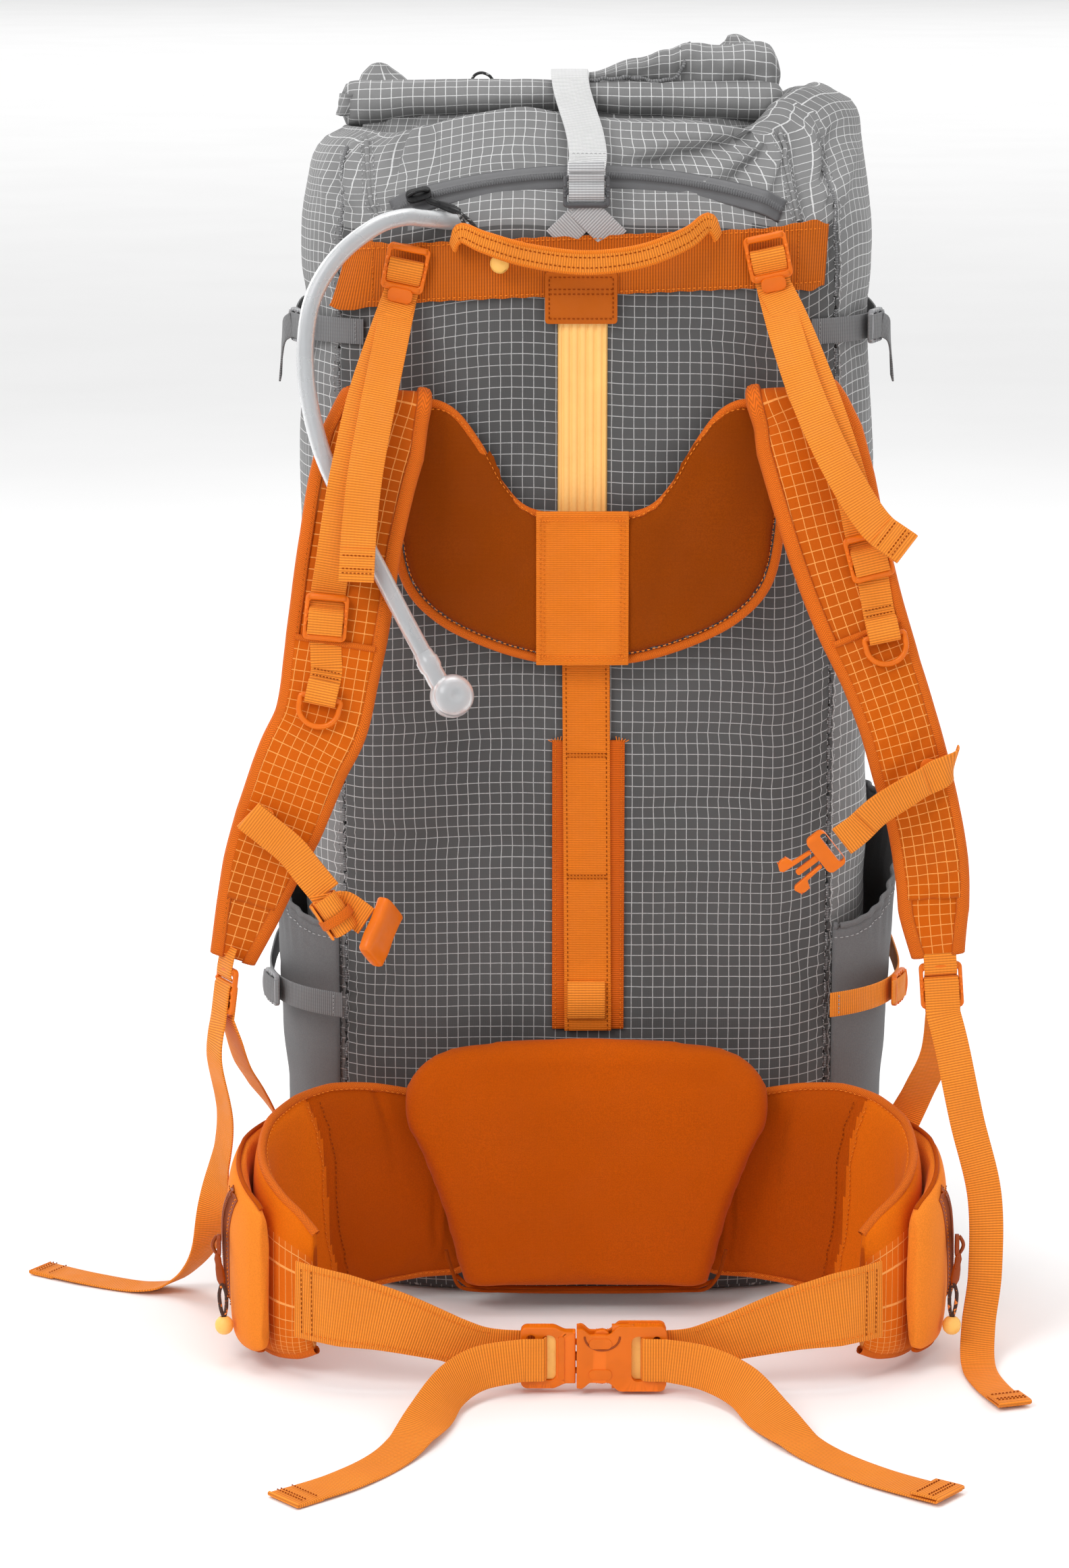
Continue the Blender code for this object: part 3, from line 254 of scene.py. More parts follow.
def clear_plastic(name, tint, roughness):
    """Soft clear tube or silicone, a little milky."""
    made = Shade(name, Transmission_Weight=0.42, IOR=1.43, Coat_Weight=0.30, Coat_Roughness=0.08)
    made.colour(made.varied(tint, 0.03, 30.0))
    made.rough(made.rising(made.noise(70.0, 3.0), 0.3, 0.7, roughness, roughness + 0.10))
    made.bump(made.noise(90.0), 0.0002, 0.3)
    return made.material


def flecked(name, base, fleck):
    """Braided cord with a contrasting fleck in its braid."""
    made = Shade(name, Sheen_Weight=0.2)
    u, v = made.flat()
    braid = made.math("MULTIPLY", made.ridge(made.math("ADD", v, u), 0.0016),
                      made.ridge(made.math("SUBTRACT", v, u), 0.0016))
    spots = made.rising(made.noise(420.0, 1.0), 0.60, 0.66)
    made.colour(made.mix(spots, made.varied(base, 0.2, 200.0), fleck))
    made.rough(0.7)
    made.bump(braid, 0.0002, 0.9)
    return made.material


def zip_tape(name, base):
    """Coated tape: smooth and faintly shiny, with a fine knit showing through."""
    made = Shade(name, Coat_Weight=0.25, Coat_Roughness=0.35)
    u, v = made.flat()
    made.colour(made.varied(base, 0.08, 60.0))
    made.rough(made.rising(made.noise(60.0), 0.3, 0.7, 0.40, 0.55))
    made.bump(made.math("MULTIPLY", made.ridge(u, 0.0009), made.ridge(v, 0.0012)), 0.00006, 0.6)
    return made.material


def ribbed_strip(name, base):
    """The satin plastic of a moulded strip, whose grooves are in its shape."""
    made = Shade(name, Specular_IOR_Level=0.45)
    made.colour(made.varied(base, 0.05, 30.0))
    made.rough(made.rising(made.noise(120.0), 0.3, 0.7, 0.36, 0.50))
    made.bump(made.noise(900.0), 0.00005, 0.4)
    return made.material


def metal(name, base, roughness):
    """Drawn metal with a fine, even grain."""
    made = Shade(name, Metallic=1.0)
    made.colour(made.varied(base, 0.06, 40.0))
    made.rough(made.rising(made.noise(300.0), 0.3, 0.7, roughness - 0.05, roughness + 0.1))
    made.bump(made.noise(600.0), 0.00004, 0.4)
    return made.material


LOOKS = {
    "back_cloth": (grid_cloth, srgb(84, 84, 84), srgb(176, 176, 176), 0.00056),
    "side_cloth": (grid_cloth, srgb(122, 122, 122), srgb(206, 206, 206), 0.00058),
    "strap_cloth": (grid_cloth, srgb(196, 88, 0), srgb(246, 160, 80), 0.00060),
    "pocket_cloth": (grid_cloth, srgb(222, 106, 12), srgb(250, 172, 92), 0.00060),
    "stretch": (plain_cloth, srgb(112, 112, 113), 0.0009, 0.00010, 0.04, 0.06),
    "webbing": (ribbed, srgb(246, 142, 44), 0.0015, 0.64),
    "band_along": (ribbed, srgb(206, 101, 10), 0.0016, 0.55, False, 0.00022),
    "torso": (ribbed, srgb(238, 126, 26), 0.0011, 0.74),
    "backing": (ribbed, srgb(214, 96, 8), 0.0013, 0.70),
    "grey_webbing": (ribbed, srgb(211, 211, 211), 0.0014, 0.70, False, 0.00034),
    "dark_webbing": (ribbed, srgb(128, 128, 129), 0.0015, 0.60),
    "mid_webbing": (ribbed, srgb(190, 190, 191), 0.0015, 0.60),
    "binding": (herringbone, srgb(226, 108, 20)),
    "lining": (plain_cloth, srgb(142, 62, 1), 0.0009, 0.00016, 0.06, 0.12),
    "lumbar": (plain_cloth, srgb(190, 82, 2), 0.0010, 0.00016, 0.05, 0.07),
    "wing_inner": (plain_cloth, srgb(180, 76, 1), 0.0008, 0.00012, 0.05, 0.07),
    "wing_band": (plain_cloth, srgb(222, 106, 8), 0.0008, 0.00010, 0.04, 0.05),
    "pouch": (plain_cloth, srgb(240, 134, 42), 0.0007, 0.00008, 0.05, 0.05),
    "orange_plastic": (moulded, srgb(220, 106, 6)),
    "grey_plastic": (moulded, srgb(78, 78, 80)),
    "light_grey_plastic": (moulded, srgb(140, 140, 142)),
    "black_plastic": (moulded, srgb(26, 26, 27), 0.28),
    "dark_orange_plastic": (moulded, srgb(146, 62, 6), 0.32),
    "bead": (moulded, srgb(255, 198, 104), 0.30),
    "strip": (ribbed_strip, srgb(255, 196, 114)),
    "zip_tape": (zip_tape, srgb(84, 84, 86)),
    "orange_zip": (zip_tape, srgb(150, 64, 4)),
    "dark_cord": (flecked, srgb(24, 24, 25), srgb(150, 150, 150)),
    "orange_cord": (flecked, srgb(60, 24, 4), srgb(236, 130, 40)),
    "thread_orange": (plain_cloth, srgb(238, 132, 40), 0.0004, 0.00005),
    "thread_dark": (plain_cloth, srgb(150, 64, 4), 0.0004, 0.00005),
    "thread_grey": (plain_cloth, srgb(176, 176, 177), 0.0004, 0.00005),
    "tube": (clear_plastic, srgb(196, 198, 200), 0.24),
    "valve": (clear_plastic, srgb(204, 205, 207), 0.28),
    "frame_sheet": (moulded, srgb(222, 222, 218), 0.4),
    "aluminium": (metal, srgb(205, 206, 208), 0.32),
}
MATERIALS = {name: kind(name, *facts) for name, (kind, *facts) in LOOKS.items()}


# ----------------------------------------------------------------- helpers
def ease(low, high, value):
    """0 below low, 1 above high, and a smooth rise between them."""
    t = min(max((value - low) / (high - low), 0.0), 1.0)
    return t * t * (3 - 2 * t)


def smooth_path(points, count):
    """Evenly spaced points on a smooth curve through the given ones."""
    points = [Vector(p) for p in points]
    fine = []
    for k in range(len(points) - 1):
        before = points[max(k - 1, 0)]
        start, end = points[k], points[k + 1]
        after = points[min(k + 2, len(points) - 1)]
        for step in range(16):
            t = step / 16
            b = end - before
            c = 2 * before - 5 * start + 4 * end - after
            d = 3 * start - before - 3 * end + after
            fine.append((2 * start + b * t + c * t * t + d * t ** 3) / 2)
    fine.append(points[-1])
    return even(fine, count)


def even(fine, count):
    """Points at equal distances along a line."""
    lengths = [0.0]
    for p, q in zip(fine, fine[1:]):
        lengths.append(lengths[-1] + (q - p).length)
    path, k = [], 0
    for step in range(count):
        want = lengths[-1] * step / (count - 1)
        while k < len(lengths) - 2 and lengths[k + 1] < want:
            k += 1
        share = (want - lengths[k]) / max(lengths[k + 1] - lengths[k], 1e-9)
        path.append(fine[k].lerp(fine[k + 1], min(share, 1.0)))
    return path


def spread(values, share):
    """A value read between evenly spread ones. A single number stays itself."""
    if not isinstance(values, (list, tuple)):
        return values
    at = share * (len(values) - 1)
    k = min(int(at), len(values) - 2)
    return values[k] + (values[k + 1] - values[k]) * (at - k)


def fade(vectors, count):
    """Turns a few directions into count of them, evenly changing."""
    vectors = [Vector(v) for v in vectors]
    if len(vectors) == 1:
        return vectors * count
    made = []
    for k in range(count):
        at = (len(vectors) - 1) * k / (count - 1)
        low = min(int(at), len(vectors) - 2)
        made.append(vectors[low].lerp(vectors[low + 1], at - low))
    return made


def frame_at(location, turn=0.0, lean=0.0, swing=0.0):
    """Hardware's own space: X across the webbing, Z along it, -Y outward."""
    return (
        Matrix.Translation(location)
        @ Matrix.Rotation(swing, 4, "Z")
        @ Matrix.Rotation(lean, 4, "X")
        @ Matrix.Rotation(turn, 4, "Y")
    )


def laced(matrix, shape):
    """World points of webbing in a lock, from (y, z) pairs in its own space."""
    return [matrix @ Vector((0, y, z)) for y, z in shape]


def assigned(piece, body=None, slot=None, stands_for=()):
    """The piece, hung on its body and in place of its CAD nodes. Its slot is not used."""
    if body:
        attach(piece, body)
    if stands_for:
        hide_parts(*stands_for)
    return piece


def add(name, mesh, materials, body=None, slot=None, stands_for=(), matrix=None, smooth=True):
    """A finished piece in the scene, riding on its body."""
    piece = bpy.data.objects.new(name, mesh)
    scene.collection.objects.link(piece)
    if matrix is not None:
        piece.matrix_world = matrix
    names = [materials] if isinstance(materials, str) else materials
    for material in names:
        mesh.materials.append(MATERIALS[material])
    if smooth:
        mesh.shade_smooth()
    return assigned(piece, body, slot, stands_for)


def mesh_of(name, build):
    """A mesh made by a function that fills a bmesh, which may set its UVs."""
    work = bmesh.new()
    build(work)
    mesh = bpy.data.meshes.new(name)
    work.to_mesh(mesh)
    work.free()
    return mesh


def lattice(work, rows, closed=False, uv=None, material=None):
    """Faces between rows of points. uv gives each point's place on the cloth."""
    layer = work.loops.layers.uv.verify()
    verts = [[work.verts.new(p) for p in row] for row in rows]
    count = len(rows[0])
    faces = []
    for r in range(len(rows) - 1):
        for c in range(count if closed else count - 1):
            d = (c + 1) % count
            face = work.faces.new((verts[r][c], verts[r][d], verts[r + 1][d], verts[r + 1][c]))
            corners = ((r, c), (r, c + 1), (r + 1, c + 1), (r + 1, c))
            if uv:
                for loop, (i, j) in zip(face.loops, corners):
                    loop[layer].uv = uv(i, j, r, c)
            if material:
                face.material_index = material(r, c)
            faces.append(face)
    return verts, faces


def bake(piece):
    """Applies every modifier, so that none is left on the piece."""
    bpy.context.view_layer.update()
    graph = bpy.context.evaluated_depsgraph_get()
    mesh = bpy.data.meshes.new_from_object(piece.evaluated_get(graph))
    piece.modifiers.clear()
    piece.data = mesh
    return piece


def thicken(piece, thickness, offset=0.0, round_edge=0.0, even=False):
    """Gives a sheet its thickness and, if wanted, soft edges."""
    shell = piece.modifiers.new("thickness", "SOLIDIFY")
    shell.thickness = thickness
    shell.offset = offset
    shell.use_even_offset = even
    if round_edge:
        bevel = piece.modifiers.new("edge", "BEVEL")
        bevel.width = round_edge
        bevel.segments = 2
        bevel.limit_method = "ANGLE"
        bevel.angle_limit = math.radians(50)
        bevel.harden_normals = False
    return bake(piece)


def capped_lattice(work, rows, uv=None, material=None, outward=False):
    """Rings of points with a face over both ends."""
    verts, _ = lattice(work, rows, True, uv, material)
    work.faces.new(list(reversed(verts[0])))
    work.faces.new(verts[-1])
    if outward:
        bmesh.ops.recalc_face_normals(work, faces=work.faces)


def ribbon(name, path, width, across, material, body=None, stands_for=(),
           thickness=WEBBING, columns=6, crown=0.0):
    """Flat webbing along a path, its width along the across direction."""
    if isinstance(across[0], (int, float)):
        across = [across]
    across = fade(across, len(path)) if len(across) != len(path) else across
    rows, runs, halves, run = [], [], [], 0.0
    for k, point in enumerate(path):
        ahead = path[min(k + 1, len(path) - 1)] - path[max(k - 1, 0)]
        side = Vector(across[k])
        side = (side - ahead * side.dot(ahead) / ahead.length_squared).normalized()
        normal = ahead.normalized().cross(side)
        half = spread(width, k / (len(path) - 1)) / 2
        run += (point - path[k - 1]).length if k else 0.0
        wave = crown * noise.noise(point * 55.0)
        rows.append([
            point + side * half * t + normal * (wave * (1 - t * t))
            for t in (2 * c / columns - 1 for c in range(columns + 1))
        ])
        runs.append(run)
        halves.append(half)

    def place_on(i, j, r, c):
        return ((2 * j / columns - 1) * halves[i], runs[i])
    mesh = mesh_of(name, lambda work: lattice(work, rows, uv=place_on))
    piece = add(name, mesh, material)
    thicken(piece, thickness, 0.0, thickness * 0.32)
    piece.data.shade_smooth()
    piece.data.set_sharp_from_angle(angle=math.radians(60))
    if body:
        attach(piece, body)
    if stands_for:
        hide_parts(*stands_for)
    return piece


def tube_rows(path, radius, sides=12, squash=1.0, up=(0, 0, 1)):
    """Rings round a path, with their distance along it."""
    rows, runs, run = [], [], 0.0
    for k, point in enumerate(path):
        ahead = (path[min(k + 1, len(path) - 1)] - path[max(k - 1, 0)]).normalized()
        side = ahead.cross(Vector(up))
        if side.length < 1e-4:
            side = ahead.cross(Vector((1, 0, 0)))
        side.normalize()
        lift = side.cross(ahead)
        wide = spread(radius, k / (len(path) - 1))
        run += (point - path[k - 1]).length if k else 0.0
        rows.append([
            point + side * wide * math.cos(a) + lift * wide * squash * math.sin(a)
            for a in (2 * math.pi * c / sides for c in range(sides))
        ])
        runs.append(run)
    return rows, runs


def tube(name, path, radius, material, sides=12, squash=1.0, up=(0, 0, 1), capped=True, **facts):
    """A round or flattened bar along a path."""
    rows, runs = tube_rows(path, radius, sides, squash, up)
    girth = 2 * math.pi * spread(radius, 0.5)

    def build(work):
        verts, _ = lattice(work, rows, True, lambda i, j, r, c: (girth * j / sides, runs[i]))
        if capped:
            work.faces.new(list(reversed(verts[0])))
            work.faces.new(verts[-1])
    piece = add(name, mesh_of(name, build), material, **facts)
    piece.data.set_sharp_from_angle(angle=math.radians(50))
    return piece


def stitches(name, line, outward, material, pitch=STITCH, radius=0.00032, lift=0.00025, **facts):
    """A row of thread stitches standing on a surface along a line."""
    length = sum((q - p).length for p, q in zip(line, line[1:]))
    marks = even(line, max(int(length / pitch), 2) * 2)
    facing = fade(outward, len(marks)) if isinstance(outward, list) else [Vector(outward)] * len(marks)

    def build(work):
        for k in range(0, len(marks) - 1, 2):
            start, end = marks[k], marks[k + 1]
            rise = facing[k].normalized() * lift
            path = [
                start - rise * 0.8, start.lerp(end, 0.25) + rise, start.lerp(end, 0.75) + rise,
                end - rise * 0.8
            ]
            rows, _ = tube_rows(path, [radius * 0.7, radius, radius, radius * 0.7], 5)
            lattice(work, rows, True)
    return add(name, mesh_of(name, build), material, **facts)


def joined(name, pieces, body=None, slot=None, stands_for=()):
    """Several pieces as one object, keeping their materials."""
    for piece in pieces:
        world = piece.matrix_world.copy()
        piece.parent = None
        piece.data.transform(world)
        piece.matrix_world = Matrix()
    with bpy.context.temp_override(
        active_object=pieces[0], selected_editable_objects=pieces, selected_objects=pieces
    ):
        bpy.ops.object.join()
    piece = pieces[0]
    piece.name = name
    return assigned(piece, body, slot, stands_for)


def simulate(piece, pressure, cap, pinned=None, frames=20, bending=0.6, outward_cap=None):
    """Inflates a piece as cloth, then keeps the shape it reached."""
    rest = [v.co.copy() for v in piece.data.vertices]
    normals = [v.normal.copy() for v in piece.data.vertices]
    cloth = piece.modifiers.new("cloth", "CLOTH")
    settings = cloth.settings
    settings.quality = 4
    settings.mass = 0.15
    settings.use_pressure = True
    settings.uniform_pressure_force = pressure
    settings.effector_weights.gravity = 0
    settings.tension_stiffness = 15
    settings.compression_stiffness = 15
    settings.shear_stiffness = 5
    settings.bending_stiffness = bending
    settings.shrink_min = 0.0
    if pinned:
        group = piece.vertex_groups.new(name="pinned")
        for index, weight in pinned:
            group.add([index], weight, "REPLACE")
        settings.vertex_group_mass = "pinned"
    cloth.collision_settings.use_collision = False
    cloth.point_cache.frame_start = 1
    cloth.point_cache.frame_end = frames
    for step in range(1, frames + 1):
        scene.frame_set(step)
    graph = bpy.context.evaluated_depsgraph_get()
    settled = piece.evaluated_get(graph).to_mesh()
    made = [v.co.copy() for v in settled.vertices]
    piece.evaluated_get(graph).to_mesh_clear()
    piece.modifiers.remove(cloth)
    for index, vert in enumerate(piece.data.vertices):
        moved = made[index] - rest[index]
        if moved.length > cap:
            moved *= cap / moved.length
        if outward_cap:
            most = outward_cap(rest[index])
            out = moved.dot(normals[index])
            if out > most:
                moved -= normals[index] * (out - most)
        vert.co = rest[index] + moved
    scene.frame_set(1)
    piece.data.update()
    return piece


def smoothed(piece, rounds):
    """Softens small steps in a mesh."""
    soft = piece.modifiers.new("soft", "SMOOTH")
    soft.factor = 0.5
    soft.iterations = rounds
    return bake(piece)


def subdivided(piece, levels=1):
    """One finer level of smooth surface."""
    finer = piece.modifiers.new("finer", "SUBSURF")
    finer.levels = levels
    finer.render_levels = levels
    return bake(piece)


# ------------------------------------------------------- camera and light
CAMERA_AT = (-0.031, -2.615, 0.85)
CAMERA_TILT = math.radians(78)
LENS_MM, SENSOR_MM = 98.75, 36
LAMP_AIM, BACKDROP_AIM = Vector((0, 0, 0.35)), Vector((0, 16.0, 0))
# Each lamp's name, place, size in metres and power in watts
LAMPS = (
    ("key", (-1.7, -2.2, 2.4), 1.4, 40), ("fill", (2.1, -2.3, 1.5), 2.2, 9),
    ("top", (0.0, -0.1, 2.8), 1.6, 22), ("rear_left", (-2.2, 1.9, 1.6), 1.8, 24),
    ("rear_right", (2.0, 2.2, 1.8), 1.8, 20), ("backdrop", (0.0, 16.0, 8.0), 18.0, 640),
)
WORLD_LIGHT = 0.72
FLOOR_SIZE, FLOOR_GREY, FLOOR_GAP = 30, 0.93, 0.0002


def make_stage():
    """The camera, the soft studio light and the pale floor."""
    data = bpy.data.cameras.new("camera")
    data.sensor_width = SENSOR_MM
    data.lens = LENS_MM
    data.clip_end = 200
    camera = bpy.data.objects.new("camera", data)
    scene.collection.objects.link(camera)
    camera.location = CAMERA_AT
    camera.rotation_euler = (CAMERA_TILT, 0, 0)
    scene.camera = camera
    for name, location, size, power in LAMPS:
        data = bpy.data.lights.new(name, "AREA")
        data.size = size
        data.energy = power
        lamp = bpy.data.objects.new(name, data)
        scene.collection.objects.link(lamp)
        lamp.location = location
        aim = (BACKDROP_AIM if name == "backdrop" else LAMP_AIM) - Vector(location)
        lamp.rotation_euler = aim.to_track_quat("-Z", "Y").to_euler()
    world = bpy.data.worlds.new("studio")
    world.use_nodes = True
    world.node_tree.nodes["Background"].inputs[0].default_value = (1, 1, 1, 1)
    world.node_tree.nodes["Background"].inputs[1].default_value = WORLD_LIGHT
    scene.world = world
    scene.view_settings.view_transform = "Standard"
    made = Shade("floor_paper", Specular_IOR_Level=0.1)
    made.colour(made.varied((FLOOR_GREY, FLOOR_GREY, FLOOR_GREY, 1), 0.01, 2.0))
    made.rough(0.9)
    MATERIALS["floor_paper"] = made.material

    def plate(work):
        bmesh.ops.create_grid(work, x_segments=4, y_segments=4, size=FLOOR_SIZE)
    floor = add("floor", mesh_of("floor", plate), "floor_paper")
    floor.location.z = -FLOOR_GAP


# ------------------------------------------------------------- drinking hose
HOSE_ROUTE = [
    (-0.0965, -0.1215, 0.6535), (-0.1060, -0.1280, 0.6545), (-0.1220, -0.1365, 0.6500),
    (-0.1430, -0.1450, 0.6340), (-0.1570, -0.1500, 0.6120), (-0.1620, -0.1550, 0.5850),
    (-0.1605, -0.1605, 0.5560), (-0.1540, -0.1660, 0.5280), (-0.1440, -0.1735, 0.5040),
    (-0.1325, -0.1810, 0.4820), (-0.1200, -0.1890, 0.4600), (-0.1060, -0.1965, 0.4340),
    (-0.0930, -0.2000, 0.4100),
]


def make_hose():
    """The clear hose, its elbow and the round bite valve."""
    inside = [(-0.0750, -0.1070, 0.6500)]
    path = smooth_path(inside + HOSE_ROUTE, 72)
    hose = tube("drinking_hose", path, HOSE_DIAMETER / 2, "tube", 20, body="root",
                slot="clear_tube", stands_for=("hydration_hose",))
    end = path[-1]
    along = (path[-1] - path[-3]).normalized()
    neck = [end + along * d for d in (-0.004, 0.000, 0.001, 0.006, 0.008, 0.014, 0.020)]
    parts = [tube("neck", neck, [0.0054, 0.0058, 0.0066, 0.0066, 0.0058, 0.0060, 0.0055], "valve", 20)]
    facing = Vector((0.25, -0.92, 0.30)).normalized()
    middle = end + along * 0.0230 + Vector((0.0040, -0.002, -0.001))
    profile = [
        (-0.0105, 0.0040), (-0.0100, 0.0085), (-0.0070, 0.0112), (-0.0045, 0.0120), (-0.0040, 0.0112),
        (-0.0025, 0.0112), (-0.0020, 0.0124), (0.0005, 0.0125), (0.0010, 0.0116), (0.0030, 0.0116),
        (0.0035, 0.0122), (0.0060, 0.0112), (0.0085, 0.0088), (0.0098, 0.0055), (0.0100, 0.0030),
        (0.0090, 0.0018), (0.0088, 0.0002),
    ]
    rings = [middle + facing * d for d, _ in profile]
    rows = []
    side = facing.cross(Vector((0, 0, 1))).normalized()
    lift = side.cross(facing)
    for centre, (_, radius) in zip(rings, profile):
        rows.append([centre + (side * math.cos(a) + lift * math.sin(a)) * radius
                     for a in (2 * math.pi * k / 28 for k in range(28))])
    parts.append(add("face", mesh_of("face", lambda work: lattice(work, rows, True)), "valve"))
    valve = joined("bite_valve_piece", parts, "root", "clear_valve", ("bite_valve",))


# -------------------------------------------------------------------- bag
LOBES = {-1: (0.008, 0.60), 1: (0.031, 0.45)}
SHOULDER = 0.020
COLLAR_FOOT = (0.690, 0.129, 0.0400, 0.0600)
COLLAR_SHIFT = -0.010


def bag_point(angle, z, proud=0.0):
    """A point on the filled bag. The harness side is at -90 degrees."""
    foot = 0.945 + 0.055 * ease(0.0, 0.05, z)
    width = (BAG_HALF_WIDTH * foot - 0.008 * ease(0.62, 0.71, z)) + proud
    front = BAG_HALF_DEPTH * (foot - 0.62 * ease(0.640, 0.725, z)) + proud
    rear = BAG_HALF_DEPTH * (foot - 0.45 * ease(0.600, 0.725, z)) + proud
    c, s = math.cos(angle), math.sin(angle)
    power = 2 / BAG_SQUARENESS
    depth = rear if s > 0 else front
    return Vector((
        width * math.copysign(abs(c) ** power, c),
        depth * math.copysign(abs(s) ** power, s),
        z,
    ))


def bag_front_y(x, z):
    """How far forward the harness side is at this x and z."""
    width = abs(bag_point(0.0, z).x)
    share = min(abs(x) / width, 0.999)
    depth = abs(bag_point(-math.pi / 2, z).y)
    return -depth * (1 - share ** BAG_SQUARENESS) ** (1 / BAG_SQUARENESS)


def collar_ring(angle, z, width, front, rear):
    """A point on one ring of the collar."""
    c, s = math.cos(angle), math.sin(angle)
    return Vector((
        COLLAR_SHIFT + width * math.copysign(abs(c) ** 0.6, c),
        (rear if s > 0 else front) * math.copysign(abs(s) ** 0.6, s),
        z,
    ))


def fold(value, centre, width):
    """A single soft ridge, 1 at its centre and 0 a few widths away."""
    return math.exp(-((value - centre) / width) ** 2)


def crease(point, start, end, width, fade_out=0.2):
    """How near a point is to a crease drawn between two (x, z) places."""
    ax, az = start
    dx, dz = end[0] - ax, end[1] - az
    share = ((point.x - ax) * dx + (point.z - az) * dz) / (dx * dx + dz * dz)
    near = Vector((point.x - ax - dx * share, point.z - az - dz * share)).length
    ends = ease(-fade_out, fade_out, share) * ease(-fade_out, fade_out, 1 - share)
    return math.exp(-(near / width) ** 2) * ends


# Folds of the cloth on the harness side: start, end, width and height, in metres
FRONT_FOLDS = (
    ((0.109, 0.704), (0.014, 0.687), 0.0044, 0.0050), ((0.106, 0.698), (0.030, 0.680), 0.0040, -0.0048),
    ((0.110, 0.698), (0.062, 0.672), 0.0036, 0.0038), ((0.112, 0.694), (0.080, 0.668), 0.0034, -0.0036),
    ((0.114, 0.696), (0.100, 0.664), 0.0034, 0.0034), ((0.080, 0.705), (0.012, 0.712), 0.0040, 0.0034),
    ((0.128, 0.706), (0.140, 0.652), 0.0040, 0.0036), ((0.120, 0.700), (0.131, 0.650), 0.0036, -0.0038),
    ((0.150, 0.700), (0.134, 0.668), 0.0046, -0.0032), ((0.160, 0.690), (0.142, 0.650), 0.0040, 0.0026),
    ((-0.100, 0.702), (-0.106, 0.680), 0.0032, 0.0036), ((-0.094, 0.702), (-0.090, 0.676), 0.0032, -0.0030),
    ((-0.112, 0.700), (-0.116, 0.672), 0.0030, -0.0036), ((-0.142, 0.692), (-0.134, 0.648), 0.0040, 0.0036),
    ((-0.150, 0.690), (-0.147, 0.640), 0.0036, -0.0034), ((-0.158, 0.676), (-0.146, 0.650), 0.0040, 0.0024),
    ((-0.020, 0.700), (-0.075, 0.672), 0.0048, 0.0026), ((-0.060, 0.676), (-0.110, 0.656), 0.0046, -0.0020),
    ((0.010, 0.700), (-0.006, 0.668), 0.0040, -0.0026), ((-0.100, 0.660), (-0.135, 0.652), 0.0040, -0.0018),
)
BACK_FOLDS = (
    ((-0.100, 0.388), (-0.025, 0.380), 0.0050, 0.0014), ((0.030, 0.372), (0.128, 0.384), 0.0050, 0.0014),
    ((-0.120, 0.352), (-0.040, 0.342), 0.0060, -0.0022), ((0.024, 0.346), (0.120, 0.350), 0.0060, -0.0022),
    ((-0.110, 0.318), (-0.020, 0.322), 0.0050, 0.0013), ((0.026, 0.300), (0.110, 0.312), 0.0060, -0.0020),
    ((-0.128, 0.288), (-0.030, 0.280), 0.0060, -0.0020), ((0.040, 0.268), (0.130, 0.262), 0.0050, 0.0012),
    ((-0.090, 0.586), (-0.040, 0.566), 0.0045, 0.0012), ((0.050, 0.590), (0.112, 0.570), 0.0050, -0.0018),
    ((-0.130, 0.470), (-0.124, 0.400), 0.0050, -0.0018), ((0.128, 0.480), (0.132, 0.400), 0.0050, -0.0018),
    ((0.138, 0.598), (0.150, 0.540), 0.0045, 0.0014), ((-0.140, 0.585), (-0.152, 0.530), 0.0045, 0.0014),
    ((-0.135, 0.240), (-0.118, 0.190), 0.0050, -0.0020), ((0.120, 0.236), (0.140, 0.190), 0.0050, -0.0020),
)


def wall_shift(point, angle, z):
    """How far the cloth stands out from the bag's plain form, in metres."""
    side = math.cos(angle)
    flank = ease(0.72, 0.93, abs(side))
    rear = ease(0.35, 0.75, math.sin(angle))
    front = ease(0.35, 0.8, -math.sin(angle))
    slow = noise.noise(Vector((point.x * 9, point.y * 11, z * 8 + 3.0)))
    quick = noise.noise(Vector((point.x * 30 + 7, point.y * 30, z * 24)))
    shift = 0.0016 * slow * (1 - front) + 0.0007 * quick
    # Compression straps draw the flanks in, and the load fills them between
    for height, pull in ((0.586, 0.0042), (0.184, 0.0026)):
        shift -= flank * pull * fold(z, height, 0.026)
    shift += flank * 0.0008 * (fold(z, 0.47, 0.075) + 0.8 * fold(z, 0.31, 0.07))
    lean = z + 0.10 * math.copysign(1, side) * point.y
    shift += flank * 0.0017 * noise.noise(Vector((point.y * 10, lean * 34, 2.2 * side)))
    shift += rear * 0.0075 * (fold(z, 0.36, 0.24)) + rear * 0.0020 * noise.noise(
        Vector((point.x * 7, z * 26, 4))
    )
    for start, end, width, height in BACK_FOLDS:
        shift += front * height * crease(point, start, end, width) * ease(0.66, 0.63, z)
    for start, end, width, height in FRONT_FOLDS:
        shift += (front + 0.6 * flank) * 1.7 * height * crease(
            point, start, end, width
        ) * ease(0.640, 0.660, z)
    # Puckers beside the seams
    gap = min(
        abs(math.remainder(abs(angle) - SEAM_ANGLE, math.pi)),
        abs(math.remainder(abs(angle) - math.pi + SEAM_ANGLE, math.pi))
    )
    pucker = fold(gap, 0.05, 0.045)
    shift += pucker * 0.0011 * math.sin(z * 620 + 3 * slow) * ease(0.02, 0.08, z)
    shift -= 0.0022 * fold(gap, 0.0, 0.012)
    return shift


def side_lobe(angle):
    """How much higher than the collar's foot the bag's top corners stand."""
    side = math.cos(angle)
    height, start = LOBES[1 if side > 0 else -1]
    bump = ease(start, 0.92, abs(side))
    return height * bump * (1 - 0.25 * max(math.sin(angle), 0))


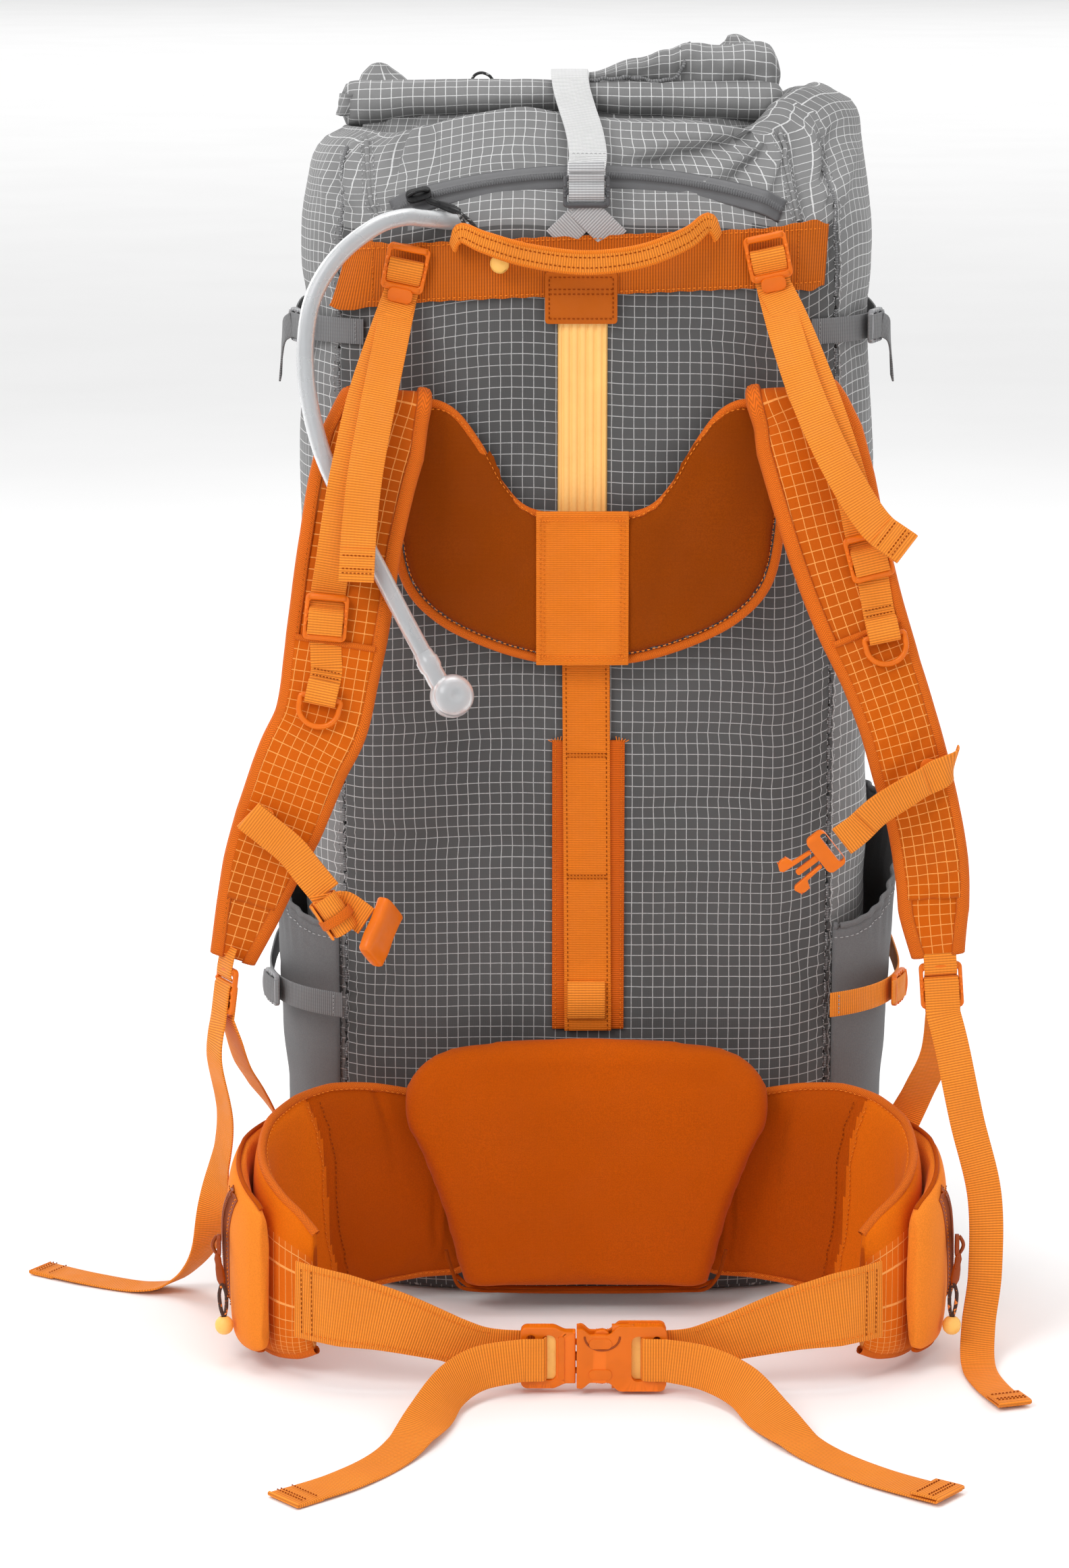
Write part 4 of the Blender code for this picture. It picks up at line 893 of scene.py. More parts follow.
def front_swell(angle):
    """How far the load pushes the top panel up in front of the roll."""
    facing = ease(0.25, 0.85, -math.sin(angle))
    x = bag_point(angle, 0.70).x
    crown = 0.0205 * math.exp(-((x + 0.040) / 0.075) ** 2) + 0.0110 * math.exp(-((x - 0.070) / 0.050) ** 2)
    return facing * crown


def shell_row(r, rows, angle):
    """The bag's cloth at a row: up the wall, then over the top to the collar."""
    wall_rows = rows - 12
    top = 0.690 + side_lobe(angle) + front_swell(angle)
    if r <= wall_rows:
        z = 0.0035 + (top - 0.0035) * r / wall_rows
        point = bag_point(angle, z)
        out = Vector((point.x, point.y * 1.8, 0)).normalized()
        lift = wall_shift(point, angle, z) * ease(0.0, 0.02, z)
        if math.sin(angle) < -0.5 and z < 0.66:
            lift = min(lift, 0.0012)
        round_off = min(max((z - top) / SHOULDER + 1, 0.0), 0.985)
        flank = ease(0.35, 0.85, abs(math.cos(angle)))
        point.x -= math.copysign(flank * SHOULDER * (1 - math.sqrt(1 - round_off ** 2)), point.x)
        return point + out * lift
    share = (r - wall_rows) / 12
    edge = shell_row(wall_rows, rows, angle)
    foot = collar_ring(angle, *COLLAR_FOOT)
    foot.z -= 0.001
    arch = math.sin(math.pi * min(share * 1.15, 1.0)) * (0.12 * side_lobe(angle) + 0.003)
    point = edge.lerp(foot, share ** 1.15)
    point.z = edge.z + (foot.z - edge.z) * share ** 5 + arch * 0.6
    point.z += 0.0016 * noise.noise(point * 42.0) * math.sin(math.pi * share)
    return point


def make_bag():
    """The sewn bag as one sagging shell, with its base, seams and collar."""
    columns, rows = 264, 150
    turn = [2 * math.pi * c / columns for c in range(columns + 1)]
    girth, run = [], 0.0
    for k, angle in enumerate(turn):
        here = bag_point(angle, 0.3)
        run += (here - bag_point(turn[k - 1], 0.3)).length if k else 0.0
        girth.append(run)
    grid = [[shell_row(r, rows, a) for a in turn[:-1]] for r in range(rows + 1)]
    heights = [0.0]
    for low, high in zip(grid, grid[1:]):
        heights.append(heights[-1] + (high[198] - low[198]).length)

    def panel(c):
        angle = math.remainder(turn[c], 2 * math.pi)
        if abs(angle) < SEAM_ANGLE:
            return 1
        if abs(angle) > math.pi - SEAM_ANGLE:
            return 3
        return 2 if angle > 0 else 0

    def cloth(r, c):
        kind = panel(c)
        if kind == 0 and grid[r][c].z < WALL_TOP and r < rows - 12:
            return 0
        return 1

    def place_on(i, j, r, c):
        return (girth[j] + 0.0031 * panel(c), heights[i] + 0.0017 * panel(c))
    mesh = mesh_of("bag", lambda work: lattice(work, grid, True, place_on, cloth))
    shell = add("bag_shell", mesh, ["back_cloth", "side_cloth"])
    pins = [
        (r * columns + c, pin_of(r, c, rows, grid, panel, columns)) for r in range(rows + 1)
        for c in range(columns)
    ]

    def most_out(point):
        if point.y < -0.09 and point.z < 0.655:
            return 0.0002
        return 0.0010
    simulate(
        shell, 2.2, 0.004, pinned=[p for p in pins if p[1] > 0], frames=12, outward_cap=most_out,
        bending=1.2
    )
    shell.data.shade_smooth()
    thicken(shell, 0.0012, -1.0)
    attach(shell, "root")
    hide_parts("back_panel", "front_panel", "side_panel_left", "side_panel_right", "top_panel")
    make_base()
    make_seams()
    make_collar()


def pin_of(r, c, rows, grid, panel, columns):
    """How firmly one point of the bag is held while the cloth is inflated."""
    if r < 3 or r > rows - 14:
        return 1.0
    if panel(c) != panel((c - 1) % columns):
        return 1.0
    point = grid[r][c]
    return 0.85 if point.y < -0.04 else 0.0


def make_base():
    """The flat base in the back's grid cloth, with a rounded edge."""
    count = 128

    def build(work):
        rings = []
        for inset, z in ((0.30, 0.0004), (0.88, 0.0000), (0.965, 0.0003), (0.995, 0.0020), (1.0, 0.0052)):
            rings.append([bag_point(2 * math.pi * k / count, 0.0).to_2d() * inset for k in range(count)])
            rings[-1] = [Vector((p.x, p.y, z)) for p in rings[-1]]
        verts, _ = lattice(
            work, rings, True, lambda i, j, r, c: (rings[i][j % count].x, rings[i][j % count].y)
        )
        layer = work.loops.layers.uv.verify()
        middle = work.faces.new(list(reversed(verts[0])))
        for loop in middle.loops:
            loop[layer].uv = loop.vert.co.xy
    base = add("bag_base", mesh_of("bag_base", build), "back_cloth", "root", "ripstop", ("base_panel",))
    thicken(base, 0.0010, -1.0)
    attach(base, "root")


def surface_line(angle, low, high, proud, count=90):
    """Points up the bag at one angle, standing a little proud."""
    line = []
    for k in range(count):
        z = low + (high - low) * k / (count - 1)
        point = bag_point(angle, z)
        out = Vector((point.x, point.y * 1.8, 0)).normalized()
        line.append(point + out * (wall_shift(point, angle, z) + proud))
    return line


def front_spot(x, z, proud):
    """A point on the harness side's cloth, folds included."""
    share = min(abs(x) / abs(bag_point(0.0, z).x), 0.999)
    angle = -math.acos(math.copysign(share ** (BAG_SQUARENESS / 2), x))
    point = bag_point(angle, z)
    out = Vector((point.x, point.y * 1.8, 0)).normalized()
    return point + out * (wall_shift(point, angle, z) + proud)


GUSSETS = (
    ("left", ((-0.1300, 0.6960), (-0.1285, 0.6800), (-0.1265, 0.6620), (-0.1225, 0.6470))),
    ("right", ((0.1120, 0.7000), (0.1150, 0.6840), (0.1190, 0.6660), (0.1225, 0.6500))),
)


def make_seams():
    """Piped seams down the bag's four corners, with their rows of stitches."""
    for name, angle in (
        ("front_left", -math.pi + SEAM_ANGLE), ("front_right", -SEAM_ANGLE),
        ("rear_right", SEAM_ANGLE), ("rear_left", math.pi - SEAM_ANGLE),
    ):
        line = surface_line(angle, 0.006, 0.690, 0.0008)
        parts = [tube("pipe", line, 0.0013, "dark_webbing", 8)]
        outward = [Vector((p.x, p.y, 0)).normalized() for p in line[::10]]
        for shift in (-0.026, 0.026):
            beside = surface_line(angle + shift, 0.010, 0.688, 0.0004)
            parts.append(stitches("row", beside, outward, "thread_grey", 0.0042))
        joined("seam_" + name, parts, "root", "ripstop")
    for name, spots in GUSSETS:
        guide = smooth_path([(x, 0, z) for x, z in spots], 50)
        line = [front_spot(p.x, p.z, 0.0004) for p in guide]
        parts = [tube("welt", line, 0.0013, "side_cloth", 8)]
        for shift in (-0.0034, 0.0034):
            beside = [front_spot(p.x + shift, p.z, 0.0002) for p in guide]
            parts.append(stitches("row", beside, (0, -1, 0.2), "thread_grey", 0.0036))
        joined("gusset_seam_" + name, parts, "root", "ripstop")


def make_collar():
    """The soft collar between the bag's top and the roll, gathered in folds."""
    count = 160
    heights = (0.6885, 0.6915, 0.6950, 0.6985, 0.7015, 0.7045, 0.7070, 0.7100)
    sizes = [(0.1300, 0.0405, 0.0610), (0.1295, 0.0390, 0.0580), (0.1290, 0.0370, 0.0530),
             (0.1280, 0.0345, 0.0480), (0.1270, 0.0310, 0.0430), (0.1260, 0.0275, 0.0370),
             (0.1250, 0.0235, 0.0310), (0.1230, 0.0190, 0.0260)]
    rows = []
    for z, size in zip(heights, sizes):
        row = []
        for k in range(count):
            angle = 2 * math.pi * k / count
            point = collar_ring(angle, z, *size)
            crumple = 0.0020 * math.sin(
                angle * 17 + 2.5 * math.sin(angle * 3)
            ) + 0.0018 * noise.noise(point * 60)
            out = Vector((point.x, point.y * 2, 0)).normalized()
            row.append(point + out * crumple * ease(0.689, 0.700, z))
        rows.append(row)
    mesh = mesh_of(
        "collar",
        lambda work: lattice(work, rows, True, lambda i, j, r, c: (j * 0.0052, heights[i] * 1.6))
    )
    collar = add("roll_collar", mesh, "side_cloth", slot="ripstop", stands_for=("collar",))
    thicken(collar, 0.0012, -1.0)
    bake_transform(collar)


# --------------------------------------------------------------- roll top
# x, y, z, half depth and half height
ROLL_STATIONS = [
    (-0.1450, -0.006, 0.7130, 0.013, 0.0135), (-0.1300, -0.006, 0.7135, 0.022, 0.0140),
    (-0.0980, -0.005, 0.7155, 0.025, 0.0118), (-0.0600, -0.004, 0.7165, 0.026, 0.0108),
    (-0.0100, -0.004, 0.7170, 0.026, 0.0102), (0.0300, -0.005, 0.7155, 0.026, 0.0115),
    (0.0750, -0.006, 0.7148, 0.026, 0.0128), (0.1050, -0.007, 0.7142, 0.025, 0.0142),
    (0.1165, -0.007, 0.7150, 0.023, 0.0138),
]
UPPER_STATIONS = [
    (0.0020, 0.002, 0.7280, 0.010, 0.0030), (0.0300, 0.004, 0.7310, 0.015, 0.0080),
    (0.0480, 0.005, 0.7325, 0.018, 0.0115), (0.0600, 0.005, 0.7335, 0.020, 0.0145),
    (0.0900, 0.004, 0.7335, 0.021, 0.0150), (0.1100, 0.002, 0.7320, 0.020, 0.0150),
    (0.1165, -0.001, 0.7300, 0.018, 0.0135),
]


def roll_station(x, stations=ROLL_STATIONS):
    """The roll's centre, depth and height at an x."""
    low = stations[0]
    for high in stations[1:]:
        if x <= high[0]:
            share = ease(0.0, 1.0, max((x - low[0]) / (high[0] - low[0]), 0.0))
            return [a + (b - a) * share for a, b in zip(low, high)]
        low = high
    return list(stations[-1])


def make_roll():
    """The rolled closure: wound cloth, its bunched upper turn and its ears."""
    rows = []
    turns, columns, around = 2.15, 120, 120
    start = math.radians(-140)
    left, right = ROLL_STATIONS[0][0], ROLL_STATIONS[-1][0]
    for k in range(around + 1):
        share = k / around
        angle = start + turns * 2 * math.pi * share
        scale = 0.62 + 0.36 * share
        row = []
        for c in range(columns + 1):
            x = left + (right - left) * c / columns
            _, y, z, deep, tall = roll_station(x)
            wave = 1 + 0.060 * noise.noise(Vector((x * 32, math.sin(angle) * 0.8, math.cos(angle) * 0.8)))
            wave += 0.040 * noise.noise(Vector((x * 75, angle * 0.7, 5.0)))
            squash = 1 - 0.12 * fold(x, -0.010, 0.014)
            end = min((x - left) / 0.006, (right - x) / 0.011, 1.0)
            wave *= 0.40 + 0.60 * math.sqrt(max(1 - (1 - end) ** 2, 0.0))
            row.append(Vector((
                x + 0.0010 * math.sin(share * 21 + 2) * (1 - end),
                y + deep * scale * wave * squash * math.cos(angle),
                z + tall * scale * wave * squash * math.sin(angle),
            )))
        rows.append(row)
    mesh = mesh_of(
        "roll", lambda work: lattice(work, rows, False, lambda i, j, r, c: (j * 0.0022, i * 0.0016))
    )
    parts = [add("wound", mesh, "side_cloth")]
    thicken(parts[0], 0.0011, -1.0)
    parts += [
        make_upper_turn(),
        cloth_ear("left_ear", (-0.1230, 0.004, 0.7225), (0.0180, 0.010), (-0.1245, 0.008, 0.7365), 0.0038),
        cloth_ear(
            "left_corner", (-0.1400, -0.010, 0.7190), (0.008, 0.011), (-0.1455, -0.018, 0.7060),
            0.0040
        ),
        cloth_ear("right_ear", (0.0915, 0.004, 0.7440), (0.0150, 0.010), (0.0895, 0.006, 0.7535), 0.0035),
        cloth_ear("right_corner", (0.1010, 0.000, 0.7400), (0.0100, 0.011), (0.1050, -0.001, 0.7475), 0.0050),
        gathered_edge(),
    ]
    for end_x, radius in ((left + 0.004, 0.52), (right - 0.004, 0.55)):
        _, y, z, deep, tall = roll_station(end_x)
        core = [Vector((end_x + d, y, z)) for d in (-0.003, 0.0, 0.003)]
        parts.append(
            tube("core", core, [tall * radius * 0.8, tall * radius, tall * radius * 0.8], "side_cloth", 20)
        )
    parts.append(tube("loop", smooth_path([
        (-0.0690, 0.006, 0.7255), (-0.0670, 0.006, 0.7290), (-0.0630, 0.006, 0.7305),
        (-0.0585, 0.006, 0.7290), (-0.0560, 0.006, 0.7260),
    ], 24), 0.0009, "dark_cord", 8))
    joined("roll_closure", parts, "roll", "ripstop", ("roll_top",))


def make_upper_turn():
    """The last turn of cloth, bunched up behind the roll on the right."""
    columns, around = 90, 72
    left, right = UPPER_STATIONS[0][0], UPPER_STATIONS[-1][0]
    rows = []
    for c in range(columns + 1):
        x = left + (right - left) * c / columns
        _, y, z, deep, tall = roll_station(x, UPPER_STATIONS)
        close = math.sqrt(max(1 - ((x - right) / 0.008 + 1) ** 2, 0.02)) if x > right - 0.008 else 1.0
        row = []
        for k in range(around):
            angle = 2 * math.pi * k / around
            s, co = math.sin(angle), math.cos(angle)
            wave = 1 + 0.16 * noise.noise(Vector((x * 44, s * 1.1, co * 1.1 + 3)))
            wave += 0.07 * noise.noise(Vector((x * 105, s * 2.6, co * 2.6)))
            gather = 0.05 * math.sin(x * 900 + 2 * s) * ease(0.06, 0.02, x) * ease(0.3, -0.6, s)
            row.append(Vector((
                x,
                y + deep * close * (wave + gather) * math.copysign(abs(co) ** 0.85, co),
                z + tall * close * (wave + gather) * math.copysign(abs(s) ** 0.85, s),
            )))
        rows.append(row)

    def build(work):
        capped_lattice(work, rows, lambda i, j, r, c: (i * 0.0013, j * 0.0013))
    turn = add("upper_turn", mesh_of("upper_turn", build), "side_cloth")
    turn.data.shade_smooth()
    return turn


def cloth_ear(name, foot, size, tip, blunt):
    """A corner of folded cloth drawn up from the roll to a blunt tip."""
    around, steps = 40, 14
    foot, tip = Vector(foot), Vector(tip)
    rows = []
    for k in range(steps + 1):
        t = k / steps
        centre = foot.lerp(tip, t)
        shrink = 1 - t
        close = 1.0 if k < steps else 0.35
        row = []
        for c in range(around):
            angle = 2 * math.pi * c / around
            wave = 1 + 0.30 * noise.noise(
                Vector((math.cos(angle) * 1.3, math.sin(angle) * 1.3, t * 2 + foot.x * 40))
            )
            wide = (size[0] * shrink + blunt * t) * close
            deep = (size[1] * shrink + 0.0022 * t) * close
            flat = math.copysign(abs(math.cos(angle)) ** 0.7, math.cos(angle))
            row.append(centre + Vector((wide * wave * flat, deep * wave * math.sin(angle), 0)))
        rows.append(row)

    def build(work):
        capped_lattice(work, rows, lambda i, j, r, c: (j * 0.0018, i * 0.0013))
    ear = add(name, mesh_of(name, build), "side_cloth")
    ear.data.shade_smooth()
    return ear


def gathered_edge():
    """The bound edge of the cloth, crumpled where the upper turn begins."""
    line = smooth_path([
        (0.0020, -0.0140, 0.7262), (0.0120, -0.0150, 0.7275), (0.0260, -0.0135, 0.7290),
        (0.0400, -0.0140, 0.7270),
        (0.0520, -0.0150, 0.7285), (0.0580, -0.0140, 0.7380), (0.0560, -0.0060, 0.7455),
        (0.0620, 0.0040, 0.7480),
    ], 110)
    line = [p + 0.0016 * noise.noise_vector(p * 210.0) for p in line]
    width = [0.0011 + 0.0005 * noise.noise(p * 400.0) for p in line]
    return tube("gathered_edge", line, width, "dark_webbing", 10)


# ---------------------------------------------------------- lock hardware
def filled_plate(work, loops, y, thickness):
    """A flat plate in X and Z between its outline and its holes."""
    edges = []
    for loop in loops:
        verts = [work.verts.new((x, y - thickness / 2, z)) for x, z in loop]
        edges += [work.edges.new((verts[k], verts[(k + 1) % len(verts)])) for k in range(len(verts))]
    filled = bmesh.ops.triangle_fill(work, use_beauty=True, use_dissolve=False, edges=edges)
    faces = [g for g in filled["geom"] if isinstance(g, bmesh.types.BMFace)]
    made = bmesh.ops.extrude_face_region(work, geom=faces)
    moved = [v for v in made["geom"] if isinstance(v, bmesh.types.BMVert)]
    bmesh.ops.translate(work, verts=moved, vec=(0, thickness, 0))
    bmesh.ops.recalc_face_normals(work, faces=work.faces)


def rounded_plate(work, width, height, thickness, radius, holes):
    """A plate in X and Z with rounded corners and rounded slots through it."""
    def outline(w, h, r, x0, z0, steps=5):
        r = min(r, w / 2 * 0.98, h / 2 * 0.98)
        corners = ((w / 2 - r, h / 2 - r, 0), (-w / 2 + r, h / 2 - r, 90),
                   (-w / 2 + r, -h / 2 + r, 180), (w / 2 - r, -h / 2 + r, 270))
        return [
            (
                x0 + cx + r * math.cos(math.radians(a + 90 * s / steps)),
                z0 + cz + r * math.sin(math.radians(a + 90 * s / steps))
            )
            for cx, cz, a in corners for s in range(steps + 1)
        ]
    loops = [outline(width, height, radius, 0, 0)]
    loops += [outline(w, h, r, x, z) for w, h, r, x, z in holes]
    filled_plate(work, loops, 0.0, thickness)


def moulding(name, matrix, material, build, bevel=0.0006, segments=3, **facts):
    """A moulded plastic piece with softly rounded edges."""
    piece = add(name, mesh_of(name, build), material, matrix=matrix)
    rounding = piece.modifiers.new("round", "BEVEL")
    rounding.width = bevel
    rounding.segments = segments
    rounding.limit_method = "ANGLE"
    rounding.angle_limit = math.radians(35)
    rounding.use_clamp_overlap = True
    bake(piece)
    piece.data.shade_smooth()
    piece.data.set_sharp_from_angle(angle=math.radians(55))
    return assigned(piece, **facts)


def bar_rows(work, length, rise, thick, z, y, sides=12, bow=0.0):
    """A rounded bar along X, for the bars of a lock."""
    path = [
        Vector((length * (t - 0.5), y - bow * math.cos(math.pi * (t - 0.5)), z))
        for t in (k / 10 for k in range(11))
    ]
    rows, _ = tube_rows(path, rise, sides, thick / rise)
    capped_lattice(work, rows)


def lock_parts(matrix, webbing, material, tab=False, height=LOCK_HEIGHT):
    """A ladder lock: slotted frame, ribbed bars, lifted lip and grip tab."""
    centre = (LOCK_BAR + LOCK_WINDOW) / 2
    hole = (webbing + 0.0004, LOCK_WINDOW, 0.0016)

    def frame_plate(work):
        rounded_plate(work, webbing + 0.0050, height, BAR, 0.0032,
                      [(*hole, 0, centre), (*hole, 0, -centre)])
    parts = [moulding("frame", matrix, material, frame_plate, 0.0007)]

    def bars(work):
        bar_rows(work, webbing + 0.0010, 0.0016, 0.0017, 0.0, 0.0)
        bar_rows(
            work, webbing + 0.0010, 0.0015, 0.0019, centre + LOCK_WINDOW / 2 + 0.0019, -0.0006,
            bow=0.0010
        )
        bar_rows(
            work, webbing + 0.0010, 0.0015, 0.0019, -centre - LOCK_WINDOW / 2 - 0.0019, -0.0004,
            bow=0.0004
        )
        for sign in (-1, 1):
            for step in range(3):
                x = sign * (webbing / 2 + 0.0014)
                bar_rows_at(work, x, 0.0030 * (step - 1) * 1.5, 0.0010)
    parts.append(add("bars", mesh_of("bars", bars), material, matrix=matrix))
    if tab:
        def grip(work):
            rounded_plate(work, webbing * 0.72, 0.0085, 0.0026, 0.0034, [])
        at = matrix @ Matrix.Translation(
            (0, -0.0014, -height / 2 - 0.0022)
        ) @ Matrix.Rotation(math.radians(14), 4, "X")
        parts.append(moulding("grip", at, material, grip, 0.0009))
    return parts


def bar_rows_at(work, x, z, length):
    """A small moulded rib on a lock's side."""
    matrix = Matrix.Translation((x, -BAR / 2, z)) @ Matrix.Diagonal((length, 0.0007, 0.0011, 1))
    bmesh.ops.create_uvsphere(work, u_segments=8, v_segments=6, radius=1.0, matrix=matrix)


def ladder_lock(name, matrix, webbing, material, body, slot, node, tab=False):
    """A ladder lock in place of its CAD node."""
    return joined(name, lock_parts(matrix, webbing, material, tab), body, slot, (node,))


# Webbing that turns round the middle bar of a lock and leaves beside itself
TURNED = [
    (WEAVE, -LOCK_HEIGHT / 2 - 0.003), (WEAVE, -LOCK_HEIGHT / 2), (WEAVE, 0.0),
    (WEAVE, 0.0022), (WEAVE * 0.7, 0.0040), (0.0, 0.0048), (-WEAVE * 0.7, 0.0040),
    (-WEAVE, 0.0022), (-WEAVE, 0.0), (-WEAVE, -LOCK_HEIGHT / 2), (-WEAVE, -LOCK_HEIGHT / 2 - 0.003),
]


# ------------------------------------------------------------ back fittings
HANDLE_ROUTE = [
    (-0.0780, -0.1225, 0.6370), (-0.0735, -0.1280, 0.6455), (-0.0600, -0.1370, 0.6410),
    (-0.0350, -0.1430, 0.6340), (-0.0020, -0.1450, 0.6300), (0.0300, -0.1430, 0.6335),
    (0.0560, -0.1370, 0.6430), (0.0690, -0.1280, 0.6515), (0.0745, -0.1225, 0.6430),
]


def offset_line(path, shift):
    """The same line moved by one vector."""
    return [p + Vector(shift) for p in path]


def make_yoke_band():
    """The wide band across the back, its flared ends and its stitched tab."""
    xs = [-0.1445, -0.136, -0.125, -0.110, -0.08, -0.04, 0.0, 0.04, 0.08, 0.106, 0.122, 0.132, 0.139]
    zs = [
        0.6190, 0.6195, 0.6205, 0.6215, 0.6235, 0.6255, 0.627, 0.6285, 0.630, 0.6308, 0.6312,
        0.6315, 0.6316
    ]
    band = smooth_path([Vector((x, bag_front_y(x, 0.60) - 0.0025, z)) for x, z in zip(xs, zs)], 140)
    rows, runs, run = [], [], 0.0
    for k, point in enumerate(band):
        end = min(k, len(band) - 1 - k) / (len(band) - 1)
        half = 0.0172 + 0.0034 * ease(0.14, 0.02, end)
        slant = 0.0065 * ease(0.12, 0.0, k / (len(band) - 1)) + 0.0012 * ease(0.90, 1.0, k / (len(band) - 1))
        run += (point - band[k - 1]).length if k else 0.0
        runs.append(run)
        row = []
        for c in range(13):
            t = 2 * c / 12 - 1
            scallop = 0.0003 * math.sin(run * 520) * abs(t) ** 4
            corner = 0.0030 * ease(0.03, 0.0, end) * abs(t) ** 5
            puff = 0.0006 * (1 - t * t) + 0.0005 * noise.noise(point * 60 + Vector((0, 0, t)))
            row.append(point + Vector((slant * t, -puff, (half + scallop - corner) * t - 0.0010)))
        rows.append(row)
    mesh = mesh_of("band", lambda work: lattice(work, rows, uv=lambda i, j, r, c: (0.003 * j, runs[i])))
    parts = [thicken(add("band", mesh, "band_along"), 0.0018, 0.0, 0.0004)]
    for edge in (-0.0164, 0.0144):
        line = [p + Vector((0, -0.0016, edge)) for p in band[2:-2]]
        parts.append(stitches("row", line, (0, -1, 0), "thread_orange", 0.0030))
    for sign, x in ((-1, -0.1245), (1, 0.1215)):
        line = [Vector((x + 0.0008 * sign, bag_front_y(x, 0.6) - 0.0042, z)) for z in (0.604, 0.624, 0.646)]
        parts.append(stitches("bar_tack", line, (0, -1, 0), "thread_orange", 0.0030))

    def tab(work):
        rounded_plate(work, 0.042, 0.030, 0.0016, 0.0022, [])
    at = Matrix.Translation((-0.004, -0.1203, 0.6075))
    parts.append(moulding("tab", at, "band_along", tab, 0.0005))
    ring = [(-0.0185, -0.0120), (0.0185, -0.0120), (0.0185, 0.0120), (-0.0185, 0.0120), (-0.0185, -0.0120)]
    box = [at @ Vector((x, -0.0010, z)) for x, z in ring]
    upper = [at @ Vector((x, -0.0010, 0.0050)) for x in (-0.0185, 0.0, 0.0185)]
    lower = [at @ Vector((x, -0.0010, 0.0022)) for x in (-0.0185, 0.0, 0.0185)]
    for line in (box, upper, lower):
        parts.append(stitches("box", line, (0, -1, 0), "thread_dark", 0.0026))
    joined("yoke_band_webbing", parts, "root", "webbing_orange", ("yoke_band",))


def make_strips():
    """The grooved strip, the backing strip and the webbing down the centre."""
    profile = []
    for k in range(61):
        x = -0.0145 + 0.029 * k / 60
        groove = sum(fold(x, -0.0118 + 0.00472 * n, 0.00085) for n in range(6))
        edge = ease(0.0145, 0.0132, abs(x))
        profile.append((x - 0.003, -0.1167 + 0.0010 - 0.0022 * edge + 0.0013 * min(groove, 1.0)))
    rows = [[Vector((x, y, z)) for x, y in profile] for z in (0.403, 0.44, 0.48, 0.52, 0.56, 0.60, 0.6075)]
    mesh = mesh_of(
        "grooved",
        lambda work: lattice(work, rows, uv=lambda i, j, r, c: (j * 0.0005, rows[i][0].z))
    )
    strip = thicken(add("grooved", mesh, "strip"), 0.0010, -1.0)
    joined("grooved_strip", [strip], "root", "stay_sleeve", ("stay_strip",))

    backing = smooth_path(
        [(0.001, -0.1163, 0.3455), (0.001, -0.1165, 0.30), (0.001, -0.1163, 0.24), (0.001, -0.1163, 0.1685)],
        60
    )
    parts = [
        ribbon("backing", backing, 0.043, (1, 0, 0), "backing", thickness=0.0018, columns=12, crown=0.0006)
    ]
    for edge in (-0.0195, 0.0195):
        parts.append(
            stitches(
                "row", [p + Vector((edge, -0.0011, 0)) for p in backing[1:]], (0, -1, 0),
                "thread_orange", 0.0030
            )
        )
    for sign in (-1, 1):
        for k in range(5):
            root = Vector((0.001 + sign * (0.0170 + 0.0011 * k), -0.1168, 0.3445))
            tip = root + Vector((sign * 0.0008 * (k - 1), -0.0010 - 0.0004 * k, 0.0036 - 0.0005 * k))
            parts.append(
                tube(
                    "fray", [root, root.lerp(tip, 0.5) + Vector((0, -0.0004, 0)), tip], 0.00028,
                    "thread_orange", 5
                )
            )
    joined("backing_strip", parts, "root", "webbing_orange", ("torso_backing_strip",))

    torso = smooth_path([(-0.001, -0.1187, 0.440), (0.000, -0.1187, 0.30), (0.001, -0.1187, 0.168)], 80)
    parts = [ribbon("torso", torso, 0.028, (1, 0, 0), "torso", thickness=0.0014, columns=10, crown=0.0007)]
    for edge in (-0.0118, 0.0118):
        parts.append(
            stitches(
                "row", [p + Vector((edge, -0.0008, 0)) for p in torso], (0, -1, 0), "thread_dark",
                0.0028
            )
        )
    for z in (0.336, 0.262, 0.176):
        line = [Vector((x, -0.1199, z)) for x in (-0.0115, 0.0, 0.0115)]
        parts.append(stitches("tack", line, (0, -1, 0), "thread_dark", 0.0018))
        parts.append(stitches("tack", offset_line(line, (0, 0, 0.0020)), (0, -1, 0), "thread_dark", 0.0018))
    loop = smooth_path(
        [
            (0.0, -0.1206, 0.1990), (0.0, -0.1225, 0.1935), (0.0, -0.1228, 0.1860),
            (0.0, -0.1216, 0.1790), (0.0, -0.1206, 0.1760)
        ],
        24
    )
    parts.append(ribbon("loop", loop, 0.0225, (1, 0, 0), "webbing", thickness=0.0014))
    joined("torso_strap", parts, "root", "webbing_orange", ("torso_webbing",))


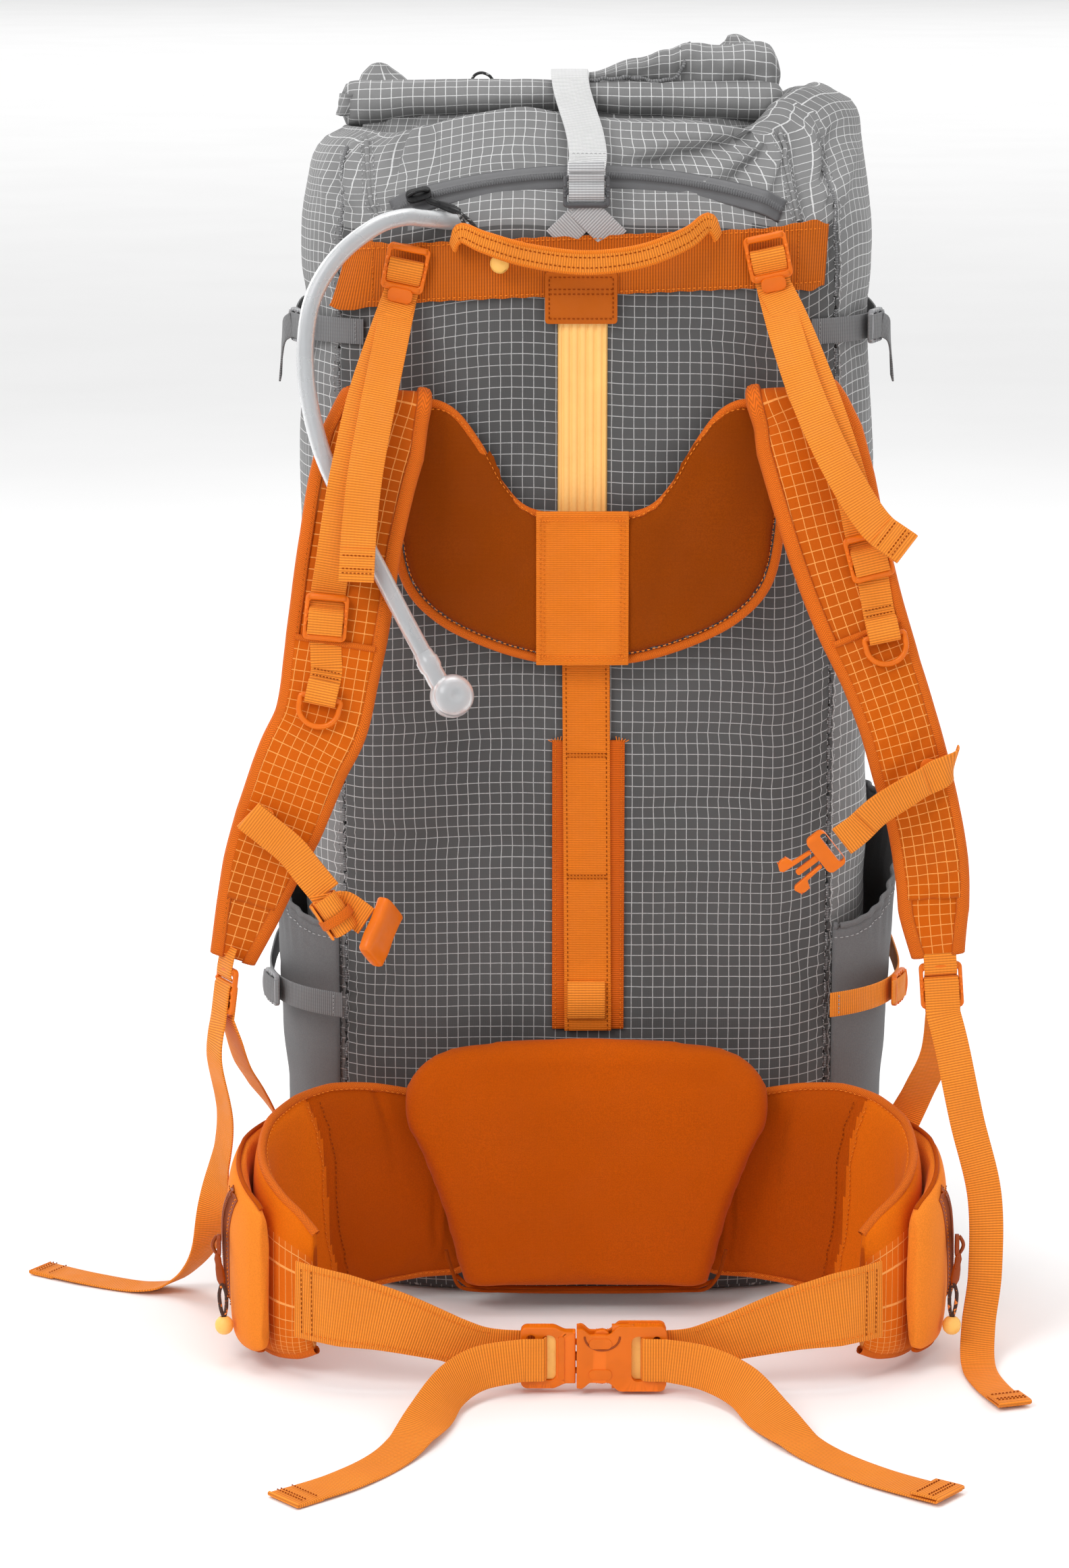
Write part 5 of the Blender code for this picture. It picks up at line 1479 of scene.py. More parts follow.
def make_handle():
    """The grab handle: folded webbing with a piped edge and a row of stitches along each side."""
    path = smooth_path(HANDLE_ROUTE, 90)
    across = [(0, 0.3, 1), (0, -0.25, 1), (0, -0.25, 1), (0, -0.25, 1), (0, 0.3, 1)]
    width = [0.0085, 0.0115, 0.0120, 0.0115, 0.0085]
    parts = [ribbon("loop", path, width, across, "webbing", thickness=0.0026, columns=8, crown=0.0008)]
    turned = fade(across, len(path))
    for sign in (-1, 1):
        edge = []
        for k, point in enumerate(path):
            ahead = (path[min(k + 1, 89)] - path[max(k - 1, 0)]).normalized()
            side = (turned[k] - ahead * turned[k].dot(ahead)).normalized()
            edge.append(point + side * sign * spread(width, k / 89) / 2)
        parts.append(tube("piping", edge, [0.0011, 0.0015, 0.0015, 0.0015, 0.0011], "torso", 8))
        lifted = []
        for k, point in enumerate(path[4:-4]):
            lifted.append(point.lerp(edge[k + 4], 0.52) + Vector((0, -0.0016, 0)))
        parts.append(stitches("row", lifted, (0, -1, 0.2), "thread_dark", 0.0026))
    handle = joined("grab_handle", parts, slot="webbing_orange", stands_for=("haul_handle",))
    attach(handle, "handle")


# -------------------------------------------------------------- top strap
# The adjuster is this much shorter than the load lifters' locks
ADJUSTER_SCALE = 0.70


def top_strap_frame():
    """Where the adjuster of the top strap sits."""
    return frame_at(
        (-0.001, -0.1180, 0.6685), lean=math.radians(-14)
    ) @ Matrix.Diagonal((1, 1, ADJUSTER_SCALE, 1))


def make_top_strap():
    """The strap over the roll, its adjuster, its anchor and its free end."""
    matrix = top_strap_frame()
    parts = lock_parts(matrix, 0.022, "grey_plastic", False)
    joined("top_adjuster", parts, "root", "buckle_grey", ("top_strap_adjuster",))
    over = [
        (0.000, -0.1010, 0.6890), (-0.002, -0.0800, 0.7010), (-0.006, -0.0540, 0.7130),
        (-0.009, -0.0370, 0.7230), (-0.010, -0.0220, 0.7305), (-0.010, 0.0000, 0.7325),
        (-0.009, 0.0240, 0.7270), (-0.007, 0.0520, 0.7110), (-0.004, 0.0880, 0.6820),
        (0.000, 0.1150, 0.6350), (0.000, 0.1190, 0.5800),
    ]
    hook = laced(matrix, [
        (WEAVE + 0.0014, 0.0020), (WEAVE + 0.0016, 0.0070), (WEAVE + 0.0010, 0.0145),
    ])
    path = hook + smooth_path([hook[-1] + Vector((0, 0.002, 0.004))] + over, 110)
    strap = ribbon("strap", path, 0.022, (1, 0, 0), "grey_webbing", columns=8, crown=0.0004)
    tacked = [strap]
    for z in (0.690, 0.6935):
        line = [Vector((x, -0.1065 + (0.694 - z), z - 0.004)) for x in (-0.009, 0.0, 0.010)]
        tacked.append(stitches("tack", line, (0, -1, 0.6), "thread_grey", 0.0022))
    for z in (0.584, 0.5865, 0.601, 0.6035):
        line = [Vector((x, 0.1205 - 0.10 * max(z - 0.592, 0), z)) for x in (-0.009, 0.0, 0.009)]
        tacked.append(stitches("foot", line, (0, 1, 0), "thread_grey", 0.0022))
    band = joined("top_strap_webbing", tacked, slot="webbing_grey", stands_for=("top_strap",))
    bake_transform(band)

    anchors = []
    for sign in (-1, 1):
        low = Vector((sign * 0.0175 - 0.001, -0.1172, 0.6400))
        high = matrix @ Vector((-sign * 0.0040, 0.0022 - 0.0008 * sign, -LOCK_HEIGHT / 2 + 0.0030))
        line = smooth_path([low, low.lerp(high, 0.5) + Vector((0, -0.0012, 0)), high], 16)
        anchors.append(ribbon("leg", line, 0.0165, (1, 0, 0.62 * sign), "mid_webbing", columns=5))
    turn = laced(matrix, [
        (WEAVE, -0.0150), (WEAVE, -0.0110), (0.0002, -0.0078), (-WEAVE * 0.9, -0.0040), (-WEAVE, 0.0),
        (-WEAVE * 0.9, 0.0040), (0.0002, 0.0078), (WEAVE, 0.0110),
    ])
    anchors.append(ribbon("turn", smooth_path(turn, 18), 0.0205, (1, 0, 0), "mid_webbing", columns=5))
    joined("top_strap_anchor", anchors, "root", "webbing_grey")

    tail = laced(matrix, [
        (0.0004, 0.0050), (-0.0010, 0.0078), (-0.0030, 0.0130), (-0.0024, 0.0190), (-0.0022, 0.0222),
        (-0.0042, 0.0228), (-0.0050, 0.0180), (-0.0046, 0.0150),
    ])
    ribbon(
        "top_strap_fold", smooth_path(tail, 34), 0.0205, (1, 0, 0.06), "mid_webbing", "root",
        columns=6
    )


# ------------------------------------------------------------------- zips
ZIP_RADIUS = 0.3165
ZIP_TILT = math.radians(35)
ZIP_CREST = Vector((0, -0.0905, 0.6745))
ZIP_HALF_ANGLE = math.asin(0.111 / ZIP_RADIUS)
ZIP_OUT = Vector((0, -math.cos(ZIP_TILT), math.sin(ZIP_TILT)))
ZIP_UP = Vector((0, math.sin(ZIP_TILT), math.cos(ZIP_TILT)))


def zip_point(angle, proud, up=0.0):
    """A point along the arc of the main zip, which lies in a leaning plane."""
    radial = Vector((math.sin(angle), 0, 0)) + ZIP_UP * math.cos(angle)
    return ZIP_CREST + (radial - ZIP_UP) * ZIP_RADIUS + ZIP_OUT * proud + radial * up


def tape_parts(centre_line, up, out, width, material, thread, teeth=0.0016):
    """Zip tape along a line: two coated tapes, a toothed ridge and stitches."""
    count = len(centre_line)
    parts, length = [], sum((q - p).length for p, q in zip(centre_line, centre_line[1:]))
    rows = []
    profile = [(-0.5, 0.0), (-0.42, 0.0004), (-0.26, 0.0006), (-0.12, 0.0008), (-0.06, 0.0022), (0.0, 0.0026),
               (0.06, 0.0022), (0.12, 0.0008), (0.26, 0.0006), (0.42, 0.0004), (0.5, 0.0)]
    for k in range(count):
        rows.append([centre_line[k] + up[k] * width * a + out[k] * b for a, b in profile])
    mesh = mesh_of("tape", lambda work: lattice(
        work, rows, uv=lambda i, j, r, c: (width * profile[j][0], length * i / (count - 1))))
    parts.append(thicken(add("tape", mesh, material), 0.0008, -1.0))

    def coil(work):
        pieces = int(length / teeth)
        line = even(centre_line, pieces)
        ups, outs = fade(up, pieces), fade(out, pieces)
        for k in range(1, pieces - 1):
            ahead = (line[k + 1] - line[k - 1]).normalized() * teeth * 0.30
            rise = outs[k] * 0.0027
            ends = [line[k] + rise + ups[k] * 0.0019 * s for s in (-1, 0, 1)]
            ends[1] = ends[1] + outs[k] * 0.0006
            rows, _ = tube_rows(ends, ahead.length, 6)
            lattice(work, rows, True)
    parts.append(add("coil", mesh_of("coil", coil), material))
    for edge in (-0.40, 0.40):
        line = [centre_line[k] + up[k] * width * edge + out[k] * 0.0006 for k in range(count)]
        parts.append(stitches("row", line, out, thread, 0.0030))
    return parts


def slider_parts(matrix, size, pull, cord, bead, tone, bead_tone, turn_up=(0, -1, 0)):
    """A zip slider with its moulded pull, flecked cord and bead."""
    def body(work):
        rounded_plate(work, size[0], size[2], size[1] * 0.45, size[2] * 0.42, [])
    parts = [moulding("body", matrix @ Matrix.Translation((0, -size[1] * 0.2, 0)), tone, body, 0.0006)]

    def bridge(work):
        path = [
            Vector((size[0] * t, -size[1] * (0.45 + 0.55 * math.sin(math.pi * (t + 0.42) / 0.84)), 0))
            for t in (k * 0.084 - 0.42 for k in range(11))
        ]
        rows, _ = tube_rows(path, 0.0011, 10, 0.8)
        capped_lattice(work, rows)
    parts.append(add("bridge", mesh_of("bridge", bridge), tone, matrix=matrix))
    start, end = Vector(pull[0]), Vector(pull[1])
    line = [start.lerp(end, t) for t in (k / 12 for k in range(13))]
    parts.append(
        tube("pull", line, [0.0010, 0.0021, 0.0019, 0.0024, 0.0026, 0.0026, 0.0016], tone, 12, 0.6, turn_up)
    )
    hang = Vector(cord[1]) - Vector(cord[0])
    side = hang.cross(Vector((0, 1, 0))).normalized()
    for sign in (-1, 1):
        loop = smooth_path([
            cord[0], Vector(cord[0]) + hang * 0.3 + side * 0.0020 * sign,
            Vector(cord[0]) + hang * 0.7 + side * 0.0016 * sign, cord[1],
        ], 24)
        parts.append(
            tube("cord", loop, 0.00115, "dark_cord" if tone == "black_plastic" else "orange_cord", 8)
        )
    parts.append(bead_piece(Vector(bead), hang.normalized(), 0.0054, bead_tone))
    return parts


def bead_piece(centre, axis, radius, material):
    """A round bead with a hole and a moulded rim at each end."""
    profile = [(-0.90, 0.30), (-0.96, 0.40), (-0.86, 0.58), (-0.60, 0.83), (-0.25, 0.98), (0.0, 1.0),
               (0.25, 0.98), (0.60, 0.83), (0.86, 0.58), (0.96, 0.40), (0.90, 0.30)]
    side = axis.cross(Vector((0, 1, 0.3))).normalized()
    lift = side.cross(axis)
    rows = [[centre + axis * d * radius + (side * math.cos(a) + lift * math.sin(a)) * r * radius
             for a in (2 * math.pi * k / 20 for k in range(20))] for d, r in profile]
    return add("bead", mesh_of("bead", lambda work: lattice(work, rows, True)), material)


def make_main_zip():
    """The arched zip of the top panel and the slider that runs along it."""
    angles = [ZIP_HALF_ANGLE * (2 * k / 80 - 1) * 1.02 for k in range(81)]
    line = [zip_point(a, 0.0004 - 0.0042 * ease(0.90, 1.0, abs(a) / angles[-1])) for a in angles]
    up = [(Vector((math.sin(a), 0, 0)) + ZIP_UP * math.cos(a)).normalized() for a in angles]
    out = [ZIP_OUT] * len(angles)
    parts = tape_parts(line, up, out, 0.0155, "zip_tape", "thread_grey", 0.0015)
    joined("top_zip_tape", parts, "root", "ripstop")
    at = zip_point(-ZIP_HALF_ANGLE * 0.88, 0.0060)
    turned = Matrix.Translation(at) @ Matrix.Rotation(-ZIP_TILT, 4, "X") @ Matrix.Rotation(
        math.radians(-17), 4, "Y"
    )
    slider = slider_parts(
        turned, (0.0150, 0.0048, 0.0086),
        (at + Vector((0.004, -0.0025, -0.002)), at + Vector((0.024, -0.0150, -0.008))),
        (at + Vector((0.023, -0.0148, -0.008)), at + Vector((0.0455, -0.0222, -0.0345))),
        at + Vector((0.0470, -0.0232, -0.0375)), "black_plastic", "bead",
    )
    joined("top_zip_slider", slider, "zip_main", "zip_hardware", ("main_zip_slider",))


# ---------------------------------------------------------------- pockets
def pocket_point(angle_share, up, side, proud=0.0):
    """A point on a side pocket, across from front to back and up to its top."""
    edge = SEAM_ANGLE - math.radians(1.5)
    angle = -edge + 2 * edge * angle_share
    across = abs(math.cos(math.pi * (angle_share - 0.5)))
    slant = 0.225 + 0.055 * ease(0.0, 0.8, angle_share)
    z = 0.035 + (slant - 0.035) * up
    out = 0.0012 + 0.0178 * across ** 0.7 * (0.10 + 0.90 * up ** 0.6) * (1 if up > 0 else 0)
    gather = 0.0012 * math.sin(angle_share * 95) * ease(0.80, 1.0, up) * across
    slack = 0.0016 * noise.noise(Vector((angle_share * 5, up * 9, side * 3.0))) * ease(0.0, 0.3, up) * across
    point = bag_point(angle, z, out + gather + slack + proud)
    return Vector((side * point.x, point.y, point.z))


def make_pockets():
    """Stretch side pockets with a bound, gathered edge."""
    for name, side in SIDES:
        rows = [[pocket_point(c / 72, r / 44, side) for c in range(73)] for r in range(45)]
        mesh = mesh_of(
            "pocket",
            lambda work: lattice(work, rows, uv=lambda i, j, r, c: (j * 0.0031, i * 0.005))
        )
        cloth = add("cloth", mesh, "stretch")
        middle = cloth.data.polygons[len(cloth.data.polygons) // 2]
        if middle.normal.x * side < 0:
            cloth.data.flip_normals()
        thicken(cloth, 0.0012, 1.0)
        top = [pocket_point(c / 110, 1.0, side, 0.0007) for c in range(111)]
        hem = [p + Vector((0, 0, 0.0004)) for p in top]
        parts = [cloth, tube("hem", hem, 0.0024, "stretch", 10, 0.62, (side, 0, 0))]
        low = [pocket_point(c / 110, 0.965, side, 0.0016) for c in range(111)]
        outward = [Vector((side, 0.0, 0.0))]
        parts.append(stitches("row", low, outward, "thread_grey", 0.0034))
        foot = [pocket_point(c / 60, 0.0, side, 0.0006) for c in range(61)]
        parts.append(tube("foot", foot, 0.0016, "stretch", 8))
        joined("side_pocket_cloth_" + name, parts, "root", "stretch", ("side_pocket_" + name,))


# -------------------------------------------------------------- side straps
def side_strap_line(side, z, proud, low=-52, high=44, count=80):
    """The line of a compression strap round a side panel."""
    line = []
    for k in range(count):
        angle = math.radians(low + (high - low) * k / (count - 1))
        point = bag_point(angle, z, proud)
        line.append(Vector((side * point.x, point.y, point.z)))
    return line


def make_side_straps():
    """Compression straps across each side panel, with their locks and tails."""
    for level, z in (("upper", 0.586), ("lower", 0.184)):
        proud = 0.0020 if level == "upper" else 0.0225
        for name, side in SIDES:
            orange = (level, name) == ("lower", "right")
            cloth = "webbing" if orange else "dark_webbing"
            slot = "webbing_orange" if orange else "webbing_grey"
            line = side_strap_line(side, z, proud)
            parts = [ribbon("strap", line, 0.015, (0, 0, 1), cloth, columns=5)]
            for spot in (0.03, 0.97):
                at = line[int(spot * (len(line) - 1))]
                out = Vector((at.x, at.y, 0)).normalized()
                tack = [at + out * 0.0010 + Vector((0, 0, d)) for d in (-0.0055, 0.0, 0.0055)]
                parts.append(stitches("tack", tack, out, "thread_grey", 0.0020))
            k = 26
            ahead = (line[k + 1] - line[k - 1]).normalized()
            out = Vector((ahead.y, -ahead.x, 0)) * side
            if out.x * side < 0:
                out = -out
            at = line[k] + out * (WEAVE + 0.0012)
            space = Matrix.Identity(4)
            axes = (Vector((0, 0, 1)), -out, ahead * 1.0)
            for column, axis in enumerate(axes):
                for r in range(3):
                    space[r][column] = axis[r]
            space = Matrix.Translation(at) @ space
            tone = "orange_plastic" if orange else "light_grey_plastic"
            parts += lock_parts(space, 0.015, tone, height=0.0235)
            over = [
                at + out * d + ahead * s for d,
                s in ((0.0004, -0.016), (0.0016, -0.010), (0.0024, 0.0), (0.0020, 0.008))
            ]
            parts.append(ribbon("over", smooth_path(over, 20), 0.0148, (0, 0, 1), cloth, columns=5))
            hang = [at + out * d + ahead * s + Vector((0, 0, h)) for d, s, h in
                    (
                        (0.0026, 0.004, 0.0), (0.0046, 0.012, -0.004), (0.0040, 0.020, -0.016),
                        (0.0042, 0.024, -0.034)
                    )]
            if level == "upper":
                parts.append(
                    ribbon(
                        "tail", smooth_path(hang, 24), 0.0145,
                        [(0, 0, 1), (0.0, 0.6, 0.7), (0, 1, 0.1)], cloth, columns=5
                    )
                )
            joined(f"side_strap_{level}_{name}_webbing", parts, "root", slot, (f"side_strap_{level}_{name}",))


# ---------------------------------------------------------------- the inside
def make_inside():
    """Finer pieces in place of the plain ones inside the bag."""
    def sheet(work):
        rounded_plate(work, 0.210, 0.545, 0.0020, 0.022,
                      [(0.012, 0.040, 0.0055, x, z) for x in (-0.07, 0.07) for z in (-0.2, -0.1, 0.1, 0.2)])
    moulding("frame_sheet_panel", Matrix.Translation((0, -0.1000, 0.3175)), "frame_sheet", sheet, 0.0006,
             body="root", slot="frame_plastic", stands_for=("frame_sheet",))

    def stay(work):
        rounded_plate(
            work, 0.014, 0.54, 0.0030, 0.0065,
            [(0.005, 0.005, 0.0024, 0, z) for z in (-0.262, 0.262)]
        )
    moulding("frame_stay_bar", Matrix.Translation((0, -0.0970, 0.31)), "aluminium", stay, 0.0005,
             body="root", slot="stay", stands_for=("frame_stay",))
    rows = []
    for r in range(41):
        t = r / 40
        z = 0.262 + 0.316 * t
        pinch = math.sin(math.pi * min(max(t, 0.004), 0.996)) ** 0.35
        rows.append([
            Vector((
                (0.060 + 0.0145 * pinch) * math.copysign(abs(math.cos(a)) ** 0.55, math.cos(a)),
                -0.080 + (0.0012 + 0.0112 * pinch) * math.copysign(abs(math.sin(a)) ** 0.9, math.sin(a)),
                z,
            ))
            for a in (2 * math.pi * k / 64 for k in range(64))
        ])

    def pouch(work):
        capped_lattice(work, rows)
    parts = [add("pouch", mesh_of("pouch", pouch), "tube")]
    cap = [(0.0, 0.015), (0.0, 0.0165), (0.0015, 0.0175), (0.0060, 0.0175), (0.0080, 0.0160), (0.0084, 0.0)]
    ring = [
        [
            Vector((r * math.cos(a), -0.0925 - d * 0.5, 0.53 + r * math.sin(a)))
            for a in (2 * math.pi * k / 28 for k in range(28))
        ]
        for d, r in cap
    ]
    parts.append(add("cap", mesh_of("cap", lambda work: lattice(work, ring, True)), "valve"))
    joined("water_reservoir", parts, "root", "clear_tube", ("hydration_reservoir",))


# ------------------------------------------------------------------ harness
STRAP_ROUTES = {
    "left": {
        "centre": [
            (-0.122, 0.532), (-0.1185, 0.546), (-0.116, 0.551), (-0.121, 0.537), (-0.130, 0.506),
            (-0.137, 0.470), (-0.142, 0.435), (-0.147, 0.404), (-0.153, 0.373), (-0.164, 0.350),
            (-0.176, 0.319), (-0.187, 0.291), (-0.197, 0.260), (-0.206, 0.2325),
        ],
        "width": [
            0.042, 0.052, 0.061, 0.060, 0.058, 0.058, 0.057, 0.054, 0.053, 0.052, 0.050, 0.044,
            0.036, 0.026,
        ],
    },
    "right": {
        "centre": [
            (0.124, 0.534), (0.1200, 0.548), (0.117, 0.553), (0.124, 0.539), (0.133, 0.508),
            (0.143, 0.470), (0.154, 0.435), (0.166, 0.404), (0.177, 0.373), (0.185, 0.345),
            (0.193, 0.315), (0.198, 0.285), (0.200, 0.258), (0.203, 0.2345),
        ],
        "width": [
            0.042, 0.053, 0.062, 0.061, 0.058, 0.055, 0.051, 0.046, 0.044, 0.044, 0.042, 0.042,
            0.040, 0.030,
        ],
    },
}
STRAP_DEPTHS = [
    -0.1235, -0.1300, -0.1380, -0.1460, -0.1590, -0.1720, -0.1820, -0.1890, -0.1950,
    -0.1990, -0.2010, -0.2010, -0.1980, -0.1950,
]
LUMBAR_HALF = [
    (0.0, 0.0130), (0.050, 0.0135), (0.074, 0.0155), (0.0800, 0.026), (0.089, 0.060),
    (0.101, 0.095), (0.1095, 0.118), (0.1105, 0.132), (0.107, 0.147), (0.097, 0.159),
    (0.080, 0.167), (0.055, 0.171), (0.030, 0.173), (0.0, 0.174),
]
YOKE_HALF = [
    (0.0, 0.395), (0.030, 0.397), (0.060, 0.406), (0.087, 0.420), (0.105, 0.440),
    (0.1120, 0.470), (0.1130, 0.510), (0.108, 0.535), (0.095, 0.5465), (0.079, 0.5415),
    (0.064, 0.522), (0.052, 0.500), (0.034, 0.483), (0.0, 0.479),
]


def strap_front(z):
    """How far forward the outer face of a hanging strap is at a height."""
    heights = [0.551, 0.537, 0.506, 0.470, 0.435, 0.404, 0.373, 0.350, 0.319, 0.291, 0.260, 0.2325]
    depths = STRAP_DEPTHS[2:]
    for k in range(len(heights) - 1):
        if heights[k] >= z >= heights[k + 1]:
            share = (heights[k] - z) / (heights[k] - heights[k + 1])
            return depths[k] + (depths[k + 1] - depths[k]) * share - STRAP_THICKNESS / 2
    return depths[0 if z > heights[0] else -1] - STRAP_THICKNESS / 2


def mirrored(half):
    """A full outline from its half at +X, listed from the bottom to the top."""
    return half + [(-x, z) for x, z in reversed(half) if x > 0]


def closed_smooth(outline, count):
    """A smooth closed outline through the given corners."""
    points = [Vector((x, 0, z)) for x, z in outline]
    loop = points[-3:] + points + points[:3]
    path = smooth_path(loop, count * 4)
    first = min(range(len(path) // 3), key=lambda k: (path[k] - points[0]).length)
    turned = [p for p in path[first:]]
    last = min(range(len(turned) // 2, len(turned)), key=lambda k: (turned[k] - points[0]).length)
    return even(turned[:last + 1], count + 1)[:-1]


def cushion(name, outline, back_y, thickness, material, crown, count=180, rings=16, shape=None):
    """A stuffed pad: rounded edge, flat back and a crowned front."""
    edge = closed_smooth(outline, count)
    middle = sum(edge, Vector()) / len(edge)

    def ring(inset, y):
        made = []
        for point in edge:
            away = point - middle
            inner = middle + away * (
                1 - inset / max(away.length, 1e-6)
            ) if inset < away.length else middle.copy()
            inner.y = y
            made.append(inner)
        return made
    rows = []
    for k in range(7):
        a = math.pi / 2 * k / 6
        r = thickness * 0.42
        rows.append(ring(r * (1 - math.sin(a)), back_y - r * (1 - math.cos(a)) * 0.9))
    for k in range(1, 8):
        a = math.pi / 2 * k / 7
        r = thickness * 0.58
        rows.append(ring(r * (1 - math.cos(a)), back_y - thickness * 0.38 - r * math.sin(a)))
    outer = rows[-1]
    for k in range(1, rings + 1):
        share = k / rings
        row = []
        for point in outer:
            inner = point.lerp(middle, share ** 0.9 * 0.985)
            inner.y = point.y - crown * math.sin(math.pi / 2 * min(share * 2.2, 1.0))
            row.append(inner)
        rows.append(row)
    if shape:
        for row in rows:
            for point in row:
                point.y += shape(point)

    def build(work):
        capped_lattice(work, rows, outward=True)
    return add(name, mesh_of(name, build), material)


def remeshed(piece, voxel):
    """An even closed mesh over a piece, ready for cloth."""
    even_out = piece.modifiers.new("even", "REMESH")
    even_out.mode = "VOXEL"
    even_out.voxel_size = voxel
    even_out.use_smooth_shade = True
    return bake(piece)


def stuffed(piece, pressure, cap, voxel=0.0045, outward_cap=None, held=None, rounds=4):
    """Swells a pad as cloth, smooths it and adds one finer level."""
    material = piece.data.materials[0]
    remeshed(piece, voxel)
    piece.data.materials.clear()
    piece.data.materials.append(material)
    pins = None
    if held:
        pins = [(v.index, 1.0) for v in piece.data.vertices if held(v.co)]
    simulate(piece, pressure, cap, pinned=pins, outward_cap=outward_cap, bending=0.9)
    smoothed(piece, rounds)
    subdivided(piece)
    piece.data.shade_smooth()
    return piece


def edge_binding(name, line, size, material="binding", up=(0, -1, 0)):
    """Folded binding tape over a pad's edge."""
    rows, runs = tube_rows(line, size, 10, 0.86, up)
    girth = 2 * math.pi * spread(size, 0.5)
    mesh = mesh_of(name, lambda work: lattice(work, rows, True, lambda i, j, r, c: (girth * j / 10, runs[i])))
    return add(name, mesh, material)


def make_yoke():
    """The lined yoke pad with its bound edge, and the sleeve on the strip."""
    pad = cushion("yoke", YOKE_HALF_FULL, -0.1209, 0.0088, "lining", 0.0006)

    def dips(point):
        low = 0.0016 * crease(point, (-0.062, 0.505), (-0.040, 0.425), 0.006)
        low += 0.0016 * crease(point, (0.062, 0.505), (0.040, 0.425), 0.006)
        return low + 0.0007 * noise.noise(point * 28)
    for vert in pad.data.vertices:
        if vert.co.y < -0.125:
            vert.co.y += dips(vert.co)
    stuffed(pad, 3.0, 0.003, 0.0035, outward_cap=lambda p: 0.0004)
    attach(pad, "harness")
    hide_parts("yoke_pad")
    edge = closed_smooth(YOKE_HALF_FULL, 300)
    line = [Vector((p.x, -0.1255, p.z)) for p in edge]
    line = line + [line[0]]
    parts = [edge_binding("bind", line, 0.0028)]
    middle = sum(edge, Vector()) / len(edge)
    inner = []
    for p in line:
        away = Vector((p.x, 0, p.z)) - middle
        inner.append(Vector((p.x, -0.1300, p.z)) - away.normalized() * 0.0042)
    parts.append(stitches("row", inner, (0, -1, 0), "thread_orange", 0.0032))
    joined("yoke_binding", parts, "harness", "strap_fabric")

    sleeve_y = -0.1305 - 0.0015
    rows = []
    for r in range(31):
        z = 0.3935 + 0.091 * r / 30
        row = []
        for c in range(41):
            t = 2 * c / 40 - 1
            x = -0.003 + 0.027 * t
            hump = 0.0008 * (1 - abs(t) ** 6) + 0.0004 * noise.noise(Vector((x * 50, z * 50, 1)))
            row.append(Vector((x, sleeve_y - hump + 0.0009, z)))
        rows.append(row)
    mesh = mesh_of("sleeve", lambda work: lattice(work, rows, uv=lambda i, j, r, c: (j * 0.00135, i * 0.003)))
    parts = [thicken(add("sleeve", mesh, "torso"), 0.0016, 0.0, 0.0004)]
    frame_line = [(-0.0245, 0.3965), (0.0245, 0.3965), (0.0245, 0.4815), (-0.0245, 0.4815), (-0.0245, 0.3965)]
    for inset in (0.0, 0.0022):
        line = [
            Vector(
                (
                    -0.003 + x * (1 - inset / 0.0245), sleeve_y - 0.0008,
                    0.439 + (z - 0.439) * (1 - inset / 0.043)
                )
            )
            for x, z in frame_line
        ]
        parts.append(stitches("row", line, (0, -1, 0), "thread_orange", 0.0028))
    for corner_x, corner_z in ((-0.0225, 0.399), (0.0225, 0.399), (-0.0225, 0.479), (0.0225, 0.479)):
        line = [Vector((-0.003 + corner_x + d, sleeve_y - 0.0012, corner_z)) for d in (-0.0028, 0.0, 0.0028)]
        parts.append(stitches("tack", line, (0, -1, 0), "thread_orange", 0.0012))
    joined("yoke_sleeve", parts, "harness", "webbing_orange", ("torso_sleeve",))


YOKE_HALF_FULL = mirrored(YOKE_HALF)


def strap_spine(name, count):
    """The centre line of a shoulder strap and its half width at each point."""
    route = STRAP_ROUTES[name]
    points = [(x, y, z) for (x, z), y in zip(route["centre"], STRAP_DEPTHS)]
    path = smooth_path(points, count)
    halves = [spread(route["width"], k / (count - 1)) / 2 for k in range(count)]
    return path, halves


def strap_frame(path, k):
    """Along, across and outward directions on a strap."""
    ahead = (path[min(k + 1, len(path) - 1)] - path[max(k - 1, 0)]).normalized()
    side = Vector((1, 0, 0))
    side = (side - ahead * side.dot(ahead)).normalized()
    out = ahead.cross(side).normalized()
    if out.y > 0 and k > len(path) * 0.16:
        out = -out
    return ahead, side, out


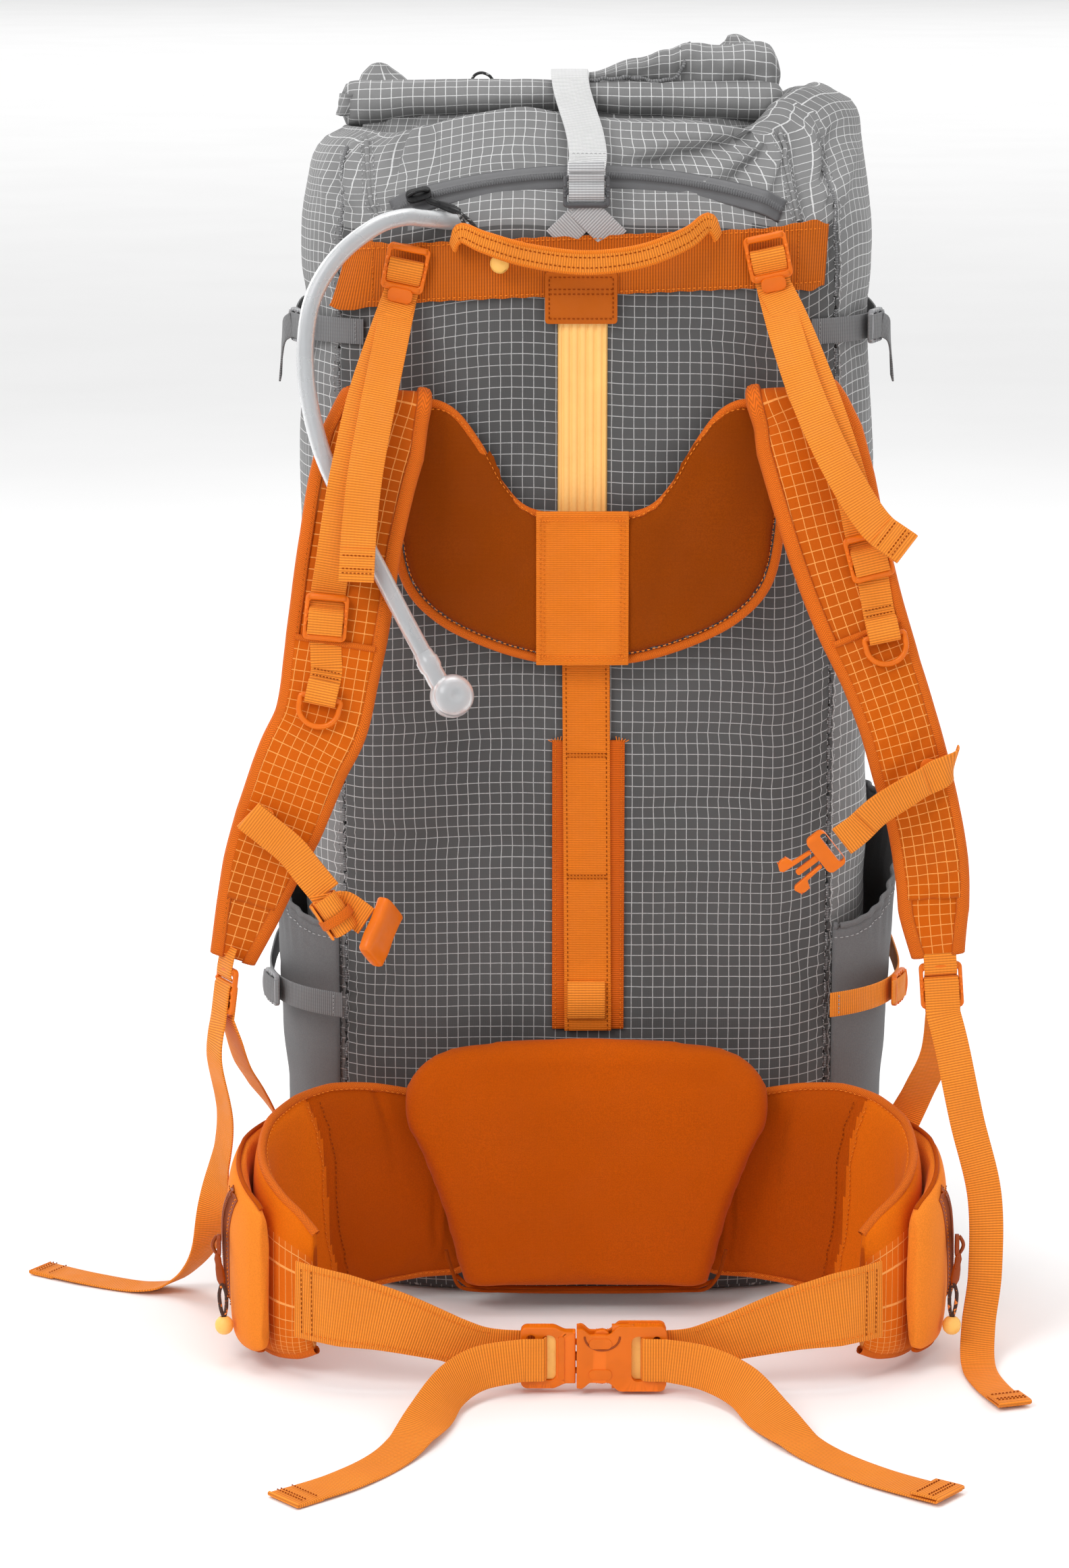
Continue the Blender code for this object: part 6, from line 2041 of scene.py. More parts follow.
def make_shoulder_strap(name, sign):
    """A foam strap in grid cloth with a bound edge and a stretch pocket."""
    count = 150
    path, halves = strap_spine(name, count)
    around = []
    for a in range(36):
        angle = 2 * math.pi * a / 36
        c, s = math.cos(angle), math.sin(angle)
        around.append((math.copysign(abs(c) ** 0.42, c), math.copysign(abs(s) ** 0.62, s), c))
    rows, previous = [], None
    for k, point in enumerate(path):
        _, side, out = strap_frame(path, k)
        if previous is not None and out.dot(previous) < 0:
            out = -out
        previous = out
        thick = STRAP_THICKNESS / 2 * (0.92 + 0.06 * noise.noise(point * 22))
        thin = ease(0, 6, k) * ease(0, 7, count - 1 - k) * 0.5 + 0.5
        rows.append([
            point + side * (halves[k] - 0.0009) * u + out * thick * thin * v * (1 - 0.16 * abs(c) ** 6)
            for u, v, c in around
        ])
    run = [0.0]
    for p, q in zip(path, path[1:]):
        run.append(run[-1] + (q - p).length)

    def build(work):
        capped_lattice(work, rows, lambda i, j, r, c: (
            halves[i] * around[j % 36][0] if j % 36 else halves[i], run[i]), outward=True)
    strap = add("shoulder_strap_pad_" + name, mesh_of("strap", build), "strap_cloth")
    simulate(strap, 2.0, 0.0016, frames=8, outward_cap=lambda p: 0.0007, bending=2.0)
    subdivided(strap)
    strap.data.shade_smooth()
    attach(strap, "harness")
    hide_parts("shoulder_strap_" + name)

    parts, previous = [], None
    outs = []
    for k in range(count):
        _, _, out = strap_frame(path, k)
        if previous is not None and out.dot(previous) < 0:
            out = -out
        previous = out
        outs.append(out)
    for u in (-1, 1):
        line = [path[k] + strap_frame(path, k)[1] * (halves[k] - 0.0016) * u for k in range(count)]
        rows = []
        for k in range(count):
            side = strap_frame(path, k)[1] * u
            wide = STRAP_THICKNESS / 2 * (ease(0, 6, k) * ease(0, 7, count - 1 - k) * 0.45 + 0.55)
            fold_rows = []
            for inset, depth in ((-0.0058, 0.97), (-0.0050, 1.03), (-0.0020, 1.01),
                                 (0.0006, 0.80), (0.0016, 0.40), (0.0018, 0.0),
                                 (0.0016, -0.40), (0.0006, -0.80), (-0.0020, -1.01),
                                 (-0.0050, -1.03), (-0.0058, -0.97)):
                fold_rows.append(line[k] + side * inset + outs[k] * wide * depth)
            rows.append(fold_rows)
        mesh = mesh_of("bind", lambda work: lattice(work, rows, uv=lambda i, j, r, c: (0.0021 * j, run[i])))
        parts.append(thicken(add("bind", mesh, "binding"), 0.0009, 0.0))
        stitch_line = [
            line[k] - strap_frame(path, k)[1] * u * 0.0040 + outs[k] * (STRAP_THICKNESS / 2 * 1.04)
            for k in range(6, count - 6)
        ]
        parts.append(stitches("row", stitch_line, outs[6:-6:12], "thread_orange", 0.0030, lift=0.0004))
    first, last = int(count * 0.47), int(count * 0.90)
    # The left pocket lies flatter, so the chest slider can pass over it
    loose = 1.0 if sign > 0 else 0.3
    rows = []
    for k in range(first, last):
        share = (k - first) / (last - first - 1)
        _, side, _ = strap_frame(path, k)
        slant = 0.12 * (1 - share)
        row = []
        for c in range(33):
            t = 2 * c / 32 - 1
            if (t + 1) / 2 * slant * 8 > share * 8 + 0.9:
                t_lift = 0.0
            else:
                t_lift = 1.0
            gather = loose * 0.0009 * math.sin(share * 62 + t * 5) * (1 - abs(t) ** 4)
            gather += loose * 0.0008 * noise.noise(Vector((share * 26, t * 3.2, 4.0 * sign)))
            puff = loose * 0.0024 * (1 - abs(t) ** 3) * math.sin(
                math.pi * min(share * 1.15 + 0.08, 0.98)
            ) * t_lift
            row.append(
                path[k] + side * (halves[k] - 0.0052) * t + outs[k]
                * (STRAP_THICKNESS / 2 + 0.0004 + puff + gather * 0.6)
            )
        rows.append(row)
    mesh = mesh_of("stretch", lambda work: lattice(work, rows, uv=lambda i, j, r, c: (
        (halves[first + min(i, last - first - 1)] - 0.0052) * (j / 16 - 1) * 1.12,
        1.10 * run[first + min(i, last - first - 1)])))
    pocket = thicken(add("stretch", mesh, "strap_cloth"), 0.0009, 0.0)
    parts.append(pocket)
    top_edge = rows[0]
    parts.append(
        tube("mouth", [p + outs[first] * 0.0008 for p in top_edge], 0.0018, "binding", 8, 0.7, (0, -1, 0))
    )
    joined("shoulder_strap_trim_" + name, parts, "harness", "strap_fabric")
    return path, halves, outs


# Both runs of a lifter leave its lock behind the bottom bar and the grip tab
TUCKED = [
    (WEAVE + 0.0016, -LOCK_HEIGHT / 2 - 0.003), (WEAVE + 0.0016, -LOCK_HEIGHT / 2), (WEAVE, -0.002),
    (WEAVE, 0.0022), (WEAVE * 0.7, 0.0040), (0.0, 0.0048), (-WEAVE * 0.7, 0.0040), (-WEAVE, 0.0022),
    (-WEAVE, -0.0005), (-WEAVE * 0.5, -0.0045), (WEAVE * 0.5, -0.0090), (WEAVE, -LOCK_HEIGHT / 2),
    (WEAVE, -LOCK_HEIGHT / 2 - 0.006),
]


def lifter_lock_frame(name):
    """Where a load lifter's ladder lock sits on the yoke band."""
    if name == "left":
        return frame_at((-0.1055, -0.1190, 0.6245), turn=math.radians(12))
    return frame_at((0.1040, -0.1190, 0.6310), turn=math.radians(-12))


def triglide_frame(name):
    """Where a load lifter's slide sits on the shoulder strap."""
    if name == "left":
        return frame_at((-0.1500, -0.1935, 0.4325), turn=math.radians(5), lean=math.radians(-14))
    return frame_at((0.1600, -0.1835, 0.4660), turn=math.radians(-14), lean=math.radians(-16))


RING_BAR = 0.0080
LIFTER_TAILS = {
    "left": [
        (-0.1140, -0.1400, 0.5830), (-0.1210, -0.1690, 0.5480), (-0.1270, -0.1870, 0.5150),
        (-0.1305, -0.1970, 0.4830), (-0.1320, -0.2040, 0.4560),
    ],
    "right": [
        (0.1150, -0.1430, 0.5850), (0.1250, -0.1640, 0.5550), (0.1410, -0.1830, 0.5200),
        (0.1610, -0.1970, 0.4880), (0.1790, -0.2050, 0.4740),
    ],
}
LIFTER_RUNS = {
    "left": [
        (-0.1455, -0.1930, 0.4650), (-0.1405, -0.1850, 0.4980), (-0.1355, -0.1770, 0.5230),
        (-0.1280, -0.1590, 0.5550), (-0.1170, -0.1350, 0.5870),
    ],
    "right": [
        (0.1525, -0.1775, 0.4960), (0.1430, -0.1720, 0.5280), (0.1310, -0.1540, 0.5620),
        (0.1170, -0.1330, 0.5960),
    ],
}


def ring_frame(name):
    """The space of a D ring on a shoulder strap. Its straight bar is at RING_BAR."""
    x, z = (-0.1545, 0.380) if name == "left" else (0.1700, 0.415)
    turn = math.radians(12 if name == "left" else -12)
    return frame_at((x, strap_front(z) - 0.0065, z), turn=turn, lean=math.radians(-8))


def tail_end(path, across, width, material):
    """The folded and stitched end of loose webbing."""
    end = path[-1]
    ahead = (path[-1] - path[-3]).normalized()
    side = Vector(across)
    side = (side - ahead * side.dot(ahead)).normalized()
    normal = ahead.cross(side)
    back = [
        end - ahead * d + normal * h for d,
        h in (
            (0.0000, 0.0000), (-0.0010, 0.0006), (-0.0006, 0.0014), (0.0040, 0.0015),
            (0.0120, 0.0014), (0.0170, 0.0013)
        )
    ]
    parts = [ribbon("fold", smooth_path(back, 20), width, tuple(side), material, columns=5)]
    for d in (0.0035, 0.0060, 0.0135):
        for h in (0.0023, -0.0010):
            line = [end - ahead * d + side * w + normal * h for w in (-width * 0.42, 0.0, width * 0.42)]
            parts.append(stitches("row", line, normal if h > 0 else -normal, "thread_dark", 0.0020))
    return parts


def make_load_lifters():
    """Locks on the band, slides on the straps and the webbing between."""
    for name, _ in SIDES:
        lock, slide = lifter_lock_frame(name), triglide_frame(name)
        ladder_lock("lifter_lock_" + name + "_moulding", lock, LIFTER_WIDTH, "orange_plastic", "root",
                    "buckle_orange", "lifter_lock_" + name, True)
        ladder_lock("strap_slide_" + name + "_moulding", slide, LIFTER_WIDTH, "orange_plastic", "harness",
                    "buckle_orange", "strap_slide_" + name)
        hooked = laced(slide, [
            (-WEAVE, -0.0105), (-WEAVE, 0.0), (-WEAVE, 0.0022), (0.0, 0.0048), (WEAVE, 0.0066),
            (WEAVE, 0.0120), (WEAVE, 0.0170),
        ])
        low = Vector(LIFTER_RUNS[name][0])
        turned = laced(lock, TUCKED)
        run = smooth_path([hooked[-1].lerp(low, 0.3)] + LIFTER_RUNS[name] + [turned[0]], 44)
        tail = smooth_path([turned[-1]] + LIFTER_TAILS[name], 50)
        slide_x, lock_x = (matrix.to_3x3() @ Vector((1, 0, 0)) for matrix in (slide, lock))
        across = [slide_x] * (len(hooked) + 8) + fade([slide_x, lock_x], 36)
        across += [lock_x] * (len(turned) - 2) + fade([lock_x, lock_x, slide_x], 50)
        path = hooked + run + turned[1:-1] + tail
        parts = [ribbon("lifter", path, LIFTER_WIDTH, across, "webbing", columns=7, crown=0.0005)]
        parts += tail_end(path, across[-1], LIFTER_WIDTH, "webbing")
        webbing = joined(
            "load_lifter_webbing_" + name, parts, slot="webbing_orange",
            stands_for=("load_lifter_" + name,)
        )
        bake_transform(webbing)


def make_rings():
    """A moulded D ring on each strap, hinged in its sewn webbing loop."""
    for name, _ in SIDES:
        matrix = ring_frame(name)
        outline = []
        for k in range(25):
            a = math.pi + math.pi * k / 24
            outline.append(Vector((0.0115 * math.cos(a), 0.0, 0.0105 * math.sin(a) + 0.002)))
        for k in range(1, 8):
            outline.append(Vector((0.0115, 0, 0.002 + (RING_BAR - 0.002) * k / 8)))
        outline += [Vector((0.0105, 0, RING_BAR)), Vector((0.0, 0, RING_BAR)), Vector((-0.0105, 0, RING_BAR))]
        for k in range(7, 0, -1):
            outline.append(Vector((-0.0115, 0, 0.002 + (RING_BAR - 0.002) * k / 8)))
        path = even([matrix @ p for p in outline + [outline[0]]], 90)
        tube("d_ring_moulding_" + name, path, 0.0016, "orange_plastic", 12, 0.85, (0, -1, 0), capped=False,
             body="ring_" + name, slot="buckle_orange", stands_for=("d_ring_" + name,))
        sewn = []
        top, foot = triglide_frame(name) @ Vector((0, 0, -0.0060)), matrix @ Vector((0, 0, 0.0220))
        for share in (0.0, 0.35, 0.7, 1.0):
            point = top.lerp(foot, share)
            point.y = strap_front(point.z) - 0.0016
            sewn.append(point)
        shape = [
            (0.0036, 0.003), (0.0029, -0.0022), (0.0, -0.0038), (-0.0029, -0.0022),
            (-0.0036, 0.003), (-0.0014, 0.010),
        ]
        loop = sewn + [matrix @ Vector((0, y, RING_BAR + z)) for y, z in shape]
        across = tuple(matrix.to_3x3() @ Vector((1, 0, 0)))
        parts = [ribbon("loop", smooth_path(loop, 50), 0.018, across, "webbing", columns=6)]
        for height in (0.0195, 0.0230):
            line = []
            for w in (-0.0075, 0.0, 0.0075):
                point = matrix @ Vector((w, 0, height))
                point.y = strap_front(point.z) - 0.0027
                line.append(point)
            parts.append(stitches("tack", line, (0, -1, 0), "thread_dark", 0.0018))
        joined("ring_loop_" + name, parts, "harness", "webbing_orange")


STRAP_END_ANCHORS = {
    "left": [
        (-0.2070, -0.1950, 0.1880), (-0.2030, -0.1740, 0.1640), (-0.1960, -0.1460, 0.1400),
        (-0.1830, -0.1240, 0.1080), (-0.1720, -0.1130, 0.0650),
    ],
    "right": [
        (0.2060, -0.1720, 0.1700), (0.1990, -0.1480, 0.1420), (0.1880, -0.1260, 0.1080),
        (0.1730, -0.1140, 0.0650),
    ],
}
STRAP_END_TAILS = {
    "left": [
        (-0.2170, -0.2030, 0.1750), (-0.2130, -0.1800, 0.1300), (-0.2210, -0.1500, 0.0800),
        (-0.2300, -0.1250, 0.0350), (-0.2480, -0.1090, 0.0090), (-0.2700, -0.1040, 0.0018),
        (-0.3050, -0.0880, 0.0016), (-0.3370, -0.0680, 0.0022),
    ],
    "right": [
        (0.2110, -0.2080, 0.1820), (0.2200, -0.2120, 0.1400), (0.2310, -0.2140, 0.0950),
        (0.2320, -0.2180, 0.0500), (0.2280, -0.2260, 0.0200), (0.2260, -0.2480, 0.0030),
        (0.2300, -0.2800, 0.0016), (0.2400, -0.3130, 0.0022),
    ],
}


def make_strap_ends():
    """Ladder locks at the strap ends, with the webbing that tightens them."""
    locks = {
        "left": frame_at((-0.2100, -0.1990, 0.2150), lean=math.radians(-8), swing=math.radians(-62)),
        "right": frame_at((0.2050, -0.1980, 0.2170), turn=math.radians(-4), lean=math.radians(-6)),
    }
    for name, side in SIDES:
        ladder_lock("strap_end_moulding_" + name, locks[name], LIFTER_WIDTH, "orange_plastic", "harness",
                    "buckle_orange", "strap_end_lock_" + name)
        turned = laced(locks[name], TURNED)
        anchor = smooth_path(list(reversed(STRAP_END_ANCHORS[name])) + [turned[0]], 44)
        tail = smooth_path([turned[-1]] + STRAP_END_TAILS[name], 90)
        lock_x = locks[name].to_3x3() @ Vector((1, 0, 0))
        flat = Vector((0.55, 0.83, 0)) if side < 0 else Vector((1, 0.15, 0))
        start = Vector((-0.4, -0.9, 0)) if side < 0 else Vector((0.4, -0.9, 0))
        across = fade([start, lock_x, lock_x], len(anchor)) + [lock_x] * (len(turned) - 2)
        across += fade([lock_x, lock_x, flat, flat], len(tail))
        path = anchor + turned[1:-1] + tail
        parts = [ribbon("lower", path, LIFTER_WIDTH, across, "webbing", columns=7, crown=0.0004)]
        parts += tail_end([p + Vector((0, 0, 0.0006)) for p in path], flat, LIFTER_WIDTH, "webbing")
        foot = Vector(STRAP_END_ANCHORS[name][-1])
        out = Vector((foot.x, foot.y, 0)).normalized()
        for d in (0.004, 0.010):
            line = [
                foot + out * 0.0010 + start.normalized() * w + Vector((0, 0, d))
                for w in (-0.008, 0.0, 0.008)
            ]
            parts.append(stitches("tack", line, out, "thread_dark", 0.0018))
        webbing = joined(
            "lower_strap_webbing_" + name, parts, slot="webbing_orange",
            stands_for=("lower_webbing_" + name,)
        )
        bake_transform(webbing)
        hook = laced(locks[name], [(WEAVE, LOCK_HEIGHT / 2 - 0.0085), (0.0, LOCK_HEIGHT / 2 - 0.0070),
                                   (-WEAVE * 0.9, LOCK_HEIGHT / 2 - 0.0045),
                                   (-WEAVE * 0.7, LOCK_HEIGHT / 2 + 0.0060),
                                   (-WEAVE * 0.2, LOCK_HEIGHT / 2 + 0.0120)])
        ribbon("strap_end_loop_" + name, smooth_path(hook, 22), LIFTER_WIDTH - 0.0010, tuple(lock_x),
               "webbing", "harness", columns=5)


# ------------------------------------------------------------- chest strap
def chest_slider(at, turn):
    """The flat slider that holds a chest strap, under its folded webbing."""
    matrix = frame_at(at, turn=turn, lean=math.radians(-6))

    def plate(work):
        rounded_plate(work, 0.0140, 0.0185, 0.0016, 0.0040, [])
    return [moulding("slider", matrix, "orange_plastic", plate, 0.0005)]


def prong_piece(name, matrix, hinge, length, side, scale, body, node):
    """One sprung arm of a side release buckle, with a ridged thumb pad."""
    arm = [
        (0.0, side * 0.0030), (length * 0.55, side * 0.0042), (length * 0.62, side * 0.0090),
        (length * 0.78, side * 0.0096), (length * 0.92, side * 0.0085), (length, side * 0.0040),
        (length * 0.92, side * 0.0020), (length * 0.5, side * 0.0012), (0.0, side * 0.0006),
    ]

    def build(work):
        corners = [work.verts.new((x, 0.0025 * scale, z * scale)) for x, z in arm]
        face = work.faces.new(corners)
        made = bmesh.ops.extrude_face_region(work, geom=[face])
        moved = [v for v in made["geom"] if isinstance(v, bmesh.types.BMVert)]
        bmesh.ops.translate(work, verts=moved, vec=(0, -0.005 * scale, 0))
        bmesh.ops.recalc_face_normals(work, faces=work.faces)
    space = matrix @ Matrix.Translation(hinge)
    parts = [moulding("arm", space, "orange_plastic", build, 0.0007)]

    def ridges(work):
        for step in range(5):
            x = length * (0.64 + 0.065 * step)
            z = side * 0.0093 * scale
            at = Matrix.Translation((x, 0, z)) @ Matrix.Diagonal((0.0004, 0.0020 * scale, 0.0004, 1))
            bmesh.ops.create_uvsphere(work, u_segments=8, v_segments=6, radius=1.0, matrix=at)
    parts.append(add("ridges", mesh_of("ridges", ridges), "orange_plastic", matrix=space))
    return joined(name, parts, body, "buckle_orange", (node,))


def make_chest_strap():
    """The chest strap: a slider on each shoulder strap and an open buckle."""
    right = smooth_path([
        (0.2088, -0.2045, 0.3520), (0.2084, -0.2105, 0.3505), (0.2035, -0.2140, 0.3475),
        (0.1945, -0.2155, 0.3430), (0.1830, -0.2190, 0.3370),
        (0.1650, -0.2220, 0.3260), (0.1530, -0.2230, 0.3150), (0.1440, -0.2230, 0.3080),
    ], 60)
    parts = [ribbon("webbing", right, 0.019, (0.25, -0.1, 1), "webbing", columns=6, crown=0.0004)]
    over = [p + Vector((0, -0.0017, 0.0004)) for p in right[18:48]]
    parts.append(ribbon("second", over, 0.0185, (0.25, -0.1, 1), "webbing", columns=6, crown=0.0005))
    parts += chest_slider((0.1955, -0.2112, 0.3440), math.radians(10))
    joined("chest_webbing_right", parts, "sternum_right", "webbing_orange", ("sternum_webbing_right",))

    left = smooth_path([
        (-0.1860, -0.2128, 0.3150), (-0.1925, -0.2130, 0.3200), (-0.1945, -0.2145, 0.3215),
        (-0.1920, -0.2162, 0.3195), (-0.1830, -0.2172, 0.3125), (-0.1700, -0.2200, 0.3020),
        (-0.1600, -0.2230, 0.2900), (-0.1500, -0.2250, 0.2780),
    ], 50)
    parts = [ribbon("webbing", left, 0.019, (0.75, -0.1, 0.8), "webbing", columns=6, crown=0.0004)]
    parts += chest_slider((-0.1855, -0.2112, 0.3150), math.radians(-16))
    start, end = Vector((-0.1520, -0.2260, 0.2760)), Vector((-0.1390, -0.2260, 0.2560))
    axis = (end - start).normalized()
    middle = (start + end) / 2
    side = axis.cross(Vector((0, 1, 0))).normalized()
    lift = side.cross(axis)
    wound = []
    for k in range(120):
        angle = 2 * math.pi * 2.6 * k / 119
        radius = 0.0028 + 0.0062 * k / 119
        wound.append(middle + (side * math.cos(angle) + lift * math.sin(angle)) * radius)
    parts.append(ribbon("bundle", wound, 0.0235, tuple(axis), "webbing", columns=6, crown=0.0004))
    band = [
        middle + axis * 0.002 + (side * math.cos(a) + lift * math.sin(a)) * 0.0098
        for a in (2 * math.pi * k / 40 for k in range(41))
    ]
    parts.append(ribbon("keeper", band, 0.0055, tuple(axis), "binding", columns=3, thickness=0.0010))
    bridge = smooth_path(
        [
            left[-1], left[-1].lerp(middle, 0.5) + Vector((0, 0.001, 0)),
            middle + Vector((0.006, 0.004, 0.004)), (-0.1270, -0.2265, 0.2620)
        ],
        24
    )
    parts.append(ribbon("bridge", bridge, 0.0175, (0.75, -0.1, 0.8), "webbing", columns=5))
    joined("chest_webbing_left", parts, "sternum_left", "webbing_orange", ("sternum_webbing_left",))

    matrix = frame_at((0.1320, -0.2230, 0.3000), turn=math.radians(-38))

    def male(work):
        rounded_plate(work, 0.0125, 0.0245, 0.0046, 0.0034, [(0.0036, 0.0195, 0.0016, 0.0042, 0)])
    parts = [moulding("body", matrix @ Matrix.Translation((0.004, 0, 0)), "orange_plastic", male, 0.0010)]

    def tongue(work):
        rounded_plate(work, 0.0160, 0.0035, 0.0030, 0.0014, [])
    parts.append(
        moulding("tongue", matrix @ Matrix.Translation((-0.0090, 0, 0)), "orange_plastic", tongue, 0.0007)
    )
    joined("chest_buckle_male", parts, "sternum_right", "buckle_orange", ("sternum_male",))
    turned = matrix @ Matrix.Rotation(math.pi, 4, "Y")
    for part, sign in (("upper", 1), ("lower", -1)):
        prong_piece("chest_prong_" + part, turned, (0.0030, 0, sign * 0.0035), 0.021, sign, 0.85,
                    "sternum_arm_" + part, "sternum_prong_" + part)
    matrix = frame_at((-0.1190, -0.2290, 0.2560), turn=math.radians(42), swing=math.radians(60))
    parts = [hollow_buckle("shell", matrix, (0.024, 0.009, 0.034))]
    joined("chest_buckle_female", parts, "sternum_left", "buckle_orange", ("sternum_female",))


def hollow_buckle(name, matrix, size):
    """The socket half of a small side release buckle, open at one end."""
    width, depth, height = size

    def build(work):
        rows = []
        for z, w, d in (
            (-0.50, 0.80, 0.72), (-0.46, 0.94, 0.92), (-0.20, 1.0, 1.0), (0.05, 0.90, 1.0),
            (0.30, 0.92, 1.0), (0.47, 1.0, 1.0), (0.50, 0.96, 0.92)
        ):
            row = []
            for k in range(40):
                a = 2 * math.pi * k / 40
                c, s = math.cos(a), math.sin(a)
                row.append(Vector((
                    width / 2 * w * math.copysign(abs(c) ** 0.45, c),
                    depth / 2 * d * math.copysign(abs(s) ** 0.60, s),
                    height * z,
                )))
            rows.append(row)
        inner = []
        for z, w, d in ((0.49, 0.84, 0.66), (0.30, 0.78, 0.62), (0.0, 0.74, 0.60), (-0.18, 0.70, 0.56)):
            inner.append(
                [
                    Vector(
                        (p.x / width * 2 * width / 2 * w / 1.0, p.y / depth * 2 * depth / 2 * d, height * z)
                    )
                    for p in rows[2]
                ]
            )
        capped_lattice(work, rows + inner, outward=True)
    return moulding(name, matrix, "orange_plastic", build, 0.0004, 2)


# ----------------------------------------------------------------- hip belt
BELT_Y = -0.285
BUCKLE_Z = 0.0215
LUMBAR_OUTLINE = mirrored(LUMBAR_HALF)
DARK_PANEL = 0.405
WING_HEIGHTS = [0.108, 0.114, 0.124, 0.132, 0.134, 0.130, 0.116, 0.098, 0.078]


def wing_route(side):
    """Plan of a hip wing from the lumbar pad round to its tip."""
    return [
        (side * 0.0700, -0.1240, 0.0725), (side * 0.1050, -0.1255, 0.0740),
        (side * 0.1330, -0.1345, 0.0755), (side * 0.1570, -0.1500, 0.0750),
        (side * 0.1760, -0.1710, 0.072), (side * 0.1875, -0.1970, 0.068),
        (side * 0.1880, -0.2240, 0.062), (side * 0.1770, -0.2460, 0.057),
        (side * 0.1560, -0.2620, 0.052),
    ]


def make_lumbar():
    """The moulded lumbar pad in plain woven cloth, with a lip under its edge."""
    pad = cushion("lumbar", LUMBAR_OUTLINE, -0.1375, 0.0195, "lumbar", 0.0010, count=220)
    flat_zone = -0.1545

    def dips(point):
        low = 0.0010 * fold(point.z, 0.150, 0.010) * ease(0.105, 0.07, abs(point.x))
        return low + 0.0009 * noise.noise(point * 17)
    for vert in pad.data.vertices:
        if vert.co.y < flat_zone:
            vert.co.y += dips(vert.co)
    stuffed(pad, 3.5, 0.004, 0.0045, outward_cap=lambda p: 0.0009, rounds=3)
    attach(pad, "root")
    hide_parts("lumbar_pad")
    edge = closed_smooth(LUMBAR_OUTLINE, 320)
    middle = sum(edge, Vector()) / len(edge)
    lip = [Vector((p.x, -0.1400, p.z)) for p in edge if p.z < 0.022]
    lip = smooth_path(sorted(lip, key=lambda p: p.x)[::6], 120)
    rows, runs = tube_rows(lip, 0.0014, 10, 0.8, (0, -1, 0))
    mesh = mesh_of("lip", lambda work: lattice(work, rows, True, lambda i, j, r, c: (0.0014 * j, runs[i])))
    parts = [add("lip", mesh, "wing_inner")]
    low = [p for p in edge if p.z < 0.040]
    low.sort(key=lambda p: p.x)
    seam = [Vector((p.x, -0.1450, p.z)) + (p - middle).normalized() * 0.0006 for p in low]
    parts.append(tube("seam", smooth_path(seam[::6] + [seam[-1]], 90), 0.0012, "thread_dark", 6))
    joined("lumbar_lip", parts, "root", "lumbar_lining")


def wing_loft(side, low_share, high_share, count, thickness, shift, height_scale, heights):
    """A closed, puffed band that follows a wing's plan."""
    path = smooth_path(wing_route(side), 120)
    first, last = int(low_share * 119), int(high_share * 119)
    picked = even(path[first:last + 1], count)
    rows, centres, outs = [], [], []
    for k, point in enumerate(picked):
        ahead = (picked[min(k + 1, count - 1)] - picked[max(k - 1, 0)])
        ahead.z = 0
        ahead.normalize()
        out = Vector((-ahead.y, ahead.x, 0)) * side
        share = k / (count - 1)
        half = spread(heights, share) / 2 * height_scale
        ends = (ease(-0.001, 0.05, share) * ease(-0.001, 0.07, 1 - share)) ** 0.5
        thick = thickness / 2 * (0.45 + 0.55 * ends)
        tall = half * (0.90 + 0.10 * ends)
        row = []
        for a in range(56):
            angle = 2 * math.pi * a / 56
            c, s = math.cos(angle), math.sin(angle)
            z = math.copysign(abs(s) ** 0.50, s)
            o = math.copysign(abs(c) ** 0.62, c) * (1 - 0.14 * abs(s) ** 8)
            row.append(point + out * (shift + thick * o) + Vector((0, 0, tall * z)))
        rows.append(row)
        centres.append(point)
        outs.append(out)
    return rows, centres, outs


